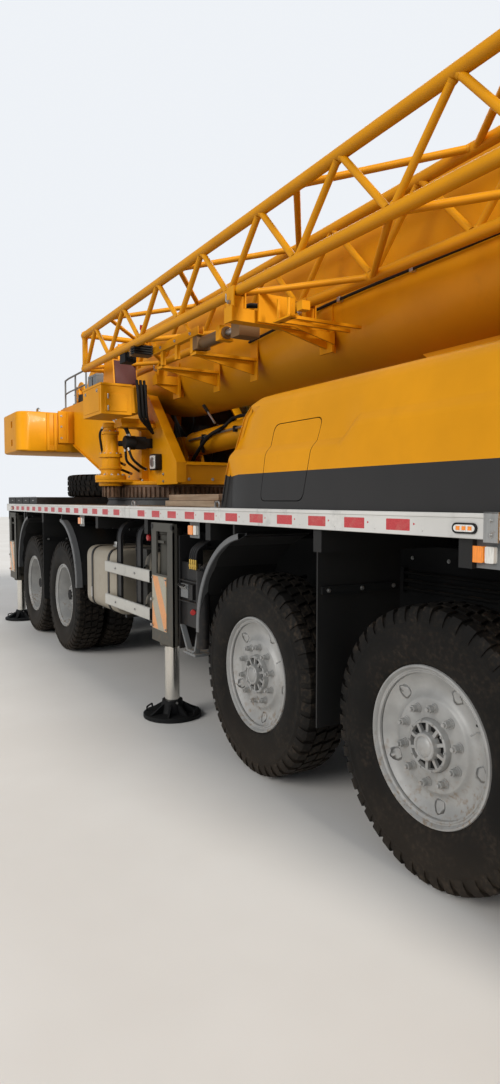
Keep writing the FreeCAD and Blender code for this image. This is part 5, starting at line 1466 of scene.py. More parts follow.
RING_TOP = 1.8503
TURRET_X = (-4.100, -1.985)
PLATE_Y = (0.480, 0.520)
SLEW_X = -3.145
TAIL_X = -6.250
TAIL_TOP = 3.050
WEIGHT_X = (-6.630, -5.600)
WEIGHT_Z = (2.370, 2.930)
WEIGHT_HALF = 1.300
DRIVE = (-2.920, -0.897)
VALVE_X = (-2.900, -2.310)
VALVE_Y = (-1.200, -0.880)
VALVE_Z = (2.545, 2.840)
CYLINDER = (-2.850, 2.300)
BARREL = 3.850
PLATE_OUTLINE = [(-1.985, RING_TOP), (-1.985, 2.065), (-2.700, 2.805), (-4.070, 3.085), (-4.330, 3.330),
                 (-4.520, 3.390), (-4.780, 3.390), (-4.900, 3.260), (-4.980, 3.050), (TAIL_X, 3.050),
                 (TAIL_X, 2.9305), (-5.600, 2.9305), (-5.600, 2.500), (-4.300, 2.060), (-4.100, RING_TOP)]


def fold(form, line, y0, y1, thick, wear=0):
    """A flat strap bent along a line of (x, z), with its thickness to the line's left."""
    offsets = []
    for k, (x, z) in enumerate(line):
        ways = []
        for a, b in ((k - 1, k), (k, k + 1)):
            if a >= 0 and b < len(line):
                step = Vector(line[b]) - Vector(line[a])
                ways.append(Vector((-step.y, step.x)).normalized())
        normal = sum(ways, Vector((0, 0)))
        normal = normal * (thick * len(ways) / normal.length_squared) if len(ways) == 1 else \
            normal * (thick * 2 / normal.length_squared)
        offsets.append((x + normal.x, z + normal.y))
    form.prism(list(line) + offsets[::-1], "y", y0, y1, wear)


def turret_form():
    """Side plates with folded front flanges, floor, belly, pivot bosses, cylinder feet and brackets."""
    form = Form()
    for side in (-1, 1):
        y0, y1 = sorted((side * PLATE_Y[0], side * PLATE_Y[1]))
        form.prism(round_outline(PLATE_OUTLINE, 0.035), "y", y0, y1, 0)
        f0, f1 = sorted((side * 0.435, side * 0.545))
        fold(form, [(-1.983, 1.866), (-1.983, 2.064), (-2.698, 2.803), (-3.20, 2.906)], f0, f1, -0.014, 0)
        fold(form, [(-3.60, 2.990), (-4.075, 3.087), (-4.335, 3.332)], *sorted((side * 0.45, side * 0.53)), -0.010, 0)
        fold(form, [(-5.602, 2.500), (-4.300, 2.061), (-4.115, 1.866)], f0, f1, -0.012, 0)
        b0, b1 = sorted((side * 0.521, side * 0.548))
        form.lathe([(b0, 0.0), (b0, 0.165), (b1, 0.160), (b1, 0.0)], (-4.650, 0, 3.200), (0, 1, 0), 40, 0,
                   closed=False)
        form.rod((-4.65, b0, 3.2), (-4.65, side * 0.560, 3.2), 0.072, 28, 1)
        form.block((-4.73, side * 0.548, 3.235), (-4.57, side * 0.560, 3.262), 1)
        for x in (-4.71, -4.59):
            form.bolt((x, side * 0.560, 3.248), (0, side, 0), 0.014, 1)
        r0, r1 = sorted((side * 0.521, side * 0.600))
        form.block((-2.835, r0, 1.895), (-2.765, r1, 2.560), 0)
        form.prism([(-2.86, 1.893), (-2.74, 1.893), (-2.77, 1.930), (-2.83, 1.930)], "y", r0, r1 + 0.02, 0)
        form.block((-3.76, r0, 1.895), (-3.72, r1 - 0.02, 2.62), 0)
        # Thin black sheet just inside each side plate: painted shade on the plates' inner faces.
        shade_sheet_y0, shade_sheet_y1 = sorted((side * 0.470, side * 0.4795))
        form.prism([(-2.10, 1.90), (-2.10, 2.10), (-2.74, 2.76), (-4.02, 3.02), (-4.10, 2.20), (-3.90, 1.92)],
                   "y", shade_sheet_y0, shade_sheet_y1, 2)
        for x, z in ((-2.35, 1.96), (-3.35, 1.96), (-3.95, 1.96), (-2.35, 1.885)):
            form.bolt((x, side * 0.521, z), (0, side, 0), 0.016, 1)
    form.lathe([(0.0, 0.0), (0.0, 0.80), (0.008, 0.806), (0.034, 0.806), (0.042, 0.80), (0.042, 0.0)],
               (SLEW_X, 0, RING_TOP), (0, 0, 1), 72, 0, closed=False)
    for i in range(40):
        turn = 2 * math.pi * i / 40
        x, y = SLEW_X + 0.765 * math.cos(turn), 0.765 * math.sin(turn)
        if abs(y) > 0.56 or x < TURRET_X[0] or x > TURRET_X[1]:
            form.bolt((x, y, RING_TOP + 0.042), (0, 0, 1), 0.022, 1)
    form.block((TURRET_X[0], -0.48, RING_TOP), (TURRET_X[1], 0.48, RING_TOP + 0.040), 0)
    form.block((TURRET_X[1] - 0.040, -0.48, RING_TOP + 0.04), (TURRET_X[1], 0.48, 2.065), 0)
    fold(form, [(-2.06, 2.066), (-1.986, 2.066), (-1.970, 2.04)], -0.435, 0.435, 0.010, 0)
    for y in (-0.40, -0.13, 0.13, 0.40):
        form.bolt((TURRET_X[1], y, 1.90), (1, 0, 0), 0.016, 1)
    form.prism([(-4.10, RING_TOP), (-4.06, RING_TOP), (-4.06, 2.08), (-5.60, 2.540), (-5.60, 2.500), (-4.30, 2.061)],
               "y", -0.48, 0.48, 0)
    form.block((TAIL_X, -0.48, TAIL_TOP - 0.03), (TAIL_X + 1.10, 0.48, TAIL_TOP), 0)
    form.block((-5.60, -0.74, 2.50), (-5.56, 0.74, 2.95), 0)
    for y in (-0.70, 0.70):
        for z in (2.57, 2.73, 2.88):
            form.bolt((-5.56, y, z), (1, 0, 0), 0.015, 1)
    for y in (-0.62, -0.50, 0.50, 0.62):
        form.block((-5.56, y - 0.010, 2.50), (-5.52, y + 0.010, 2.94), 0)
    for side in (-1, 1):
        y0, y1 = sorted((side * 0.075, side * 0.115))
        foot = round_outline([(-3.08, 1.89), (-2.56, 1.89), (-2.74, 2.30), (-2.77, 2.40), (-2.93, 2.40), (-2.96, 2.30)],
                             0.05)
        form.prism(foot, "y", y0, y1, 0)
        form.rod((CYLINDER[0], side * 0.115, CYLINDER[1]), (CYLINDER[0], side * 0.126, CYLINDER[1]), 0.075, 28, 0)
        form.rod((CYLINDER[0], side * 0.126, CYLINDER[1]), (CYLINDER[0], side * 0.132, CYLINDER[1]), 0.044, 24, 1)
    form.rod((CYLINDER[0], -0.112, CYLINDER[1]), (CYLINDER[0], 0.112, CYLINDER[1]), 0.0445, 24, 1)
    for x in (-2.90, -2.33):
        form.block((x, 0.52, 2.055), (x + 0.09, 1.32, 2.10), 0)
        form.prism([(x, 2.055), (x + 0.09, 2.055), (x + 0.09, 2.03), (x, 2.03)], "y", 0.52, 1.28, 0)
        form.prism([(0.52, 2.03), (0.90, 2.03), (0.52, 1.90)], "x", x + 0.035, x + 0.055, 0)
    plate = [(-2.755, -0.48), (-2.755, -0.897)]
    for k in range(1, 12):
        turn = math.radians(-15 * k)
        plate.append((DRIVE[0] + 0.165 * math.cos(turn), DRIVE[1] + 0.165 * math.sin(turn)))
    plate += [(-3.085, -0.897), (-3.085, -0.48)]
    form.prism(plate, "z", RING_TOP + 0.030, RING_TOP + 0.058, 0)
    form.block((-2.79, VALVE_Y[1] - 0.02, VALVE_Z[0] - 0.09), (-2.55, -0.52, VALVE_Z[0] - 0.05), 0)
    form.prism([(-0.52, 2.455), (-0.66, 2.455), (-0.52, 2.40)], "x", -2.775, -2.760, 0)
    return form


def reducer_form():
    """Upright slewing reducer: motor, column, flanged gear stages, foot flange and toothed pinion."""
    form = Form()
    z = RING_TOP
    form.lathe([(1.956, 0.0), (1.956, 0.165), (1.950, 0.168), (1.910, 0.168), (1.904, 0.165), (1.904, 0.0)],
               (*DRIVE, 0), (0, 0, 1), 48, 0, closed=False)
    rows = [(1.95, 0.0), (1.95, 0.118), (1.985, 0.106), (2.020, 0.106), (2.024, 0.120), (2.050, 0.120), (2.054, 0.106),
            (2.146, 0.104), (2.150, 0.126), (2.188, 0.126), (2.192, 0.092), (2.230, 0.080), (2.395, 0.080),
            (2.400, 0.094), (2.428, 0.094), (2.434, 0.070), (2.470, 0.066), (2.474, 0.082), (2.512, 0.082),
            (2.520, 0.074), (2.520, 0.0)]
    form.lathe(rows, (*DRIVE, 0), (0, 0, 1), 44, 0, closed=False)
    for z0, radius, count, size in ((1.956, 0.145, 12, 0.018), (2.188, 0.110, 10, 0.013), (2.428, 0.083, 8, 0.010),
                                    (2.512, 0.062, 4, 0.012)):
        for i in range(count):
            turn = 2 * math.pi * (i + 0.5) / count
            form.bolt((DRIVE[0] + radius * math.cos(turn), DRIVE[1] + radius * math.sin(turn), z0), (0, 0, 1), size, 1)
    form.lathe([(1.840, 0.0), (1.840, 0.122), (1.850, 0.128), (1.905, 0.128), (1.905, 0.0)], (*DRIVE, 0), (0, 0, 1),
               40, 0, closed=False)
    outline = []
    for i in range(13):
        for share, radius in ((0.0, 0.074), (0.25, 0.074), (0.42, 0.096), (0.82, 0.096)):
            turn = 2 * math.pi * (i + share) / 13
            outline.append((DRIVE[0] + radius * math.cos(turn), DRIVE[1] + radius * math.sin(turn)))
    form.prism(outline, "z", 1.724, 1.838, 2)
    return form


def motor_form():
    """Black brake motor beside the reducer, its manifold and its hoses."""
    form = Form()
    form.lathe([(-0.060, 0.0), (-0.060, 0.066), (-0.050, 0.074), (0.055, 0.074), (0.065, 0.060), (0.065, 0.0)],
               (-2.68, -0.765, 2.300), (0, 1, 0), 32, 0, closed=False)
    form.block((-2.74, -0.72, 2.235), (-2.62, -0.60, 2.365), 0)
    form.block((-2.80, -0.79, 2.262), (-2.72, -0.72, 2.338), 0)
    form.rod((-2.80, -0.755, 2.30), (-2.85, -0.83, 2.30), 0.030, 16, 0)
    form.block((-2.72, -0.62, 2.25), (-2.64, -0.52, 2.35), 0)
    routes = ([(-2.66, -0.77, 2.36), (-2.66, -0.80, 2.44), (-2.70, -0.86, 2.52), (-2.72, -0.90, 2.55)],
              [(-2.70, -0.77, 2.36), (-2.72, -0.80, 2.46), (-2.78, -0.86, 2.50), (-2.80, -0.90, 2.55)],
              [(-2.63, -0.80, 2.24), (-2.58, -0.78, 2.12), (-2.62, -0.66, 2.04), (-2.72, -0.56, 2.02)],
              [(-2.72, -0.80, 2.24), (-2.70, -0.80, 2.10), (-2.76, -0.66, 2.02), (-2.90, -0.56, 2.00)],
              [(-3.02, -0.90, 2.34), (-3.10, -0.88, 2.22), (-3.08, -0.80, 2.06), (-3.05, -0.60, 1.98)],
              [(-2.98, -0.95, 2.49), (-3.10, -0.96, 2.42), (-3.12, -0.92, 2.20), (-3.10, -0.66, 2.08)])
    for route in routes:
        form.tube([Vector(p) for p in route], 0.014, 10, 0, 0.05)
        for end, near in ((route[0], route[1]), (route[-1], route[-2])):
            way = (Vector(end) - Vector(near)).normalized()
            form.rod(Vector(end) - way * 0.035, Vector(end), 0.017, 6, 1)
    return form


def valve_form():
    """Valve cabinet with lid, lower box, panel above it and two small grey boxes behind."""
    form = Form()
    x0, x1 = VALVE_X
    y0, y1 = VALVE_Y
    z0, z1 = VALVE_Z
    form.block((x0, y0, z0), (x1, y1, z1), 0)
    form.block((x0 - 0.006, y0 - 0.006, z1 - 0.012), (x1 + 0.010, y1, z1 + 0.012), 0)
    form.block((x1, y0 + 0.04, z0 + 0.03), (x1 + 0.008, y1 - 0.05, z1 - 0.09), 0)
    form.block((x0 + 0.05, y0 - 0.005, z0 + 0.03), (x1 - 0.05, y0, z1 - 0.04), 0)
    for x in (x0 + 0.10, x1 - 0.12):
        form.block((x, y0 - 0.010, z1 - 0.075), (x + 0.030, y0, z1 - 0.040), 1)
        form.rod((x + 0.015, y0 - 0.010, z1 - 0.058), (x + 0.015, y0 - 0.018, z1 - 0.058), 0.010, 12, 1)
    for z in (z0 + 0.06, z1 - 0.12):
        form.rod((x1 + 0.010, y0 + 0.07, z - 0.025), (x1 + 0.010, y0 + 0.07, z + 0.025), 0.008, 10, 1)
    form.block((-2.77, -0.90, VALVE_Z[0] - 0.05), (-2.57, -0.60, VALVE_Z[0]), 0)
    form.prism([(y1, z0 + 0.02), (-0.70, z0 + 0.05), (-0.70, z1 - 0.02), (y1, z1)], "x", x0 + 0.08, x1 - 0.02, 0)
    form.block((x1 - 0.02, -0.80, z0 - 0.02), (x1 + 0.02, -0.72, z1 + 0.02), 2)
    for k, y in enumerate((-0.83, -0.79, -0.75)):
        form.tube([Vector((x1 + 0.01, y, z1 + 0.06)), Vector((x1 + 0.045, y, z1 - 0.05)),
                   Vector((x1 + 0.03, y + 0.02, z0 - 0.02)), Vector((x1 - 0.12, -0.60, z0 - 0.16))], 0.015, 10, 2, 0.06)
    form.prism([(-2.78, z1 + 0.012), (-2.44, z1 + 0.012), (-2.48, 3.125), (-2.74, 3.125)], "y", -1.02, -0.76, 0)
    panel = [(-2.440, z1 + 0.035), (-2.431, z1 + 0.035), (-2.468, 3.112), (-2.478, 3.112)]
    form.prism(panel, "y", -1.005, -0.775, 3)
    for z in (2.93, 3.01, 3.08):
        form.block((-2.455 - (z - 2.85) * 0.15, -1.00, z), (-2.430 - (z - 2.85) * 0.15, -0.78, z + 0.008), 0)
    for k in range(5):
        y = -0.97 + 0.045 * k
        form.rod((-2.75, y, 3.12), (-2.75, y, 3.16), 0.007, 8, 1)
        form.rod((-2.75, y, 3.155), (-2.75, y, 3.185), 0.013, 12, 2, 0.010)
    form.block((-4.06, -0.80, 2.955), (-3.70, -0.52, 2.975), 0)
    for x in (-4.04, -3.86):
        form.block((x, -0.78, 2.975), (x + 0.135, -0.62, 3.190), 4)
        form.block((x - 0.003, -0.783, 3.165), (x + 0.138, -0.617, 3.195), 4)
        form.rod((x + 0.11, -0.70, 3.19), (x + 0.11, -0.70, 3.23), 0.012, 10, 1)
    return form


def work_lamp(form, x, y, z, side, wears):
    """Square work lamp with a dark bezel, bright bowl and bracket, facing sideways."""
    body, bezel, glass, steel = wears
    out = side
    ring = round_outline([(x - 0.085, z - 0.085), (x + 0.085, z - 0.085), (x + 0.085, z + 0.085),
                          (x - 0.085, z + 0.085)], 0.025)
    form.prism(ring, "y", *sorted((y, y + out * 0.070)), bezel)
    face = round_outline([(x - 0.070, z - 0.070), (x + 0.070, z - 0.070), (x + 0.070, z + 0.070),
                          (x - 0.070, z + 0.070)], 0.020)
    form.prism(face, "y", *sorted((y + out * 0.069, y + out * 0.074)), glass)
    form.lathe([(0.0, 0.0), (0.0, 0.048), (0.006, 0.052), (0.009, 0.047), (0.005, 0.0)],
               (x, y + out * 0.073, z), (0, out, 0), 28, steel, closed=False)
    form.block((x - 0.02, min(y, y - out * 0.02), z - 0.13), (x + 0.02, max(y, y - out * 0.02) + 0.01, z), body)


def weight_form():
    """Counterweight block with soft corners."""
    form = Form()
    x0, x1 = WEIGHT_X
    z0, z1 = WEIGHT_Z
    h = WEIGHT_HALF
    plan = round_outline([(x0, -h), (x1, -h), (x1, h), (x0, h)], 0.165, 8)
    rings = []
    for z, inset in ((z0, 0.022), (z0 + 0.008, 0.008), (z0 + 0.022, 0.0), (z1 - 0.022, 0.0), (z1 - 0.008, 0.008),
                     (z1, 0.022)):
        rings.append([(x + (inset if x < -6.115 else -inset), y + (inset if y < 0 else -inset), z) for x, y in plan])
    form.loft(rings, 0, closed=True, ends=True)
    return form


def weight_fittings():
    form = Form()
    x1 = WEIGHT_X[1]
    for side in (-1, 1):
        for y in (0.765, 0.865):
            form.block((x1 - 0.004, *sorted((side * y, side * (y + 0.035)))[:1], WEIGHT_Z[0] + 0.02),
                       (x1 + 0.030, max(side * y, side * (y + 0.035)), WEIGHT_Z[1] - 0.01), 0)
        form.block((x1 - 0.002, min(side * 0.765, side * 0.90), WEIGHT_Z[0] + 0.02),
                   (x1 + 0.012, max(side * 0.765, side * 0.90), WEIGHT_Z[0] + 0.09), 0)
        for x in (-6.42, -5.86):
            form.tube([Vector((x - 0.06, side * 0.95, WEIGHT_Z[1] - 0.02)), Vector((x - 0.06, side * 0.95, 3.00)),
                       Vector((x + 0.06, side * 0.95, 3.00)), Vector((x + 0.06, side * 0.95, WEIGHT_Z[1] - 0.02))],
                      0.014, 10, 1, 0.05)
    return form


def rail_form(form, points, height, radius, wear, posts):
    """Hand rail along points with a knee rail and posts down to the deck."""
    top = [Vector((x, y, z + height)) for x, y, z in points]
    form.tube(top, radius, 10, wear, 0.08)
    form.tube([p - Vector((0, 0, height * 0.48)) for p in top], radius * 0.85, 8, wear, 0.08)
    for x, y, z in posts:
        form.rod((x, y, z), (x, y, z + height), radius, 10, wear)
        form.block((x - 0.03, y - 0.03, z), (x + 0.03, y + 0.03, z + 0.008), wear)


def winch_form():
    """Two rope drums with coiled rope, side frames, motors, pressure rollers and base plate."""
    form = Form()
    form.block((TAIL_X, -0.48, TAIL_TOP), (TAIL_X + 1.14, 0.48, TAIL_TOP + 0.02), 0)
    z = TAIL_TOP + 0.21
    for x in (TAIL_X + 0.90, TAIL_X + 0.27):
        form.lathe([(-0.290, 0.0), (-0.290, 0.186), (-0.286, 0.190), (-0.272, 0.190), (-0.268, 0.186), (-0.268, 0.10),
                    (0.268, 0.10), (0.268, 0.186), (0.272, 0.190), (0.286, 0.190), (0.290, 0.186), (0.290, 0.0)],
                   (x, 0, z), (0, 1, 0), 48, 0, closed=False)
        coils = []
        for k in range(28):
            y = -0.262 + 0.0188 * k
            coils += [(y, 0.122), (y + 0.005, 0.133), (y + 0.0094, 0.1365), (y + 0.0138, 0.133)]
        form.lathe([(-0.264, 0.10)] + coils + [(0.264, 0.10)], (x, 0, z), (0, 1, 0), 40, 2, closed=False)
        for side in (-1, 1):
            y0, y1 = sorted((side * 0.292, side * 0.330))
            outline = round_outline([(x - 0.15, TAIL_TOP + 0.02), (x + 0.15, TAIL_TOP + 0.02), (x + 0.08, z + 0.06),
                                     (x - 0.08, z + 0.06)], 0.03)
            form.prism(outline, "y", y0, y1, 0)
            form.rod((x, side * 0.330, z), (x, side * 0.345, z), 0.115, 32, 0)
            for i in range(8):
                turn = 2 * math.pi * i / 8
                form.bolt((x + 0.095 * math.cos(turn), side * 0.345, z + 0.095 * math.sin(turn)), (0, side, 0), 0.014, 1)
            for dx in (-0.11, 0.11):
                form.bolt((x + dx, side * 0.36, TAIL_TOP + 0.02), (0, 0, 1), 0.018, 1)
        form.lathe([(0.0, 0.0), (0.0, 0.088), (0.080, 0.088), (0.085, 0.070), (0.105, 0.068), (0.115, 0.0)],
                   (x, 0.345, z), (0, 1, 0), 32, 0, closed=False)
        form.block((x - 0.045, 0.36, z + 0.06), (x + 0.045, 0.44, z + 0.11), 3)
        form.block((x - 0.02, -0.27, z + 0.145), (x + 0.02, 0.27, z + 0.160), 0)
        for y in (-0.12, 0.12):
            form.lathe([(-0.10, 0.0), (-0.10, 0.026), (0.10, 0.026), (0.10, 0.0)], (x - 0.16, y, z + 0.03), (0, 1, 0),
                       20, 1, closed=False)
    for side in (-1, 1):
        rail_form(form, [(-6.22, side * 0.44, 3.07), (-5.98, side * 0.46, 3.07), (-5.15, side * 0.46, 3.07)], 0.42,
                  0.013, 4, [(-6.20, side * 0.452, 3.07), (-5.66, side * 0.46, 3.07), (-5.15, side * 0.46, 3.07)])
        form.block((-5.62, min(side * 0.36, side * 0.43), 3.07), (-5.50, max(side * 0.36, side * 0.43), 3.20), 3)
    for k in range(4):
        form.tube([Vector((-5.35 + 0.02 * k, 0.40, 3.32)), Vector((-5.20, 0.40 - 0.02 * k, 3.42)),
                   Vector((-5.05, 0.36 - 0.03 * k, 3.22)), Vector((-4.95, 0.34 - 0.03 * k, 3.04))], 0.012, 8, 3, 0.06)
    return form


def barrel_form():
    """Luffing cylinder barrel with end cap, gland, port blocks, hard pipes and hose."""
    form = Form()
    start = Vector((CYLINDER[0], 0, CYLINDER[1]))
    way = Vector((4.300, 0, 0.180)).normalized()
    form.lathe([(-0.065, 0.046), (-0.065, 0.100), (-0.058, 0.106), (0.058, 0.106), (0.065, 0.100), (0.065, 0.046)],
               start, (0, 1, 0), 40, 0)
    form.lathe([(0.095, 0.0), (0.095, 0.078), (0.19, 0.086), (0.20, 0.128), (0.206, 0.134), (0.290, 0.134),
                (0.296, 0.132), (BARREL - 0.150, 0.132), (BARREL - 0.146, 0.144), (BARREL - 0.006, 0.144),
                (BARREL, 0.138), (BARREL, 0.0925)], start, way, 48, 0, closed=False)
    form.lathe([(BARREL, 0.0925), (BARREL, 0.118), (BARREL + 0.006, 0.112), (BARREL + 0.006, 0.0925)], start, way, 40,
               1, closed=False)
    for i in range(12):
        turn = 2 * math.pi * i / 12
        spot = start + way * BARREL + Vector((-way.z * math.sin(turn), math.cos(turn), way.x * math.sin(turn))) * 0.127
        form.bolt(spot, way, 0.014, 1)
    for side in (-1, 1):
        a, b = start + way * 0.34, start + way * (BARREL - 0.10)
        out = Vector((0, side * 0.150, 0.02))
        form.tube([a + Vector((0, side * 0.10, 0)), a + out, b + out, b + Vector((0, side * 0.12, 0))], 0.012, 8, 1, 0.05)
        for k in range(5):
            spot = start + way * (0.70 + 0.68 * k)
            form.block(spot + Vector((-0.02, min(side * 0.125, side * 0.166), -0.012)),
                       spot + Vector((0.02, max(side * 0.125, side * 0.166), 0.045)), 2)
    block = start + way * 0.34
    form.block(block + Vector((-0.06, -0.06, 0.115)), block + Vector((0.08, 0.06, 0.185)), 2)
    low, high = start + way * 0.60, start + way * 1.16
    form.tube([low + Vector((0, -0.10, -0.13)), low + Vector((0.03, -0.150, -0.02)), high + Vector((-0.04, -0.145, 0.06)),
               high + Vector((0, -0.06, 0.150))], 0.017, 10, 2, 0.05)
    form.tube([high + Vector((0, -0.06, 0.150)), high + Vector((0.15, -0.05, 0.165)), high + Vector((0.5, -0.04, 0.150))],
              0.017, 10, 2, 0.05)
    return form


def ring_form():
    """Slewing ring: grey seat, bolted flange, and greased gear with its teeth."""
    form = Form()
    form.lathe([(1.42, 0.64), (1.42, 0.93), (1.452, 0.93), (1.456, 0.90), (1.690, 0.800), (1.694, 0.812),
                (1.714, 0.812), (1.714, 0.64)], (SLEW_X, 0, 0), (0, 0, 1), 72, 0)
    outline = []
    teeth = 96
    for i in range(teeth):
        for share, radius in ((0.0, 0.799), (0.22, 0.799), (0.40, 0.819), (0.82, 0.819)):
            turn = 2 * math.pi * (i + share) / teeth
            outline.append((radius * math.cos(turn), radius * math.sin(turn)))
    inner = [(0.640 * math.cos(math.atan2(y, x)), 0.640 * math.sin(math.atan2(y, x))) for x, y in outline]
    rings = [[(SLEW_X + x, y, z) for x, y in points]
             for points, z in ((outline, 1.716), (outline, 1.826), (inner, 1.826), (inner, 1.716), (outline, 1.716))]
    form.loft(rings, 1, closed=True)
    form.lathe([(1.826, 0.64), (1.826, 0.802), (1.830, 0.806), (1.846, 0.806), (1.8495, 0.80), (1.8495, 0.64)],
               (SLEW_X, 0, 0), (0, 0, 1), 72, 1)
    for i in range(48):
        turn = 2 * math.pi * (i + 0.5) / 48
        x, y = SLEW_X + 0.880 * math.cos(turn), 0.880 * math.sin(turn)
        form.bolt((x, y, 1.462), (0, 0, 1), 0.018, 2)
    return form


def swivel_form():
    """Rotary joint at the middle of the ring with hoses and pipes to the boom's foot."""
    form = Form()
    x = SLEW_X - 0.30
    form.lathe([(1.892, 0.0), (1.892, 0.19), (1.93, 0.19), (1.935, 0.14), (2.03, 0.14), (2.035, 0.155), (2.06, 0.155),
                (2.065, 0.14), (2.16, 0.14), (2.165, 0.10), (2.22, 0.10), (2.225, 0.0)], (x, 0.28, 0), (0, 0, 1), 36, 0,
               closed=False)
    rng = random.Random(9)
    for k in range(9):
        turn = 2 * math.pi * k / 9
        a = Vector((x + 0.14 * math.cos(turn), 0.28 + 0.12 * math.sin(turn), 2.0 + 0.12 * rng.random()))
        b = a + Vector((0.12 * math.cos(turn), 0.05 * math.sin(turn), 0.12))
        c = Vector((-3.75 - 0.05 * k, 0.42 - 0.03 * rng.random(), 2.45 + 0.05 * k))
        d = Vector((-4.15 - 0.04 * k, 0.41, 2.75 + 0.03 * k))
        form.tube([a, b, c, d], 0.013 + 0.003 * rng.random(), 8, 1, 0.10)
    form.rod((-1.90, -0.25, 2.61), (-1.70, -0.25, 2.445), 0.011, 14, 2)
    form.rod((-1.94, -0.25, 2.643), (-1.85, -0.25, 2.570), 0.017, 14, 1)
    form.tube([Vector((-1.71, -0.17, 2.40)), Vector((-1.95, -0.20, 2.34)), Vector((-2.26, -0.18, 2.18)),
               Vector((-2.45, -0.20, 2.00))], 0.019, 10, 1, 0.10)
    for px, pz in ((-3.57, 2.77), (-4.05, 2.58), (-3.20, 2.40), (-2.90, 2.55)):
        form.rod((px, 0.47, pz), (px, 0.42, pz), 0.020, 12, 2)
        form.rod((px, 0.42, pz), (px, 0.40, pz), 0.028, 6, 2)
        form.tube([Vector((px, 0.41, pz)), Vector((px + 0.05, 0.40, pz - 0.10)), Vector((px - 0.15, 0.41, pz - 0.35)),
                   Vector((px - 0.35, 0.42, 1.95))], 0.012, 8, 1, 0.08)
    return form


class CRANE_OT_upper(bpy.types.Operator):
    """Slewing ring, turret frame, reducer, valve cabinet, counterweight, winches and luffing cylinder"""
    bl_idname = "crane.upper"
    bl_label = "Upper works"

    def execute(self, context):
        ring_form().make("ring_gear", ["cone", "gear", "steel"], "carrier", "cast_steel", 0.0, 30, ("slewing_ring",))
        turret_form().make("turret_frame", ["yellow", "steel", "trim"], "turret", "crane_yellow", 0.004, 32,
                           ("turret",))
        reducer_form().make("slewing_reducer", ["worn_yellow", "steel", "gear"], "turret", "crane_yellow", 0.0, 32,
                            ("slewing_drive",))
        motor_form().make("slewing_motor", ["hose", "steel"], "turret", "black_paint", 0.0, 40)
        valve_form().make("valve_cabinet", ["yellow", "steel", "hose", "maroon", "grey"], "turret", "crane_yellow",
                          0.004, 32, ("valve_box",))
        lamps = Form()
        work_lamp(lamps, -2.47, -0.522, 2.088, -1, (0, 1, 2, 3))
        work_lamp(lamps, -3.45, 0.522, 2.40, 1, (0, 1, 2, 3))
        lamps.make("work_lamps", ["yellow", "trim", "lamp", "steel"], "turret", "black_paint", 0.002)
        weight = weight_form().make("counterweight_block", ["yellow"], "turret", "crane_yellow", 0.0, 40,
                                    ("counterweight",))
        pockets = Form()
        for side in (-1, 1):
            for z in (WEIGHT_Z[0] + 0.09, WEIGHT_Z[0] + 0.35):
                pockets.block((-6.02, min(side * 1.24, side * 1.34), z), (-5.93, max(side * 1.24, side * 1.34), z + 0.09))
        carve(weight, loose_cutter(pockets))
        weight_fittings().make("weight_ribs", ["yellow", "steel"], "turret", "crane_yellow", 0.003)
        winch_form().make("rope_winches", ["yellow", "steel", "rope", "hose", "grey"], "turret", "crane_yellow", 0.0,
                          32, ("winches",))
        barrel_form().make("cylinder_barrel", ["yellow", "steel", "hose"], "luffing_barrel", "crane_yellow", 0.0, 32,
                           ("luffing_barrel",))
        rod = Form()
        start = Vector((CYLINDER[0], 0, CYLINDER[1]))
        way = Vector((4.300, 0, 0.180)).normalized()
        length = Vector((4.300, 0, 0.180)).length
        rod.lathe([(0.30, 0.0), (0.30, 0.0895), (length - 0.10, 0.0895), (length - 0.07, 0.07), (length - 0.07, 0.0)],
                  start, way, 44, 0, closed=False)
        rod.lathe([(-0.088, 0.0), (-0.088, 0.098), (-0.080, 0.105), (0.080, 0.105), (0.088, 0.098), (0.088, 0.0)],
                  (EYE[0], 0, EYE[1]), (0, 1, 0), 40, 1, closed=False)
        rod.make("cylinder_rod", ["rod", "yellow"], "luffing_rod", "chrome_rod", 0.0, 32, ("luffing_rod",))
        swivel_form().make("hose_bundle", ["grey", "hose", "steel"], "turret", "black_paint", 0.0, 40)
        return {"FINISHED"}


# Outriggers and the space under the deck

BEAM_LANE = {-1: 0.309, 1: 0.107}
OUTRIGGERS = (("front", -0.195), ("rear", -5.430))
JACK_Y = 1.255


def clip(points, axis, limit, keep_above):
    """The part of a convex outline on one side of a limit along axis 0 or 1."""
    result = []
    for a, b in zip(points, points[1:] + points[:1]):
        inside_a = (a[axis] >= limit) == keep_above
        inside_b = (b[axis] >= limit) == keep_above
        if inside_a:
            result.append(a)
        if inside_a != inside_b:
            t = (limit - a[axis]) / (b[axis] - a[axis])
            result.append((a[0] + (b[0] - a[0]) * t, a[1] + (b[1] - a[1]) * t))
    return result


def chevrons(form, x0, x1, z0, z1, face, out, wears):
    """Slanted warning stripes on a board."""
    step = 0.200
    k = 0
    low = z0 - (x1 - x0) * 1.75
    while low < z1:
        stripe = [(x0, low + (x1 - x0) * 1.75), (x1, low), (x1, low + step), (x0, low + step + (x1 - x0) * 1.75)]
        for axis, limit, above in ((1, z0, True), (1, z1, False)):
            stripe = clip(stripe, axis, limit, above) if len(stripe) > 2 else []
        if len(stripe) > 2:
            form.prism(stripe, "y", *sorted((face, face + out * 0.003)), wears[k % 2])
        low += step
        k += 1


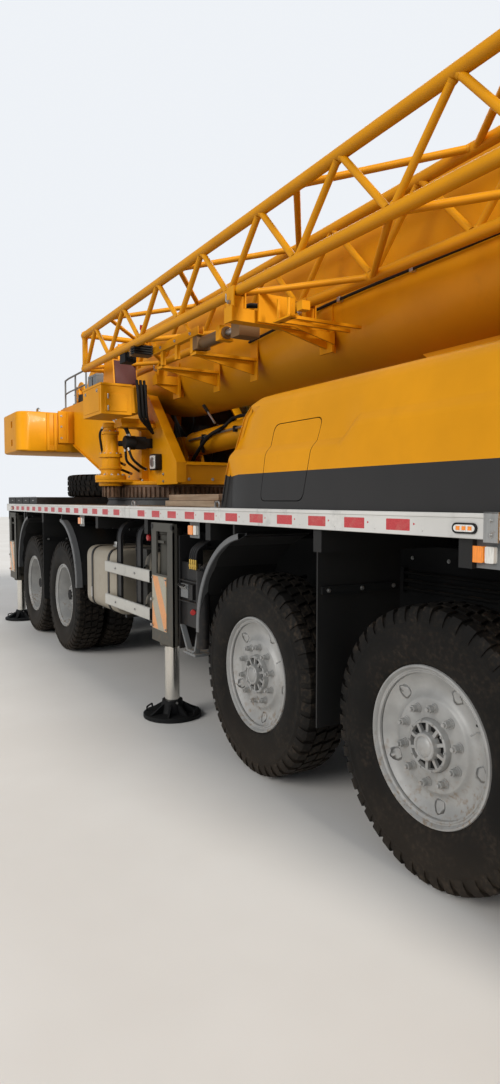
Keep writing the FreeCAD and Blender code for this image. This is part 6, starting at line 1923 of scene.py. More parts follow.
def beam_form(front, side):
    """Sliding beam, jack housing, slotted end plate with its warning board, and rollers."""
    form = Form()
    x = front - BEAM_LANE[side]
    z0 = 0.657
    tail = -1.110 * side
    y0, y1 = sorted((side * JACK_Y, tail))
    form.block((x - 0.088, y0, z0), (x + 0.088, y1, z0 + 0.330), 0)
    for z in (z0 + 0.004, z0 + 0.322):
        form.block((x - 0.090, y0, z - 0.004), (x + 0.090, y1, z + 0.004), 0)
    y0, y1 = sorted((tail, tail + side * 0.150))
    form.block((x - 0.0895, y0, z0 - 0.0045), (x + 0.0895, y1, z0 + 0.3345), 3)
    rows = [(0.560, 0.060), (0.560, 0.088), (0.566, 0.095), (0.640, 0.095), (0.646, 0.086), (1.420, 0.086),
            (1.426, 0.095), (1.474, 0.095), (1.480, 0.088), (1.480, 0.0), (1.450, 0.0), (1.450, 0.066), (0.610, 0.066),
            (0.610, 0.060)]
    form.lathe(rows, (x, side * JACK_Y, 0), (0, 0, 1), 40, 0)
    face = side * 1.380
    back = side * 1.366
    a, b = front - 0.413, front - 0.003
    s0, s1 = front - 0.312, front - 0.106
    y0, y1 = sorted((face, back))
    form.prism(round_outline([(a, 1.45), (b, 1.45), (b, 1.515), (a, 1.515)], 0.02), "y", y0, y1, 0)
    form.block((a, y0, 1.125), (s0, y1, 1.45), 0)
    form.block((s1, y0, 1.125), (b, y1, 1.45), 0)
    form.block((a, y0, 0.60), (b, y1, 1.125), 0)
    for x0 in (a, b - 0.008):
        y2, y3 = sorted((face, face - side * 0.035))
        form.block((x0, y2, 0.60), (x0 + 0.008, y3, 1.512), 0)
    for hx, hz in ((front - 0.388, 1.485), (front - 0.024, 1.485)):
        form.lathe([(0.0, 0.0), (0.0, 0.014), (0.003, 0.020), (0.0035, 0.020), (0.004, 0.0)], (hx, face, hz),
                   (0, side, 0), 20, 4, closed=False)
    y2, y3 = sorted((face, face + side * 0.004))
    form.block((front - 0.385, y2, 0.695), (front - 0.113, y3, 1.110), 2)
    chevrons(form, front - 0.381, front - 0.117, 0.70, 1.105, face + side * 0.004, side, (1, 2))
    for bx in (front - 0.372, front - 0.126):
        for bz in (0.715, 1.09):
            form.bolt((bx, face + side * 0.007, bz), (0, side, 0), 0.010, 3)
    form.block((x - 0.012, side * 1.367, 0.62), (x + 0.012, side * 1.352, 1.06), 0)
    form.block((x - 0.11, side * 1.366, 1.36), (x + 0.11, side * 1.352, 1.38), 0)
    for dz in (0.72, 0.92):
        form.rod((a + 0.03, face, dz), (a + 0.03, face + side * 0.02, dz), 0.012, 12, 3)
    return form


def jack_form(front, side):
    """Jack rod with its ball cup, ribbed pad and carrying handle."""
    form = Form()
    x, y = front - BEAM_LANE[side], side * JACK_Y
    form.lathe([(0.130, 0.0), (0.130, 0.0578), (1.0, 0.0578), (1.0, 0.0)], (x, y, 0), (0, 0, 1), 40, 0, closed=False)
    form.lathe([(0.0, 0.0), (0.0, 0.223), (0.004, 0.227), (0.026, 0.227), (0.032, 0.220), (0.034, 0.100), (0.060, 0.092),
                (0.112, 0.082), (0.130, 0.080), (0.132, 0.058)], (x, y, 0), (0, 0, 1), 44, 1, closed=False)
    for i in range(8):
        turn = 2 * math.pi * i / 8 + 0.2
        way = Vector((math.cos(turn), math.sin(turn), 0))
        across = Vector((-way.y, way.x, 0)) * 0.008
        centre = Vector((x, y, 0))
        lows = [centre + way * 0.085, centre + way * 0.205]
        corners = [lows[0] + across + Vector((0, 0, 0.034)), lows[1] + across + Vector((0, 0, 0.034)),
                   lows[0] + across + Vector((0, 0, 0.105)), lows[0] - across + Vector((0, 0, 0.034)),
                   lows[1] - across + Vector((0, 0, 0.034)), lows[0] - across + Vector((0, 0, 0.105))]
        form.add(corners, [(0, 1, 2), (5, 4, 3), (0, 3, 4, 1), (1, 4, 5, 2), (2, 5, 3, 0)], 1)
    for turn in (0.8, 3.9):
        way = Vector((math.cos(turn), math.sin(turn), 0))
        across = Vector((-way.y, way.x, 0))
        base = Vector((x, y, 0.030)) + way * 0.195
        form.tube([base - across * 0.05, base - across * 0.05 + Vector((0, 0, 0.035)),
                   base + across * 0.05 + Vector((0, 0, 0.035)), base + across * 0.05], 0.007, 8, 1, 0.02)
    form.rod((x - 0.092, y, 0.116), (x + 0.092, y, 0.116), 0.009, 10, 2)
    return form


def rounded_box(form, x0, x1, y0, y1, z0, z1, radius, wear, crown=0.012):
    """A tank with rounded long edges and slightly crowned ends."""
    def outline(x, inset):
        points = round_outline([(y0 + inset, z0 + inset), (y1 - inset, z0 + inset), (y1 - inset, z1 - inset),
                                (y0 + inset, z1 - inset)], radius - inset * 0.5, 8)
        return [(x, y, z) for y, z in points]
    form.loft([outline(x0 - crown, 0.05), outline(x0 - crown * 0.6, 0.018), outline(x0, 0.004), outline(x0 + 0.012, 0),
               outline(x1 - 0.012, 0), outline(x1, 0.004), outline(x1 + crown * 0.6, 0.018),
               outline(x1 + crown, 0.05)], wear, closed=True, ends=True)


def strap(form, x, width, y0, y1, z0, z1, radius, wear):
    """A steel band round a tank."""
    outer = round_outline([(y0, z0), (y1, z0), (y1, z1), (y0, z1)], radius, 8)
    inner = round_outline([(y0 + 0.004, z0 + 0.004), (y1 - 0.004, z0 + 0.004), (y1 - 0.004, z1 - 0.004),
                           (y0 + 0.004, z1 - 0.004)], radius, 8)
    rings = [[(px, y, z) for y, z in outline] for px, outline in
             ((x, outer), (x + width, outer), (x + width, inner), (x, inner), (x, outer))]
    form.loft(rings, wear, closed=True)


def tank_form():
    """Fuel tank with straps and cap, air cylinders, and the tool box on the left."""
    form = Form()
    rounded_box(form, -2.420, -1.565, -1.330, -0.705, 0.642, 1.238, 0.115, 0)
    for x in (-2.26, -1.78):
        strap(form, x, 0.045, -1.336, -0.699, 0.636, 1.244, 0.118, 1)
        form.rod((x + 0.022, -1.338, 0.74), (x + 0.022, -1.338, 0.84), 0.010, 8, 2)
    form.lathe([(1.236, 0.0), (1.236, 0.060), (1.252, 0.060), (1.254, 0.046), (1.262, 0.046), (1.264, 0.052),
                (1.284, 0.050), (1.288, 0.0)], (-2.25 + 0.20, -1.12, 0), (0, 0, 1), 28, 2, closed=False)
    form.block((-2.02, -1.14, 1.284), (-1.99, -1.10, 1.296), 2)
    for x in (-2.35, -1.70):
        form.block((x, -0.72, 0.92), (x + 0.06, -0.42, 1.01), 1)
        form.block((x + 0.005, -1.20, 0.600), (x + 0.055, -0.50, 0.640), 1)
        form.block((x + 0.005, -0.55, 0.600), (x + 0.055, -0.42, 0.93), 1)
    for z in (0.80, 1.13):
        form.lathe([(-1.255, 0.0), (-1.253, 0.05), (-1.235, 0.095), (-1.205, 0.119), (-1.195, 0.121), (-0.56, 0.121),
                    (-0.52, 0.10), (-0.48, 0.0)], (-1.0, 0, z), (0, 1, 0), 36, 0, closed=False)
        form.lathe([(-1.11, 0.1215), (-1.11, 0.125), (-1.07, 0.125), (-1.07, 0.1215)], (-1.0, 0, z), (0, 1, 0), 36, 1)
        form.rod((-1.0, -1.25, z), (-1.0, -1.275, z), 0.018, 6, 2)
        form.tube([Vector((-1.0, -1.27, z)), Vector((-1.0, -1.29, z - 0.03)), Vector((-0.90, -1.27, z - 0.09)),
                   Vector((-0.86, -1.10, z - 0.12))], 0.009, 8, 3, 0.04)
    form.block((-1.06, -0.50, 0.92), (-0.94, -0.42, 1.38), 1)
    form.block((-1.04, -0.56, 0.76), (-0.96, -0.48, 1.20), 1)
    form.block((-1.40, -1.20, 0.66), (-1.14, -0.80, 1.26), 4)
    form.block((-1.405, -1.205, 1.24), (-1.135, -0.795, 1.265), 4)
    rounded_box(form, -2.425, -1.010, 0.705, 1.305, 0.662, 1.238, 0.03, 4, 0.002)
    for x in (-2.38, -1.68):
        form.block((x, 1.305, 0.70), (x + 0.62, 1.312, 1.20), 4)
        form.block((x + 0.24, 1.312, 1.10), (x + 0.38, 1.322, 1.13), 2)
        for hx in (x + 0.06, x + 0.56):
            form.rod((hx - 0.03, 1.314, 0.71), (hx + 0.03, 1.314, 0.71), 0.009, 10, 1)
    for x in (-2.35, -1.20):
        form.block((x, 0.42, 0.92), (x + 0.06, 0.71, 1.01), 1)
    return form


def guard_form():
    """Silver guard rails on black hoops that bend in under the deck."""
    form = Form()
    for side in (-1, 1):
        for z in (1.035, 0.735):
            y0, y1 = sorted((side * 1.380, side * 1.352))
            outline = round_outline([(y0, z), (y1, z), (y1, z + 0.10), (y0, z + 0.10)], 0.012, 4)
            rings = [[(x, y, zz) for y, zz in outline] for x in (-1.720, -0.655)]
            form.loft(rings if side < 0 else rings[::-1], 0, closed=True, ends=True)
            for x in (-1.722, -0.655):
                form.block((x, y0 + 0.003, z + 0.004), (x + 0.004, y1 - 0.003, z + 0.096), 2)
            for x in (-1.44, -0.97):
                form.bolt((x, side * 1.380, z + 0.05), (0, side, 0), 0.012, 3)
        for x in (-1.490, -1.020):
            path = [(1.340, 0.722), (1.340, 1.36)]
            for k in range(1, 7):
                turn = math.radians(15 * k)
                path.append((1.340 - 0.14 * (1 - math.cos(turn)), 1.36 + 0.15 * math.sin(turn)))
            path.append((1.02, 1.595))
            outer = [(side * y, z) for y, z in path]
            inner = [(side * (y - 0.022), z - (0.022 if k > 1 else 0)) for k, (y, z) in enumerate(path)]
            form.prism(outer + inner[::-1], "x", x, x + 0.085, 1)
            form.prism([(side * (y + 0.004), z) for y, z in path] + [(side * (y - 0.020), z) for y, z in path][::-1],
                       "x", x - 0.004, x, 1)
    return form


def guard_rims():
    """Rolled edges and stays of the mudguards."""
    form = Form()
    for side in (-1, 1):
        for x, way in ((0.835, -1), (-3.370, 1), (-4.720, -1)):
            rings = []
            for y, grow in ((1.300, 0.0105), (1.356, 0.0105), (1.364, 0.004), (1.364, -0.026), (1.358, -0.030),
                            (1.300, -0.004), (1.300, 0.0105)):
                ring = []
                for k in range(21):
                    turn = math.radians(-2 + 84 * k / 20)
                    radius = 0.680 + grow
                    ring.append((x + way * radius * math.cos(turn), side * y, 0.80 + radius * math.sin(turn)))
                rings.append(ring)
            for a, b in zip(rings, rings[1:]):
                base = len(form.corners)
                form.corners += [Vector(p) for p in a + b]
                n = len(a)
                for k in range(n - 1):
                    form.faces.append((base + k, base + k + 1, base + n + k + 1, base + n + k))
                    form.wears.append(0)
            form.rod((x + way * 0.62, side * 1.20, 1.06), (x + way * 0.60, side * 0.50, 1.12), 0.016, 10, 1)
            form.rod((x + way * 0.28, side * 1.20, 1.44), (x + way * 0.28, side * 0.50, 1.44), 0.016, 10, 1)
    for side in (-1, 1):
        for x in (1.570, -4.045):
            form.block((x + 0.005, min(side * 0.82, side * 1.34), 1.20), (x + 0.020, max(side * 0.82, side * 1.34), 1.24), 1)
            for y in (0.86, 1.08, 1.30):
                form.bolt((x + 0.020, side * y, 1.22), (1, 0, 0), 0.012, 2)
                form.bolt((x - 0.006, side * y, 1.22), (-1, 0, 0), 0.012, 2)
    return form


def panel_form():
    """Outrigger controls: bracket, levers, brass couplings, hoses and the tube beside them."""
    form = Form()
    for side in (-1, 1):
        def y(value):
            return side * value
        def block(x0, x1, a, b, z0, z1, wear):
            low, high = sorted((y(a), y(b)))
            form.block((x0, low, z0), (x1, high, z1), wear)
        block(-0.185, 0.130, 1.300, 1.322, 0.78, 1.24, 0)
        block(-0.185, 0.130, 1.240, 1.345, 1.105, 1.115, 0)
        block(-0.185, 0.130, 1.240, 1.345, 0.955, 0.965, 0)
        block(-0.150, -0.030, 1.290, 1.340, 0.985, 1.085, 1)
        block(0.000, 0.055, 1.300, 1.345, 0.98, 1.09, 0)
        for k in range(4):
            x = 0.005 + 0.030 * k
            form.rod((x, y(1.335), 1.20), (x, y(1.335), 1.27), 0.010, 10, 2)
            form.rod((x, y(1.335), 1.215), (x, y(1.335), 1.235), 0.014, 6, 2)
            form.tube([Vector((x, y(1.335), 1.27)), Vector((x, y(1.325), 1.34)), Vector((x + 0.03, y(1.22), 1.42)),
                       Vector((x + 0.05, y(1.00), 1.47))], 0.011, 8, 0, 0.06)
            form.rod((x - 0.14, y(1.335), 1.04), (x - 0.14, y(1.362), 1.075), 0.005, 8, 3)
            form.rod((x - 0.14, y(1.360), 1.072), (x - 0.14, y(1.366), 1.082), 0.011, 12, 0)
        form.rod((0.055, y(1.335), 0.90), (0.085, y(1.355), 0.90), 0.020, 14, 4)
        form.rod((0.165, y(1.315), 0.66), (0.165, y(1.315), 1.20), 0.048, 20, 0)
        form.rod((0.165, y(1.315), 1.20), (0.165, y(1.10), 1.30), 0.034, 16, 0)
        form.prism([(-0.170, 0.78), (-0.150, 0.78), (-0.040, 0.62), (0.080, 0.62), (0.080, 0.60), (-0.055, 0.60)],
                   "y", *sorted((y(1.30), y(1.34))), 1)
        form.prism([(0.112, 0.78), (0.130, 0.78), (0.075, 0.60), (0.057, 0.60)], "y", *sorted((y(1.30), y(1.34))), 1)
        block(-0.085, 0.105, 1.180, 1.350, 0.585, 0.605, 1)
        block(-0.185, -0.165, 1.150, 1.340, 0.60, 1.43, 0)
        form.lathe([(0.0, 0.0), (0.0, 0.024), (0.018, 0.030), (0.034, 0.024), (0.036, 0.0)], (-0.800, y(1.300), 1.385),
                   (0, side, 0), 20, 4, closed=False)
        form.rod((-0.800, y(1.10), 1.385), (-0.800, y(1.300), 1.385), 0.010, 10, 0)
        block(-0.83, -0.77, 1.05, 1.12, 1.33, 1.43, 1)
    return form


def rear_form():
    """Rear corner posts, lamp board, steps, tow jaw plate and the tail lamps."""
    form = Form()
    for side in (-1, 1):
        y0, y1 = sorted((side * 1.22, side * 1.36))
        form.block((-5.965, y0, 0.86), (-5.905, y1, 1.50), 0)
        form.block((-5.968, *sorted((side * 0.90, side * 1.36))[:1], 1.00), (-5.940, max(side * 0.90, side * 1.36), 1.16), 0)
        for k, key in enumerate((2, 1, 3)):
            y = side * (1.30 - 0.13 * k)
            form.lathe([(0.0, 0.0), (0.0, 0.050), (0.008, 0.052), (0.016, 0.046), (0.020, 0.0)], (-5.968, y, 1.08),
                       (-1, 0, 0), 24, key, closed=False)
        form.block((-5.975, *sorted((side * 0.62, side * 0.84))[:1], 0.92), (-5.965, max(side * 0.62, side * 0.84), 1.36), 0)
        for z in (0.74, 1.02, 1.28):
            form.tube([Vector((-5.90, side * 0.62, z)), Vector((-5.975, side * 0.62, z)), Vector((-5.975, side * 0.86, z)),
                       Vector((-5.90, side * 0.86, z))], 0.012, 8, 0, 0.03)
        for y in (0.60, 0.88):
            form.block((-5.915, min(side * y, side * (y - 0.03)), 0.70), (-5.890, max(side * y, side * (y - 0.03)), 1.50), 0)
        form.block((-5.90, *sorted((side * 0.42, side * 1.30))[:1], 1.40), (-5.86, max(side * 0.42, side * 1.30), 1.44), 0)
    form.block((-5.990, -0.26, 1.02), (-5.981, 0.26, 1.34), 0)
    for y in (-0.20, 0.20):
        for z in (1.06, 1.30):
            form.bolt((-5.990, y, z), (-1, 0, 0), 0.020, 4)
    return form


class CRANE_OT_outriggers(bpy.types.Operator):
    """Outrigger beams with warning boards, jacks with ribbed pads, and the controls beside them"""
    bl_idname = "crane.outriggers"
    bl_label = "Outriggers"

    def execute(self, context):
        for end, front in OUTRIGGERS:
            for side_name, side in SIDES:
                tag = "%s_%s" % (end, side_name)
                beam_form(front, side).make("outrigger_" + tag, ["plate", "orange", "silver", "steel", "trim"],
                                            "beam_" + tag, "frame_grey", 0.003, 32, ("beam_" + tag,))
                jack_form(front, side).make("jack_leg_" + tag, ["rod", "frame", "steel"], "jack_" + tag, "chrome_rod",
                                            0.0, 35, ("jack_" + tag,))
        panel_form().make("outrigger_controls", ["trim", "grey", "brass", "steel", "red_knob"], "carrier", "black_paint",
                          0.002)
        return {"FINISHED"}


class CRANE_OT_underdeck(bpy.types.Operator):
    """Tanks with straps, guard rails on hoops, mudguard edges and the rear end"""
    bl_idname = "crane.underdeck"
    bl_label = "Under the deck"

    def execute(self, context):
        tank_form().make("fuel_and_air_tanks", ["tank", "trim", "steel", "hose", "dark_grey"], "carrier", "tank_beige",
                         0.0, 35, ("tanks",))
        guard_form().make("side_guard_rails", ["silver_paint", "trim", "hose", "steel"], "carrier", "rail_white", 0.0,
                          32, ("side_guards",))
        guard_rims().make("mudguard_rims", ["rim_edge", "frame", "steel"], "carrier", "frame_grey")
        rear_form().make("rear_lamps_steps", ["frame", "red_lens", "amber", "lamp", "steel"], "carrier", "frame_grey",
                         0.002)
        return {"FINISHED"}


# Driver's cabin

CAB_X = (2.850, 4.790)
CAB_HALF = 1.250
CAB_ROOF = 2.480


def slope_x(z):
    """Front face of the driver's cabin at a height."""
    if z < 1.5:
        return 4.720 + 0.050 * (z - 0.95) / 0.55
    return 4.770 - 0.130 * (z - 1.5) / 0.89


def mirror_form(form, x, y, z, side, arm, wears):
    """Rear-view mirror on a bent arm."""
    shell, glass, steel = wears
    out = side
    form.tube([Vector((x, y, z + arm)), Vector((x + 0.10, y + out * 0.16, z + arm)),
               Vector((x + 0.10, y + out * 0.16, z - 0.02))], 0.011, 10, shell, 0.04)
    form.tube([Vector((x, y, z - 0.28)), Vector((x + 0.10, y + out * 0.16, z - 0.24))], 0.009, 8, shell)
    back = round_outline([(y + out * 0.16 - 0.085, z - 0.26), (y + out * 0.16 + 0.085, z - 0.26),
                          (y + out * 0.16 + 0.085, z + 0.10), (y + out * 0.16 - 0.085, z + 0.10)], 0.035, 4)
    form.prism(back, "x", x + 0.088, x + 0.135, shell)
    face = [(y + out * 0.16 + (a - y - out * 0.16) * 0.86, z - 0.08 + (b - z + 0.08) * 0.92) for a, b in back]
    form.prism(face, "x", x + 0.083, x + 0.089, glass)
    form.rod((x + 0.095, y + out * 0.16, z + 0.10), (x + 0.095, y + out * 0.16, z + 0.13), 0.016, 12, steel)


def driver_cab_form():
    """Seals, visor, wipers, grille, lamps, steps, gutters and mirrors of the driver's cabin."""
    form = Form()
    z0, z1 = 1.560, 2.310
    for a, b in ((-1.100, -1.070), (1.070, 1.100)):
        form.loft([[(slope_x(z) + dx, y, z) for y, dx in ((a, 0.001), (a + 0.008, 0.011), (b - 0.008, 0.011), (b, 0.001))]
                   for z in (z0 - 0.02, z1 + 0.02)], 1)
    for z in (z0, z1):
        form.tube([Vector((slope_x(z) + 0.003, -1.09, z)), Vector((slope_x(z) + 0.003, 1.09, z))], 0.013, 10, 1)
    visor = [(4.590, 2.395), (4.800, 2.350), (4.805, 2.335), (4.610, 2.375)]
    form.prism(visor, "y", -1.16, 1.16, 2)
    for y in (-1.12, -0.40, 0.40, 1.12):
        form.block((4.60, y - 0.012, 2.33), (4.72, y + 0.012, 2.385), 0)
    for y, reach in ((-0.42, -0.62), (0.42, 0.62)):
        base = Vector((slope_x(1.52) + 0.012, y, 1.52))
        tip = Vector((slope_x(2.02) + 0.020, y + reach * 0.35, 2.02))
        form.rod(base - Vector((0.02, 0, 0)), base + Vector((0.02, 0, 0)), 0.022, 14, 1)
        form.tube([base, base + (tip - base) * 0.5 + Vector((0.012, 0, 0)), tip], 0.007, 8, 1)
        way = Vector((slope_x(2.25) - slope_x(1.85), 0, 0.40))
        form.tube([tip - way * 0.7, tip + way * 0.7], 0.009, 8, 1)
    for k in range(7):
        z = 1.120 + 0.050 * k
        form.block((slope_x(z) - 0.004, -0.78, z), (slope_x(z) + 0.014, 0.78, z + 0.022), 1)
    form.loft([[(slope_x(z) + 0.012, y, z) for y, z in ring] for ring in
               (round_outline([(-0.83, 1.08), (0.83, 1.08), (0.83, 1.50), (-0.83, 1.50)], 0.05, 5),
                round_outline([(-0.79, 1.105), (0.79, 1.105), (0.79, 1.475), (-0.79, 1.475)], 0.035, 5))], 1, closed=True)
    form.rod((slope_x(1.28) + 0.013, 0, 1.28), (slope_x(1.28) + 0.022, 0, 1.28), 0.060, 28, 3)
    for side in (-1, 1):
        for y, key in ((0.935, 4), (1.130, 5)):
            z = 1.215
            outline = round_outline([(side * y - 0.085, z - 0.085), (side * y + 0.085, z - 0.085),
                                     (side * y + 0.085, z + 0.085), (side * y - 0.085, z + 0.085)], 0.03, 4)
            x = slope_x(z) - 0.010
            form.prism(outline, "x", x, x + 0.024, 1)
            form.lathe([(0.0, 0.0), (0.0, 0.068), (0.008, 0.070), (0.016, 0.058), (0.020, 0.0)],
                       (x + 0.022, side * y, z), (1, 0, 0), 28, key, closed=False)
        y = side * CAB_HALF
        out = side
        y0, y1 = sorted((y, y + out * 0.018))
        form.prism([(2.90, 2.44), (4.57, 2.44), (4.61, 2.40), (4.61, 2.385), (4.55, 2.42), (2.90, 2.42)],
                   "y", y0, y1, 0)
        for x in (3.236, 4.214):
            form.block((x - 0.003, y, 1.00), (x + 0.003, y + out * 0.004, 2.34), 1)
        ring = round_outline([(2.975, 1.635), (3.165, 1.635), (3.165, 2.265), (2.975, 2.265)], 0.035, 5)
        inner = round_outline([(3.000, 1.660), (3.140, 1.660), (3.140, 2.240), (3.000, 2.240)], 0.025, 5)
        rows = [[(x, y + out * d, z) for x, z in points] for points, d in
                ((ring, 0.0), (ring, 0.010), (inner, 0.010), (inner, -0.006))]
        form.loft(rows if side > 0 else rows[::-1], 1, closed=True)
        mirror_form(form, 4.34, y, 2.10, side, 0.16, (1, 6, 3))
        form.rod((3.18, y + out * 0.045, 1.20), (3.18, y + out * 0.045, 1.95), 0.013, 12, 1)
        for z in (1.20, 1.95):
            form.rod((3.18, y, z), (3.18, y + out * 0.045, z), 0.011, 10, 1)
        form.prism([(3.30, 0.955), (4.16, 0.955), (4.16, 0.985), (3.30, 0.985)], "y", y0, y1, 1)
        for z in (0.42, 0.70):
            s0, s1 = sorted((side * 0.96, side * 1.235))
            form.block((3.55, s0, z), (4.05, s1, z + 0.025), 1)
            for k in range(6):
                form.block((3.57 + 0.08 * k, s0 + 0.02, z + 0.025), (3.60 + 0.08 * k, s1 - 0.02, z + 0.032), 3)
            form.block((3.55, s0, z), (3.56, s1, z + 0.10), 1)
            form.block((4.04, s0, z), (4.05, s1, z + 0.10), 1)
        for x in (3.56, 4.02):
            s0, s1 = sorted((side * 0.94, side * 0.965))
            form.block((x, s0, 0.42), (x + 0.02, s1, 0.955), 1)
    for y in (-0.70, 0.70):
        form.lathe([(CAB_ROOF, 0.0), (CAB_ROOF, 0.075), (CAB_ROOF + 0.020, 0.075), (CAB_ROOF + 0.022, 0.062),
                    (CAB_ROOF + 0.120, 0.056), (CAB_ROOF + 0.140, 0.040), (CAB_ROOF + 0.143, 0.0)],
                   (4.35, y, 0), (0, 0, 1), 28, 5, closed=False)
    form.prism(round_outline([(3.35, -0.35), (4.05, -0.35), (4.05, 0.35), (3.35, 0.35)], 0.05), "z",
               CAB_ROOF, CAB_ROOF + 0.035, 0)
    return form


def bumper_form():
    """Fog lamps, tow lug pin, number board and step treads of the bumper."""
    form = Form()
    for side in (-1, 1):
        for y in (0.865, 1.045):
            form.lathe([(-0.030, 0.0), (-0.030, 0.075), (0.0, 0.078), (0.006, 0.070), (0.002, 0.062), (0.010, 0.0)],
                       (4.765, side * y, 0.765), (1, 0, 0), 28, 1 if y < 0.9 else 2, closed=False)
        ring = round_outline([(side * 0.955 - 0.185, 0.672), (side * 0.955 + 0.185, 0.672),
                              (side * 0.955 + 0.185, 0.858), (side * 0.955 - 0.185, 0.858)], 0.02, 4)
        inner = round_outline([(side * 0.955 - 0.170, 0.687), (side * 0.955 + 0.170, 0.687),
                               (side * 0.955 + 0.170, 0.843), (side * 0.955 - 0.170, 0.843)], 0.012, 4)
        rows = [[(x, y, z) for y, z in points] for points, x in ((ring, 4.790), (ring, 4.798), (inner, 4.798),
                                                               (inner, 4.784))]
        form.loft(rows, 0, closed=True)
        for k in range(5):
            form.block((4.70, side * (0.30 + 0.09 * k) - 0.03, 0.940), (4.785, side * (0.30 + 0.09 * k) + 0.03, 0.946), 3)
    form.block((4.790, -0.26, 0.74), (4.796, 0.26, 0.87), 4)
    form.rod((4.840, 0, 0.575), (4.840, 0, 0.73), 0.024, 16, 3)
    form.rod((4.840, 0, 0.73), (4.840, 0, 0.745), 0.034, 16, 3)
    for z in (0.60, 0.92):
        form.block((4.788, -1.235, z - 0.006), (4.795, 1.235, z + 0.006), 0)
    return form


def door_form(side):
    """Handle, window seal, crease and lower panel line of a driver's door."""
    form = Form()
    y = side * CAB_HALF
    ring = round_outline([(3.325, 1.605), (4.125, 1.605), (4.125, 2.255), (3.325, 2.255)], 0.05, 5)
    inner = round_outline([(3.352, 1.632), (4.098, 1.632), (4.098, 2.228), (3.352, 2.228)], 0.035, 5)
    rows = [[(x, y + side * d, z) for x, z in points] for points, d in
            ((ring, 0.0), (ring, 0.009), (inner, 0.009), (inner, -0.012))]
    form.loft(rows if side > 0 else rows[::-1], 1, closed=True)
    form.prism(round_outline([(3.34, 1.44), (3.52, 1.44), (3.52, 1.52), (3.34, 1.52)], 0.02), "y",
               *sorted((y, y + side * 0.006)), 1)
    form.tube([Vector((3.37, y, 1.49)), Vector((3.37, y + side * 0.035, 1.49)), Vector((3.49, y + side * 0.035, 1.49)),
               Vector((3.49, y, 1.49))], 0.009, 10, 1, 0.02)
    form.rod((3.37, y, 1.455), (3.37, y + side * 0.010, 1.455), 0.009, 12, 2)
    for z in (1.36, 1.10):
        form.prism([(3.29, z), (4.16, z), (4.15, z + 0.012), (3.30, z + 0.012)], "y", *sorted((y, y + side * 0.006)), 0)
    return form


class CRANE_OT_cab(bpy.types.Operator):
    """Driver's cabin: seals, visor, wipers, grille, lamps, mirrors, steps, doors and bumper"""
    bl_idname = "crane.cab"
    bl_label = "Driver's cabin"

    def execute(self, context):
        driver_cab_form().make("driver_cab_fittings", ["yellow_low", "trim", "glass", "steel", "lamp", "amber",
                                                       "pale_glass"], "carrier", "black_paint", 0.002)
        bumper_form().make("bumper_fittings", ["trim", "lamp", "amber", "steel", "white"], "carrier", "black_paint", 0.001)
        for name, side in SIDES:
            door_form(side).make("door_fittings_" + name, ["yellow_low", "trim", "steel"], "driver_door_" + name,
                                 "black_paint", 0.001)
        return {"FINISHED"}


# Operator's cabin, hook and spare wheel

OP_X = (-2.950, -1.350)
OP_Y = (0.600, 1.380)
OP_Z = (2.100, 3.500)


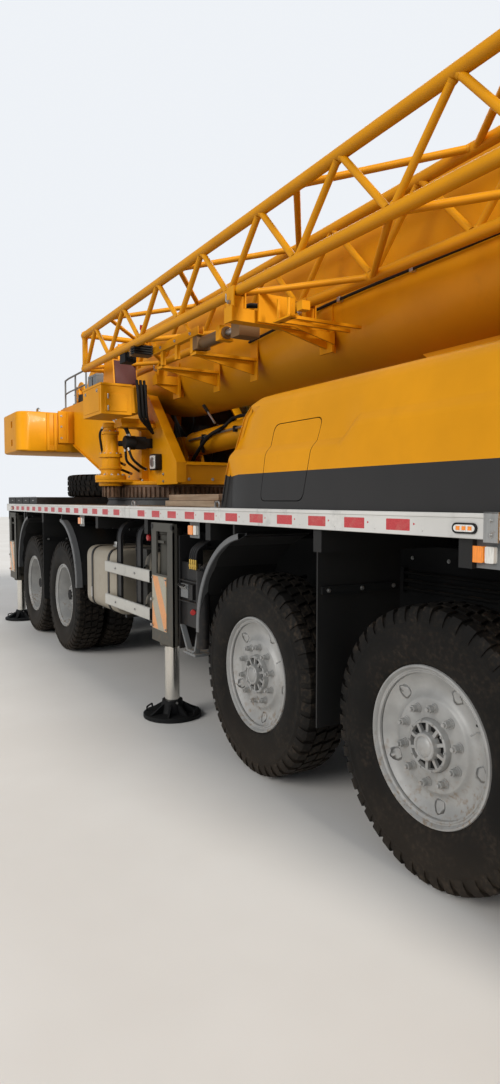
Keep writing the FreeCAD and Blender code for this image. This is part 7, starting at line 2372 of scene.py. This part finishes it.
def operator_form():
    """Seals, wiper, grab rail, lamps, roof guard, levers and screen of the operator's cabin."""
    form = Form()
    y0, y1 = OP_Y
    foot, head = Vector((OP_X[1], 0, OP_Z[0] + 0.60)), Vector((OP_X[1] - 0.115, 0, OP_Z[1] - 0.13))
    for y in (y0 + 0.085, y1 - 0.085):
        form.tube([foot + Vector((0.004, y, 0)), head + Vector((0.004, y, 0))], 0.012, 10, 1)
    for p in (foot, head):
        form.tube([p + Vector((0.004, y0 + 0.085, 0)), p + Vector((0.004, y1 - 0.085, 0))], 0.012, 10, 1)
    base = foot + Vector((0.012, (y0 + y1) / 2, -0.05))
    form.rod(base - Vector((0.02, 0, 0)), base + Vector((0.015, 0, 0)), 0.022, 14, 1)
    middle = foot + (head - foot) * 0.45 + Vector((0.022, (y0 + y1) / 2 - 0.16, 0))
    form.tube([base, middle], 0.007, 8, 1)
    way = (head - foot) * 0.34
    form.tube([middle - way, middle + way], 0.009, 8, 1)
    ring = round_outline([(-2.80, 2.640), (-1.60, 2.640), (-1.60, 3.370), (-2.80, 3.370)], 0.05, 5)
    inner = round_outline([(-2.772, 2.668), (-1.628, 2.668), (-1.628, 3.342), (-2.772, 3.342)], 0.04, 5)
    rows = [[(x, y0 + d, z) for x, z in points] for points, d in
            ((ring, 0.0), (ring, -0.009), (inner, -0.009), (inner, 0.010))]
    form.loft(rows[::-1], 1, closed=True)
    form.tube([Vector((-1.84, y1, 2.45)), Vector((-1.84, y1 + 0.05, 2.45)), Vector((-1.84, y1 + 0.05, 3.20)),
               Vector((-1.84, y1, 3.20))], 0.012, 10, 1, 0.03)
    for y in (y0 + 0.14, y1 - 0.14):
        place = Vector((-1.52, y, OP_Z[1]))
        form.block(place + Vector((-0.012, -0.012, 0)), place + Vector((0.012, 0.012, 0.05)), 1)
        form.lathe([(0.0, 0.0), (0.0, 0.045), (0.060, 0.062), (0.066, 0.062), (0.064, 0.052), (0.068, 0.0)],
                   place + Vector((-0.02, 0, 0.09)), (1, 0, -0.3), 24, 1, wears=[1, 1, 1, 1, 3], closed=False)
    for k in range(6):
        y = y0 + 0.14 + 0.10 * k
        form.rod((-2.50, y, OP_Z[1] + 0.03), (-1.75, y, OP_Z[1] + 0.03), 0.008, 8, 1)
    for x in (-2.50, -1.75):
        form.block((x - 0.012, y0 + 0.11, OP_Z[1]), (x + 0.012, y1 - 0.11, OP_Z[1] + 0.035), 1)
    form.prism([(OP_X[0] + 0.03, 2.32), (OP_X[1] - 0.10, 2.32), (OP_X[1] - 0.10, 2.335), (OP_X[0] + 0.03, 2.335)], "y",
               y0 - 0.006, y0, 0)
    for z in (2.52, 2.60, 2.68, 2.76):
        form.block((OP_X[0] - 0.010, y0 + 0.20, z), (OP_X[0], y1 - 0.20, z + 0.035), 1)
    for y in (0.83, 1.14):
        form.block((-2.35, y - 0.05, 2.135), (-1.95, y + 0.05, 2.62), 1)
        form.rod((-1.98, y, 2.62), (-1.95, y, 2.80), 0.012, 10, 2)
        form.lathe([(0.0, 0.0), (0.0, 0.020), (0.05, 0.026), (0.08, 0.020), (0.084, 0.0)], (-1.955, y, 2.78), (0.15, 0, 1),
                   16, 1, closed=False)
    form.block((-1.60, 0.70, 2.135), (-1.54, 1.20, 2.66), 1)
    form.prism([(-1.62, 2.66), (-1.50, 2.66), (-1.54, 2.86), (-1.60, 2.86)], "y", 0.72, 0.96, 1)
    form.block((-2.42, 0.79, 2.545), (-2.05, 1.18, 2.60), 4)
    form.block((-2.76, 0.79, 2.62), (-2.71, 1.18, 3.16), 4)
    return form


def spare_form():
    """Spare tyre lying on the rear locker, with its disc and holding bolt."""
    form = Form()
    tyre = tyre_form(46)
    disc = Form()
    rows = [(0.110, 0.338), (-0.100, 0.333), (-0.099, 0.305), (-0.078, 0.270), (-0.077, 0.232), (-0.100, 0.203),
            (-0.100, 0.118), (-0.080, 0.116), (-0.058, 0.240), (-0.085, 0.318)]
    disc.lathe(rows, (0, 0, 0), (0, 1, 0), 72, 2)
    side_ring(disc, 0.349, 2)
    disc.rod((0, 0.02, 0), (0, -0.13, 0), 0.022, 14, 3)
    disc.block((-0.16, -0.118, -0.03), (0.16, -0.104, 0.03), 3)
    place = Matrix.Translation((-5.150, -0.100, 1.635 + 0.090 + 0.0003 + 0.157)) @ Matrix.Rotation(-math.pi / 2, 4, "X")
    form.join(tyre, place)
    form.join(disc, place)
    return form


def hook_form():
    """Hook block: plate cheeks, sheaves, side weights, trunnion, hook with latch, and rope falls."""
    form = Form()
    x = HEAD_X + 0.150 + SHEAVE + 0.0093
    top = 2.250
    outline = round_outline([(x - 0.060, top), (x + 0.060, top), (x + 0.170, top - 0.200), (x + 0.140, top - 0.420),
                             (x + 0.060, top - 0.520), (x - 0.060, top - 0.520), (x - 0.140, top - 0.420),
                             (x - 0.170, top - 0.200)], 0.050)
    for y0, y1 in ((-0.130, -0.112), (0.112, 0.130)):
        form.prism(outline, "y", y0, y1, 0)
    for side in (-1, 1):
        face = side * 0.130
        form.rod((x, face, top - 0.22), (x, face + side * 0.014, top - 0.22), 0.062, 28, 0)
        form.rod((x, face + side * 0.014, top - 0.22), (x, face + side * 0.022, top - 0.22), 0.036, 20, 1)
        form.block((x - 0.060, face, top - 0.175), (x + 0.060, face + side * 0.010, top - 0.150), 1)
        for dx, dz in ((-0.10, -0.36), (0.10, -0.36), (-0.055, -0.055), (0.055, -0.055), (0.0, -0.47)):
            form.bolt((x + dx, face, top + dz), (0, side, 0), 0.018, 1)
        form.prism(round_outline([(x - 0.105, top - 0.40), (x + 0.105, top - 0.40), (x + 0.085, top - 0.30),
                                  (x - 0.085, top - 0.30)], 0.02), "y", *sorted((face, face + side * 0.012)), 0)
    for y in (-0.082, -0.028, 0.028, 0.082):
        form.lathe([(-0.022, 0.150), (-0.018, 0.152), (-0.005, 0.134), (0.005, 0.134), (0.018, 0.152), (0.022, 0.150),
                    (0.020, 0.118), (0.008, 0.110), (0.008, 0.050), (-0.008, 0.050), (-0.008, 0.110), (-0.020, 0.118)],
                   (x, y, top - 0.22), (0, 1, 0), 36, 3)
    form.rod((x, -0.115, top - 0.22), (x, 0.115, top - 0.22), 0.034, 18, 1)
    for dx in (-0.155, 0.155):
        form.block((x + dx - 0.006, -0.114, top - 0.30), (x + dx + 0.006, 0.114, top - 0.16), 0)
    form.block((x - 0.050, -0.125, top - 0.545), (x + 0.050, 0.125, top - 0.455), 0)
    form.rod((x, 0, top - 0.50), (x, 0, top - 0.60), 0.045, 24, 1)
    form.rod((x, 0, top - 0.545), (x, 0, top - 0.565), 0.062, 8, 1)
    centre = Vector((x, 0, top - 0.740))
    rings = [[Vector((x + 0.036 * math.cos(2 * math.pi * k / 16), 0.034 * math.sin(2 * math.pi * k / 16), top - 0.60))
              for k in range(16)]]
    for i in range(19):
        turn = math.radians(110 - 15 * i)
        grow = 1 - i / 21
        middle = centre + Vector((math.cos(turn), 0, math.sin(turn))) * (0.110 * (1 - 0.05 * i / 18))
        out = (middle - centre).normalized()
        half = 0.040 * (0.72 + 0.5 * math.sin(math.pi * min(1, i / 14))) * (0.35 + 0.65 * grow)
        rings.append([middle + out * half * math.cos(2 * math.pi * k / 16)
                      + Vector((0, 1, 0)) * half * 0.82 * math.sin(2 * math.pi * k / 16) for k in range(16)])
    form.loft(rings, 2, closed=True, ends=True)
    form.tube([Vector((x + 0.05, 0, top - 0.64)), Vector((x - 0.03, 0, top - 0.66)), Vector((x - 0.110, 0, top - 0.70))],
              0.009, 8, 1, 0.03)
    for y in (-0.090, -0.030, 0.030, 0.090):
        form.rod((x, y, top - 0.15), (x, y, HEAD_Z), 0.009, 12, 4)
        for k in range(26):
            z = top - 0.02 + 0.016 * k
            form.rod((x - 0.0035, y - 0.0092, z), (x + 0.0035, y - 0.0092, z + 0.012), 0.0024, 5, 4)
    return form


class CRANE_OT_fittings(bpy.types.Operator):
    """Operator's cabin fittings, door handle, hook block and spare wheel"""
    bl_idname = "crane.fittings"
    bl_label = "Cabin fittings, hook and spare wheel"

    def execute(self, context):
        operator_form().make("operator_cab_fittings", ["yellow", "trim", "steel", "lamp", "seat"], "turret",
                             "black_paint", 0.0015)
        door = Form()
        y = OP_Y[1]
        ring = round_outline([(-2.735, 2.545), (-1.965, 2.545), (-1.965, 3.315), (-2.735, 3.315)], 0.05, 5)
        inner = round_outline([(-2.708, 2.572), (-1.992, 2.572), (-1.992, 3.288), (-2.708, 3.288)], 0.035, 5)
        door.loft([[(x, y + d, z) for x, z in points] for points, d in
                   ((ring, 0.0), (ring, 0.008), (inner, 0.008), (inner, -0.012))], 0, closed=True)
        door.tube([Vector((-2.05, y, 2.44)), Vector((-2.05, y + 0.035, 2.44)), Vector((-1.94, y + 0.035, 2.44)),
                   Vector((-1.94, y, 2.44))], 0.009, 10, 0, 0.02)
        door.prism([(-2.77, 2.30), (-1.93, 2.30), (-1.94, 2.312), (-2.76, 2.312)], "y", y, y + 0.005, 1)
        door.make("operator_door_fittings", ["trim", "yellow"], "operator_door", "black_paint", 0.001)
        hook_form().make("hook_sheaves", ["yellow", "steel", "drum", "wheel", "rope"], "hook", "crane_yellow", 0.0, 32,
                         ("hook_block",))
        spare_form().make("spare_tyre", ["rubber", "tread", "wheel", "steel"], "carrier", "tyre_black", 0.0, 35,
                          ("spare_wheel",))
        return {"FINISHED"}


# Stage

def look_from(place, yaw, pitch):
    way = Vector((math.cos(yaw) * math.cos(pitch), math.sin(yaw) * math.cos(pitch), math.sin(pitch)))
    return Matrix.Translation(place) @ way.to_track_quat("-Z", "Y").to_matrix().to_4x4()


class CRANE_OT_stage(bpy.types.Operator):
    """Camera, soft lamps, pale floor and backdrop"""
    bl_idname = "crane.stage"
    bl_label = "Stage"

    def execute(self, context):
        scene = context.scene
        scene.view_settings.view_transform = "Standard"
        lens_data = bpy.data.cameras.new("photo_camera")
        lens_data.sensor_width = 36
        lens_data.lens = 705 / 1084 * 36
        lens_data.clip_end = 400
        camera = bpy.data.objects.new("photo_camera", lens_data)
        camera.matrix_world = look_from((4.516, -3.482, 1.686), math.radians(149.70), math.radians(-3.39))
        scene.collection.objects.link(camera)
        scene.camera = camera

        world = bpy.data.worlds.new("studio")
        scene.world = world
        world.use_nodes = True
        tree = world.node_tree
        tree.nodes.clear()
        out = tree.nodes.new("ShaderNodeOutputWorld")
        path = tree.nodes.new("ShaderNodeLightPath")
        seen = tree.nodes.new("ShaderNodeBackground")
        seen.inputs[0].default_value = (0.86, 0.89, 0.93, 1)
        seen.inputs[1].default_value = 1.0
        fill = tree.nodes.new("ShaderNodeBackground")
        fill.inputs[0].default_value = (0.86, 0.92, 1.0, 1)
        fill.inputs[1].default_value = 0.34
        either = tree.nodes.new("ShaderNodeMath")
        either.operation = "MAXIMUM"
        mix = tree.nodes.new("ShaderNodeMixShader")
        tree.links.new(path.outputs["Is Camera Ray"], either.inputs[0])
        tree.links.new(path.outputs["Is Transmission Ray"], either.inputs[1])
        tree.links.new(either.outputs[0], mix.inputs[0])
        tree.links.new(fill.outputs[0], mix.inputs[1])
        tree.links.new(seen.outputs[0], mix.inputs[2])
        tree.links.new(mix.outputs[0], out.inputs[0])

        lamps = (("key_lamp", (19, 2, 11), 0.22, 2.9, (1.0, 0.955, 0.88)),
                 ("fill_lamp", (3, -21, 13), 0.60, 1.36, (1.0, 0.97, 0.93)),
                 ("back_lamp", (-16, 14, 14), 0.64, 0.60, (0.93, 0.96, 1.0)))
        for name, place, spread, strength, tint in lamps:
            data = bpy.data.lights.new(name, "SUN")
            data.angle = spread
            data.energy = strength
            data.color = tint
            lamp = bpy.data.objects.new(name, data)
            lamp.matrix_world = Matrix.Translation(place) @ \
                (Vector((0, 0, 1.2)) - Vector(place)).to_track_quat("-Z", "Y").to_matrix().to_4x4()
            scene.collection.objects.link(lamp)

        floor = bpy.data.meshes.new("floor")
        reach = 70
        floor.from_pydata([(-reach, -reach, 0), (reach, -reach, 0), (reach, reach, 0), (-reach, reach, 0)],
                          [], [(0, 1, 2, 3)])
        floor.materials.append(ground("studio_floor"))
        plane = bpy.data.objects.new("floor", floor)
        scene.collection.objects.link(plane)
        return {"FINISHED"}


class CRANE_OT_plain(bpy.types.Operator):
    """Finishes of the solids that show as they are"""
    bl_idname = "crane.plain"
    bl_label = "Plain solids"

    def execute(self, context):
        finishes = {
            "chassis_frame": "frame", "deck": "deck", "driver_cab": "yellow_low", "driver_glass": "glass",
            "front_bumper": "band", "engine_hood": "yellow_low", "hood_hatch": "yellow_low",
            "drive_train": "hidden", "tanks": "tank", "side_guards": "white", "outrigger_boxes": "frame",
            "slewing_ring": "gear", "spare_wheel": "rubber", "turret": "yellow", "counterweight": "yellow",
            "winches": "yellow", "slewing_drive": "yellow", "valve_box": "yellow", "operator_cab": "yellow",
            "operator_glass": "pale_glass", "operator_door": "yellow", "luffing_barrel": "yellow",
            "luffing_rod": "rod", "boom_base": "yellow", "fly_jib": "yellow", "hook_block": "yellow",
            "driver_door_right": "yellow_low", "driver_door_left": "yellow_low",
        }
        for n in range(2, 6):
            finishes["boom_section_%d" % n] = "yellow"
        for end in ("front", "rear"):
            for side_name, side in SIDES:
                finishes["beam_%s_%s" % (end, side_name)] = "plate"
                finishes["jack_%s_%s" % (end, side_name)] = "rod"
        for node, key in finishes.items():
            wear_node(node, key)
        return {"FINISHED"}


class CRANE_PT_panel(bpy.types.Panel):
    """Lists the crane's pieces"""
    bl_label = "Crane"
    bl_idname = "CRANE_PT_panel"
    bl_space_type = "VIEW_3D"
    bl_region_type = "UI"
    bl_category = "Crane"

    def draw(self, context):
        column = self.layout.column()
        for group in (context.scene.crane_colours, context.scene.crane_sizes):
            for key in group.bl_rna.properties.keys():
                if key not in ("rna_type", "name"):
                    column.prop(group, key)
        for operator in OPERATORS:
            column.operator(operator.bl_idname)


OPERATORS = (CRANE_OT_stage, CRANE_OT_plain, CRANE_OT_wheels, CRANE_OT_hood, CRANE_OT_deck,
             CRANE_OT_boom, CRANE_OT_jib, CRANE_OT_upper,
             CRANE_OT_outriggers, CRANE_OT_underdeck, CRANE_OT_cab, CRANE_OT_fittings)
CLASSES = (CraneColours, CraneSizes) + OPERATORS + (CRANE_PT_panel,)


def register():
    for item in CLASSES:
        bpy.utils.register_class(item)
    bpy.types.Scene.crane_colours = PointerProperty(type=CraneColours)
    bpy.types.Scene.crane_sizes = PointerProperty(type=CraneSizes)


def unregister():
    del bpy.types.Scene.crane_sizes
    del bpy.types.Scene.crane_colours
    for item in reversed(CLASSES):
        bpy.utils.unregister_class(item)


def main():
    register()
    for operator in OPERATORS:
        group, name = operator.bl_idname.split(".")
        getattr(getattr(bpy.ops, group), name)()


if __name__ == "__main__":
    main()
